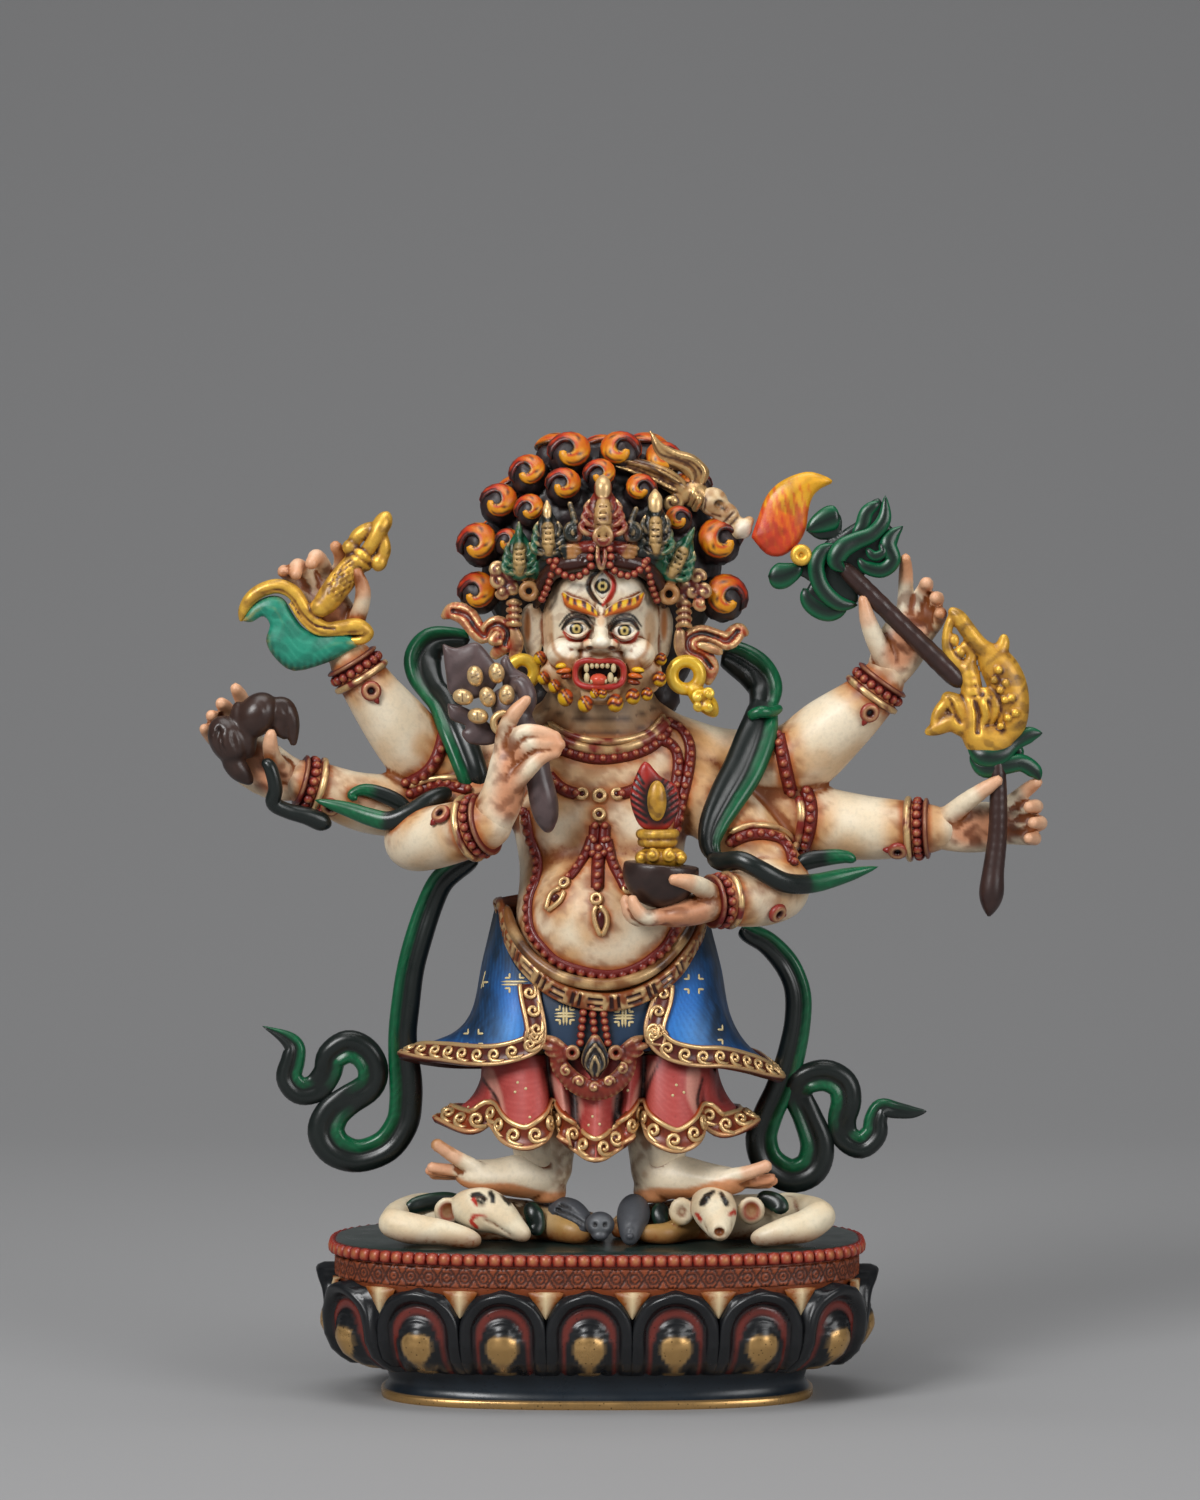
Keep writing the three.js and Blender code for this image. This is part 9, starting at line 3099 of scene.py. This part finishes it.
# %% The knotted ribbons
TRIDENT_RIBBON = [
    [(806, 531, -2.6, 0.3, 0.35), (818, 524, -2.6, 0.9, 0.4), (831, 518, -2.6, 1.15, 0.4),
     (840, 516, -2.6, 0.8, 0.35)],
    [(803, 566, -2.6, 0.4, 0.35), (792, 572, -2.6, 0.9, 0.4), (780, 576, -2.6, 1.2, 0.4),
     (768, 576, -2.6, 0.8, 0.35)],
    [(838, 545, -3, 0.4, 0.4), (822, 552, -3.2, 0.7, 0.45), (816, 568, -3.3, 0.75, 0.45),
     (822, 588, -3.2, 0.75, 0.45), (838, 603, -3, 0.7, 0.45), (858, 605, -2.8, 0.4, 0.4)],
    [(803, 588, -2.4, 0.5, 0.35), (812, 603, -2.4, 0.9, 0.4), (829, 611, -2.4, 0.95, 0.4),
     (848, 607, -2.4, 0.5, 0.35)],
    [(846, 572, -3.4, 0.4, 0.4), (836, 562, -3.6, 0.8, 0.5), (842, 549, -3.6, 0.9, 0.5),
     (856, 541, -3.4, 0.8, 0.45), (872, 534, -3.2, 0.7, 0.45), (884, 519, -3, 0.65, 0.4),
     (885, 495, -2.8, 0.35, 0.3)],
    [(852, 536, -2.6, 0.4, 0.4), (862, 527, -2.6, 0.7, 0.4), (867, 512, -2.6, 0.65, 0.4),
     (880, 502, -2.6, 0.4, 0.35)],
    [(903, 526, -2.6, 0.3, 0.3), (892, 536, -2.8, 0.7, 0.4), (888, 546, -3, 0.8, 0.45),
     (893, 560, -3, 0.7, 0.4), (882, 570, -3, 0.7, 0.4), (866, 567, -3, 0.6, 0.4), (858, 558, -3, 0.4, 0.35)],
    [(866, 548, -3.2, 0.3, 0.3), (874, 556, -3.3, 0.45, 0.35), (883, 552, -3.2, 0.4, 0.35),
     (880, 543, -3.1, 0.3, 0.3)],
]
GOAD_RIBBON = [
    [(968, 744, -3, 0.6, 0.5), (984, 756, -3.6, 1.0, 0.7), (1001, 755, -3.6, 0.9, 0.6),
     (1014, 744, -3.2, 0.7, 0.5), (1029, 735, -3, 0.75, 0.45), (1043, 733, -3, 0.35, 0.3)],
    [(970, 756, -3, 0.6, 0.5), (986, 768, -3.4, 0.9, 0.6), (1006, 765, -3.4, 0.85, 0.55),
     (1022, 763, -3.2, 0.8, 0.5), (1035, 771, -3, 0.7, 0.45), (1041, 780, -3, 0.35, 0.3)],
    [(1012, 742, -2.6, 0.4, 0.4), (1019, 752, -2.6, 0.5, 0.4), (1014, 762, -2.6, 0.4, 0.4)],
]


def model_knot():
    """The plates that fill the knot of the ribbons, behind their bands."""
    clay = Clay([16, -3.6, 56.4], [31.6, -1.2, 67.6], 0.17)
    press_plate(clay, [(826, 560), (822, 545), (836, 536), (846, 528), (858, 520), (864, 508), (878, 498),
                       (886, 512), (890, 526), (900, 532),
                       (896, 548), (896, 562), (882, 572), (866, 574), (856, 584), (858, 602), (838, 608),
                       (820, 608), (806, 594), (812, 580)],
                -2.3, 0.35, 0.2)
    press_plate(clay, [(806, 531), (814, 517), (836, 512), (842, 522), (838, 536), (820, 540)], -2.3,
                0.3, 0.15)
    press_plate(clay, [(806, 562), (792, 566), (768, 570), (768, 580), (786, 584), (800, 576), (812, 582),
                       (816, 566)], -2.3, 0.3, 0.15)
    return clay


pressed("ribbon_knot", model_knot(), "#1B2421", BLACK_GREEN, low=0.02, high=0.2, most=0.8)
ribbon("ribbons", TRIDENT_RIBBON + GOAD_RIBBON, FIGURE, BLACK_GREEN, "#1A2320", "#0E5C3A",
       section_points=16, rim=0.72)

# %% The goad's beast head
def model_goad():
    """A sea beast's head: neck, upturned snout, jaws, cheek, fins, and the beads and grooves on them."""
    clay = Clay([28.4, -5, 43], [39.4, -0.8, 58.4], 0.175)
    press_line(clay, [[1004, 738, -3, 0.9, 0.9], [1011, 724, -3, 1.25, 1.1], [1012, 706, -3, 1.45, 1.2],
                      [1008, 686, -3, 1.6, 1.2], [999, 667, -3, 1.5, 1.1], [988, 654, -3, 1.0, 0.9]],
                      soft=0.3)
    press_line(clay, [[996, 656, -3, 0.8], [1003, 645, -3, 0.55], [1004, 637, -3, 0.3]], soft=0.2)
    press_line(clay, [[992, 655, -3, 0.9], [980, 646, -3.1, 0.75], [969, 632, -3.1, 0.7],
                      [959, 618, -3, 0.65], [952, 611, -3, 0.35]], soft=0.2)
    press_line(clay, [[951, 619, -3, 0.4], [947, 634, -3, 0.4], [948, 650, -3, 0.45], [957, 663, -3, 0.5],
                      [966, 668, -3, 0.5], [972, 654, -3, 0.45], [965, 645, -3, 0.4]], soft=0.15)
    press_line(clay, [[968, 668, -3, 0.8], [972, 690, -3, 0.9], [974, 712, -3, 1.1], [975, 733, -3, 1.2]],
               soft=0.3)
    press_line(clay, [[984, 692, -3.6, 0.45], [986, 706, -3.8, 0.7], [984, 720, -3.6, 0.5]], soft=0.12)
    press_line(clay, [[990, 690, -3.4, 0.4], [995, 706, -3.6, 0.6], [990, 722, -3.4, 0.4]], soft=0.12)
    press_line(clay, [[978, 738, -3, 1.4, 1.2], [992, 742, -3, 1.5, 1.2], [1004, 738, -3, 1.2, 1]], soft=0.3)
    press_line(clay, [[968, 722, -3, 0.9], [958, 706, -3, 0.9], [948, 698, -3, 0.6]], soft=0.2)
    press_line(clay, [[966, 728, -3, 0.9], [952, 722, -3, 0.8], [938, 728, -3, 0.6], [928, 732, -3, 0.3]],
               soft=0.2)
    press_line(clay, [[936, 727, -3, 0.5], [938, 714, -3, 0.5], [946, 703, -3, 0.55]], soft=0.15)
    for across, down in ((999, 670), (1006, 683), (1012, 698), (1016, 713), (1005, 700), (1008, 718),
                         (1001, 726), (1000, 690), (994, 680)):
        clay.ball(seen(across, down, -4.3), [0.34, 0.3, 0.34], soft=0.1)
    for down in (676, 684, 694):
        press_line(clay, [[962, down, -3.8, 0.1], [970, down + 3, -4, 0.12], [977, down + 1, -3.8, 0.1]],
                   soft=0.04, carve=True)
    for rows in ([[976, 664, -4, 0.3], [984, 678, -4.2, 0.34], [982, 694, -4.2, 0.3]],
                 [[990, 700, -4.4, 0.26], [993, 716, -4.4, 0.3], [992, 730, -4.4, 0.26]],
                 [[975, 700, -4.1, 0.26], [979, 716, -4.2, 0.3], [978, 732, -4.2, 0.26]],
                 [[950, 700, -3.8, 0.22], [954, 712, -3.9, 0.26], [960, 722, -3.9, 0.22]]):
        press_line(clay, rows, soft=0.1, carve=True)
    for across, down in ((954, 640), (960, 652), (944, 716)):
        clay.ball(seen(across, down, -3), [0.5, 0.5, 0.6], soft=0.1)
    return clay


pressed("goad_head", model_goad(), "#BE8424", YELLOW_GOLD, coat=grimed, low=-0.02, high=0.06)
print("all that the hands hold is done")

# %% [markdown]
# ## The coat of the skin
# Ivory goes on first. Then the painter shades it: an orange-brown wash in every crease, along each string
# and bracelet, over the neck and under the arms, and a rose tone on palms, soles and fingertips. Painted
# shade darkens the undersides and, with the wash, the broad hollows. The belly and the forearms are wiped
# clean again. One tree of all that is worn tells each point how near it is to an ornament.

# %% How near each point is to something worn
WORN_TREE = surface_tree(*merged(WORN))


def shaded_skin(points, quads, rounds, depth, reach=2.6, amount=1.0):
    """Ivory, painted shade underneath and in broad hollows, tan and an orange line near what is worn, and the
    wash.
    """
    paint = Paint(points, "#ECDDC2")
    near = nearness(points, WORN_TREE, reach)
    stand = proud(points, quads, rounds)
    broad = proud(points, quads, rounds * 4)
    underside_shade = ramp(-point_normals(points, quads)[:, 2], 0.1, 0.85)
    blot, fine = mottle(points, 2.4, 1), mottle(points, 0.6, 2)
    paint.brush(amount * 0.3 * blot, "#DCC094")
    # painted shade: darker where the skin faces down
    paint.brush(amount * 0.6 * underside_shade * (0.4 + 0.6 * blot), "#BF8A50")
    paint.brush(amount * (0.3 + 0.5 * blot) * ramp(near, 0.05, 0.75), "#D29A5C")
    # darker in the broad hollows: partly the wash, partly painted shade
    paint.brush(0.65 * ramp(-broad, 0.0, 0.3), "#BE7E42")
    paint.brush(0.9 * ramp(near, 0.8, 0.93), "#C0692A")
    paint.brush(amount * 0.5 * ramp(fine, 0.55, 0.95) * ramp(near, 0.15, 0.9), "#8A4A1E")
    paint.wash = np.clip(ramp(-stand, 0.0, depth) + 0.42 * ramp(near, 0.45, 0.95) * (0.4 + 0.6 * fine), 0, 1)
    return paint


# %% The body and its neck
body_paint = shaded_skin(body_points, body_quads, 11, 0.1)
SHADED_PLACES = [((524, 742), 2.6, 0.75), ((700, 752), 3.2, 0.8), ((735, 765), 2.4, 0.7),
                 ((775, 820), 2.2, 0.75),
                 ((722, 850), 2.4, 0.75), ((455, 768), 2.0, 0.6), ((470, 800), 2.2, 0.7),
                 ((560, 800), 2.2, 0.5),
                 ((640, 800), 2.0, 0.5), ((600, 760), 3.0, 0.35), ((535, 880), 1.6, 0.6),
                 ((675, 905), 1.8, 0.7),
                 ((556, 860), 1.8, 0.5), ((640, 850), 2.0, 0.5), ((425, 745), 1.8, 0.6),
                 ((820, 760), 1.6, 0.4)]
for spot, reach, strength in SHADED_PLACES:
    middle = on_skin(*spot)[0]
    body_paint.brush(strength * (1 - ramp(np.linalg.norm(body_points - middle, axis=1), reach * 0.4, reach)),
                     "#CF9C62")
body_spots, body_front = pictured(body_points), (body_points[:, 1] < -1).astype(float)
in_neck = ramp(body_points[:, 2], 44.8, 45.8) * (1 - ramp(np.abs(body_points[:, 0] - MIDDLE_X), 4.6, 5.8))
body_paint.brush(0.8 * in_neck, "#8E6A44")
below_string = ramp(body_spots[:, 1], 974, 986) * (body_points[:, 2] > 22)
body_paint.brush(0.9 * below_string, "#9A6630")
NECK_RINGS = [[(545, 708), (570, 717), (600, 720), (632, 717), (655, 708)],
              [(542, 721), (570, 730), (600, 733), (634, 730), (659, 720)]]
for rows in NECK_RINGS:
    stroke(body_paint, body_spots, body_front * in_neck, rows, [1.4], "#4E3220", 0.85)
# painted shade: tan towards the back of the body
body_paint.brush(0.25 * ramp(body_points[:, 1], 0.5, 5), "#D9A873")
shin = 1 - ramp(body_points[:, 2], 12, 15)
shin *= ramp(body_points[:, 2] + mottle(body_points, 0.7, 15), 8.6, 10.2)
body_paint.brush(0.85 * shin, "#9A6A38")
body_paint.wash = np.clip(body_paint.wash + 0.6 * shin * mottle(body_points, 1.1, 13), 0, 1)

# %% Palms, fingertips and soles
hand_paint = shaded_skin(hand_points, hand_quads, 8, 0.035, amount=0.8)
for name, (palm, *fingers) in HANDS.items():
    for finger in fingers:
        tip = np.array(finger)[-2:, :3]
        hand_paint.brush(0.75 * (1 - ramp(path_distance(hand_points, tip), 0.5, 1.2)), "#D99468")
    front = np.array([row[:3] for row in palm[1:]]) + ([0.6, -0.6, 0] if name == "jewel" else [0, -1.3, 0])
    hand_paint.brush(0.85 * (1 - ramp(path_distance(hand_points, front), 1.0, 2.2)), "#CE8256")
    grime = ramp(mottle(hand_points, 0.8, 16), 0.45, 0.9)
    dirty = 0.9 if name in ("trident", "goad", "drum", "chopper") else 0.6
    hand_paint.brush(dirty * grime * (1 - ramp(path_distance(hand_points, front), 1.2, 2.6)), "#6E3618")
    for finger in fingers[1:]:
        root = np.array(finger)[:2, :3] + [0, -0.4, 0]
        hand_paint.brush(dirty * 0.7 * grime * (1 - ramp(path_distance(hand_points, root), 0.6, 1.1)),
                         "#6E3618")
hand_paint.wash = np.clip(hand_paint.wash * 2.2, 0, 1)
sole_edge = 4.5 + 0.17 * (np.abs(hand_points[:, 0] - MIDDLE_X) - 3.5)
sole = (1 - ramp(hand_points[:, 2] - sole_edge + 0.2 * np.sin(hand_points[:, 0]), -0.1,
                 0.25)) * (hand_points[:, 2] < 12)
hand_paint.brush(0.9 * sole, "#CE8450")
for _, *toes in FEET:
    for toe in toes:
        hand_paint.brush(0.8 * (1 - ramp(path_distance(hand_points, np.array(toe)[-2:, :3]), 0.5, 1.0)),
                         "#DD9A72")
ankle = ramp(hand_points[:, 2] + mottle(hand_points, 0.7, 15), 8.6,
             10.2) * (1 - ramp(hand_points[:, 2], 14, 16))
hand_paint.brush(0.75 * ankle, "#A8743E")
between_feet = ramp(-np.abs(hand_points[:, 0] - MIDDLE_X), -4.9, -3.6) * (hand_points[:, 2] < 12)
hand_paint.brush(0.7 * between_feet * mottle(hand_points, 0.6, 17), "#8A5426")
hand_paint.wash = np.clip(hand_paint.wash + 0.5 * ankle * mottle(hand_points, 1.1, 12), 0, 1)

# %% The face: washes first, then strokes of a fine brush
head_paint = shaded_skin(head_points, head_quads, 10, 0.05, reach=1.3, amount=0.7)
head_spots = pictured(head_points)
head_front = (head_points[:, 1] < -3).astype(float)


def face_stroke(rows, half, colour, strength=1.0, soft=0.7):
    """A stroke on the front of the face."""
    stroke(head_paint, head_spots, head_front, rows, half, colour, strength, soft)


def face_patch(across, down, wide, tall, colour, strength):
    """A soft oval of colour on the face."""
    distance = np.hypot((head_spots[:, 0] - across) / wide, (head_spots[:, 1] - down) / tall)
    head_paint.brush(strength * (head_points[:, 1] < -1) * (1 - ramp(distance, 0.5, 1.1)), colour)


head_paint.brush(0.5 * (1 - ramp(head_points[:, 2], 50.6, 52.6)), "#D3A56C")
head_paint.brush(0.85 * (1 - ramp(head_points[:, 2], 48, 49.2)) * (head_points[:, 1] > -8), "#8E6A44")
for rows in NECK_RINGS:
    stroke(head_paint, head_spots, head_front * (head_points[:, 2] < 49), rows, [1.4], "#4E3220", 0.85)
# tan patches, partly wash and partly painted shade: the sides of the face, the temples, under the cheeks and
# nose, beside the nose
# across, down, half width and half height
TAN_AND_SHADE_PATCHES = [(548, 628, 7, 24), (650, 628, 7, 24), (571, 664, 9, 12), (629, 666, 9, 12), (600, 654, 16, 4),
               (586, 640, 4, 10), (616, 641, 4, 10), (601, 620, 5, 8), (545, 598, 6, 10), (655, 598, 6, 10)]
# painted highlights: pale ovals on the cheeks, the forehead, the nose tip and the chin
HIGHLIGHT_PATCHES = [(565, 648, 11, 9), (636, 651, 11, 9), (578, 588, 14, 7), (628, 588, 14, 7), (601, 641, 8, 6),
                (600, 697, 20, 4)]
# painted shade under the cheeks, under the nose and beside its wings
SHADE_PATCHES = [(566, 661, 11, 4.5), (635, 663, 11, 4.5), (600.5, 655, 14, 3),
                 (581, 650, 3, 7), (620, 651, 3, 7)]
for patch in TAN_AND_SHADE_PATCHES:
    face_patch(*patch, "#C08A52", 0.6)
for patch in HIGHLIGHT_PATCHES:
    face_patch(*patch, "#F6EBD6", 0.75)
head_paint.line(mouth_ring(MOUTH_WIDE + 0.06, MOUTH_TALL + 0.08, -8.3), 0.3, "#A81F1A", soft=0.08)
inner = inside(head_points * [1, 0, 1], [MOUTH[0], 0, MOUTH[2]],
               [MOUTH_WIDE - 0.24, 1, MOUTH_TALL - 0.18], 0.06)
head_paint.brush(inner * (head_points[:, 1] > -8.3) * (head_points[:, 1] < -5), "#2E100D")
for side, (across, down) in EYE_SPOTS.items():
    face_stroke([(across - 13, down + 3), (across - 7, down + 9.5), (across + 2, down + 11.5),
                 (across + 9, down + 9),
                 (across + 14, down + 2)], [1.2, 2.8, 2.0, 2.8, 1.2], "#B83A28", 1.0)
    face_stroke([(across - 14, down), (across - 8, down - 8), (across, down - 11), (across + 8, down - 9),
                 (across + 14, down - 1)], [1.6, 2.8, 3.2, 2.8, 1.6], "#15110F")
    face_stroke([(across - 17, down - 3), (across - 9, down - 13), (across, down - 16.5),
                 (across + 9, down - 14),
                 (across + 17, down - 4)], [0.8, 1.4, 1.6, 1.4, 0.8], "#1E1815", 1.0)
face_stroke([(602, 569), (591.5, 577), (588.5, 587), (594, 598), (603, 606)], [1, 2.6, 3, 2.6, 1], "#17130F")
face_stroke([(603, 570), (611.5, 577), (614, 586), (610, 597), (603, 605)],
            [0.8, 2.4, 2.6, 3, 1.5], "#B82A1C")
for rows in BROWS.values():
    path = smooth_path([[a, b, 0] for a, b, _, _ in rows], 6)[:, :2]
    distance, side, along = beside(head_spots, path)
    half = np.interp(along, [0, 0.25, 0.6, 0.85, 1], [1.6, 5.6, 6.2, 4.2, 2.2])
    mask = head_front * (1 - ramp(distance, half - 0.8, half + 0.8))
    upper = side * np.sign(path[-1, 0] - path[0, 0]) * distance / half
    head_paint.brush(mask, "#CE661C")
    wave = np.sin((along * 4.3 - 0.3 * upper) * 2 * math.pi)
    head_paint.brush(mask * ramp(-upper, -0.35, -0.1) * ramp(wave, 0.0, 0.3), "#E3B41C")
    head_paint.brush(mask * ramp(-upper, -0.2, 0.1) * ramp(-wave, 0.25, 0.6), "#43202C")
    head_paint.brush(mask * ramp(upper, 0.62, 0.85) * 0.6, "#8A3418")
# painted shade: dark lines round the nose wings, tan lines under the cheeks, dark nostrils and a line under
# the nose
NOSE_WING_SHADE = [(15, 636), (18, 641), (18, 647), (13.5, 651.5)]
CHEEK_SHADE_LINE = [(49, 634), (46, 650), (37, 659.5), (27, 660.5), (19.5, 655)]
for side in (-1, 1):
    face_stroke([(600.5 + side * out, down) for out, down in NOSE_WING_SHADE], [1, 1.3, 1.3, 1.3], "#6A3E22", 0.8)
    face_stroke([(600.5 + side * out, down) for out, down in CHEEK_SHADE_LINE], [1.2, 2, 2.2, 2, 1.2],
                "#A8703E", 0.75, 1.6)
    face_patch(600.5 + side * 11, 648, 4.6, 3.0, "#22100B", 1.0)
face_stroke([(591, 652.5), (600.5, 655), (610, 652.5)], [1, 1.4, 1], "#8A5A34", 0.8)
for patch in SHADE_PATCHES:
    face_patch(*patch, "#8E5C34", 0.7)
for rows in ([(598, 607), (597.5, 618)], [(604.5, 607), (605, 618)], [(592, 621), (597, 626)],
             [(610, 622), (605, 627)]):
    face_stroke(rows, [0.5, 0.9, 0.4], "#7E5230", 0.75)
old_dirt = ramp(mottle(head_points, 1.3, 31), 0.45, 0.95) * ramp(mottle(head_points, 0.4, 32), 0.35, 0.8)
head_paint.wash = np.clip(head_paint.wash + 0.3 * old_dirt, 0, 1)
for across, down in ((527.5, 626), (664, 624)):
    head_paint.wash *= 1 - 0.8 * (np.hypot((head_spots[:, 0] - across) / 4.5,
                                           (head_spots[:, 1] - down) / 22) < 1)
    face_patch(across, down, 4.2, 20, "#CF8A50", 1.0)

# %% The three pieces of skin
painted_piece("body_skin", body_points, body_quads, FIGURE, body_paint, ACRYLIC_SKIN)
painted_piece("hands_and_feet", hand_points, hand_quads, FIGURE, hand_paint, ACRYLIC_SKIN)
painted_piece("head_skin", head_points, head_quads, FIGURE, head_paint, ACRYLIC_SKIN)

# %% Paper, lights, camera
def sweep_paper():
    """A sheet of pale paper that lies flat and then curves up behind the statue."""
    bend, start, half = 0.4, 0.2, 1.6
    profile = [(-1.2, 0.0), (start, 0.0)]
    for turn in np.linspace(0, math.pi / 2, 24)[1:]:
        profile.append((start + bend * math.sin(turn), bend * (1 - math.cos(turn))))
    profile.append((start + bend, 1.8))
    points = [(x, y, z) for y, z in profile for x in (-half, half)]
    faces = [(2 * i, 2 * i + 1, 2 * i + 3, 2 * i + 2) for i in range(len(profile) - 1)]
    mesh = bpy.data.meshes.new("paper sweep")
    mesh.from_pydata(points, [], faces)
    mesh.polygons.foreach_set("use_smooth", np.ones(len(faces), bool))
    floor = bpy.data.objects.new("paper sweep", mesh)
    bpy.context.scene.collection.objects.link(floor)
    paper = bpy.data.materials.new("pale paper")
    paper.use_nodes = True
    paper.node_tree.nodes["Principled BSDF"].inputs["Base Color"].default_value = rgba("#949495")
    paper.node_tree.nodes["Principled BSDF"].inputs["Roughness"].default_value = 0.9
    mesh.materials.append(paper)


def studio():
    """The paper, a dim room, three square lamps and the camera that took the photo."""
    scene = bpy.context.scene
    scene.view_settings.view_transform = "Standard"
    sweep_paper()
    world = bpy.data.worlds.new("soft room")
    world.use_nodes = True
    world.node_tree.nodes["Background"].inputs["Color"].default_value = (0.82, 0.83, 0.85, 1)
    world.node_tree.nodes["Background"].inputs["Strength"].default_value = 0.15
    scene.world = world
    for name, place_at, size, power in (
        ("key", (-0.3, -0.42, 0.36), 0.22, 2.7),
        ("fill", (0.38, -0.36, 0.22), 0.26, 1.15),
        ("top", (0.0, -0.05, 0.45), 0.3, 1.0),
    ):
        light = bpy.data.lights.new(name, "AREA")
        light.shape = "SQUARE"
        light.size = size
        light.energy = power
        obj = bpy.data.objects.new(name, light)
        scene.collection.objects.link(obj)
        obj.location = place_at
        aim = Vector((0, 0, 0.045)) - Vector(place_at)
        obj.rotation_euler = aim.to_track_quat("-Z", "Y").to_euler()
    camera = bpy.data.cameras.new("photo view")
    camera.lens = CAMERA_LENS
    camera.sensor_width = 36
    eye = bpy.data.objects.new("photo view", camera)
    scene.collection.objects.link(eye)
    eye.location = (CAMERA_X * MM, -CAMERA_BACK * MM, CAMERA_UP * MM)
    eye.rotation_euler = (math.radians(90 - CAMERA_TILT), 0, 0)
    scene.camera = eye


studio()
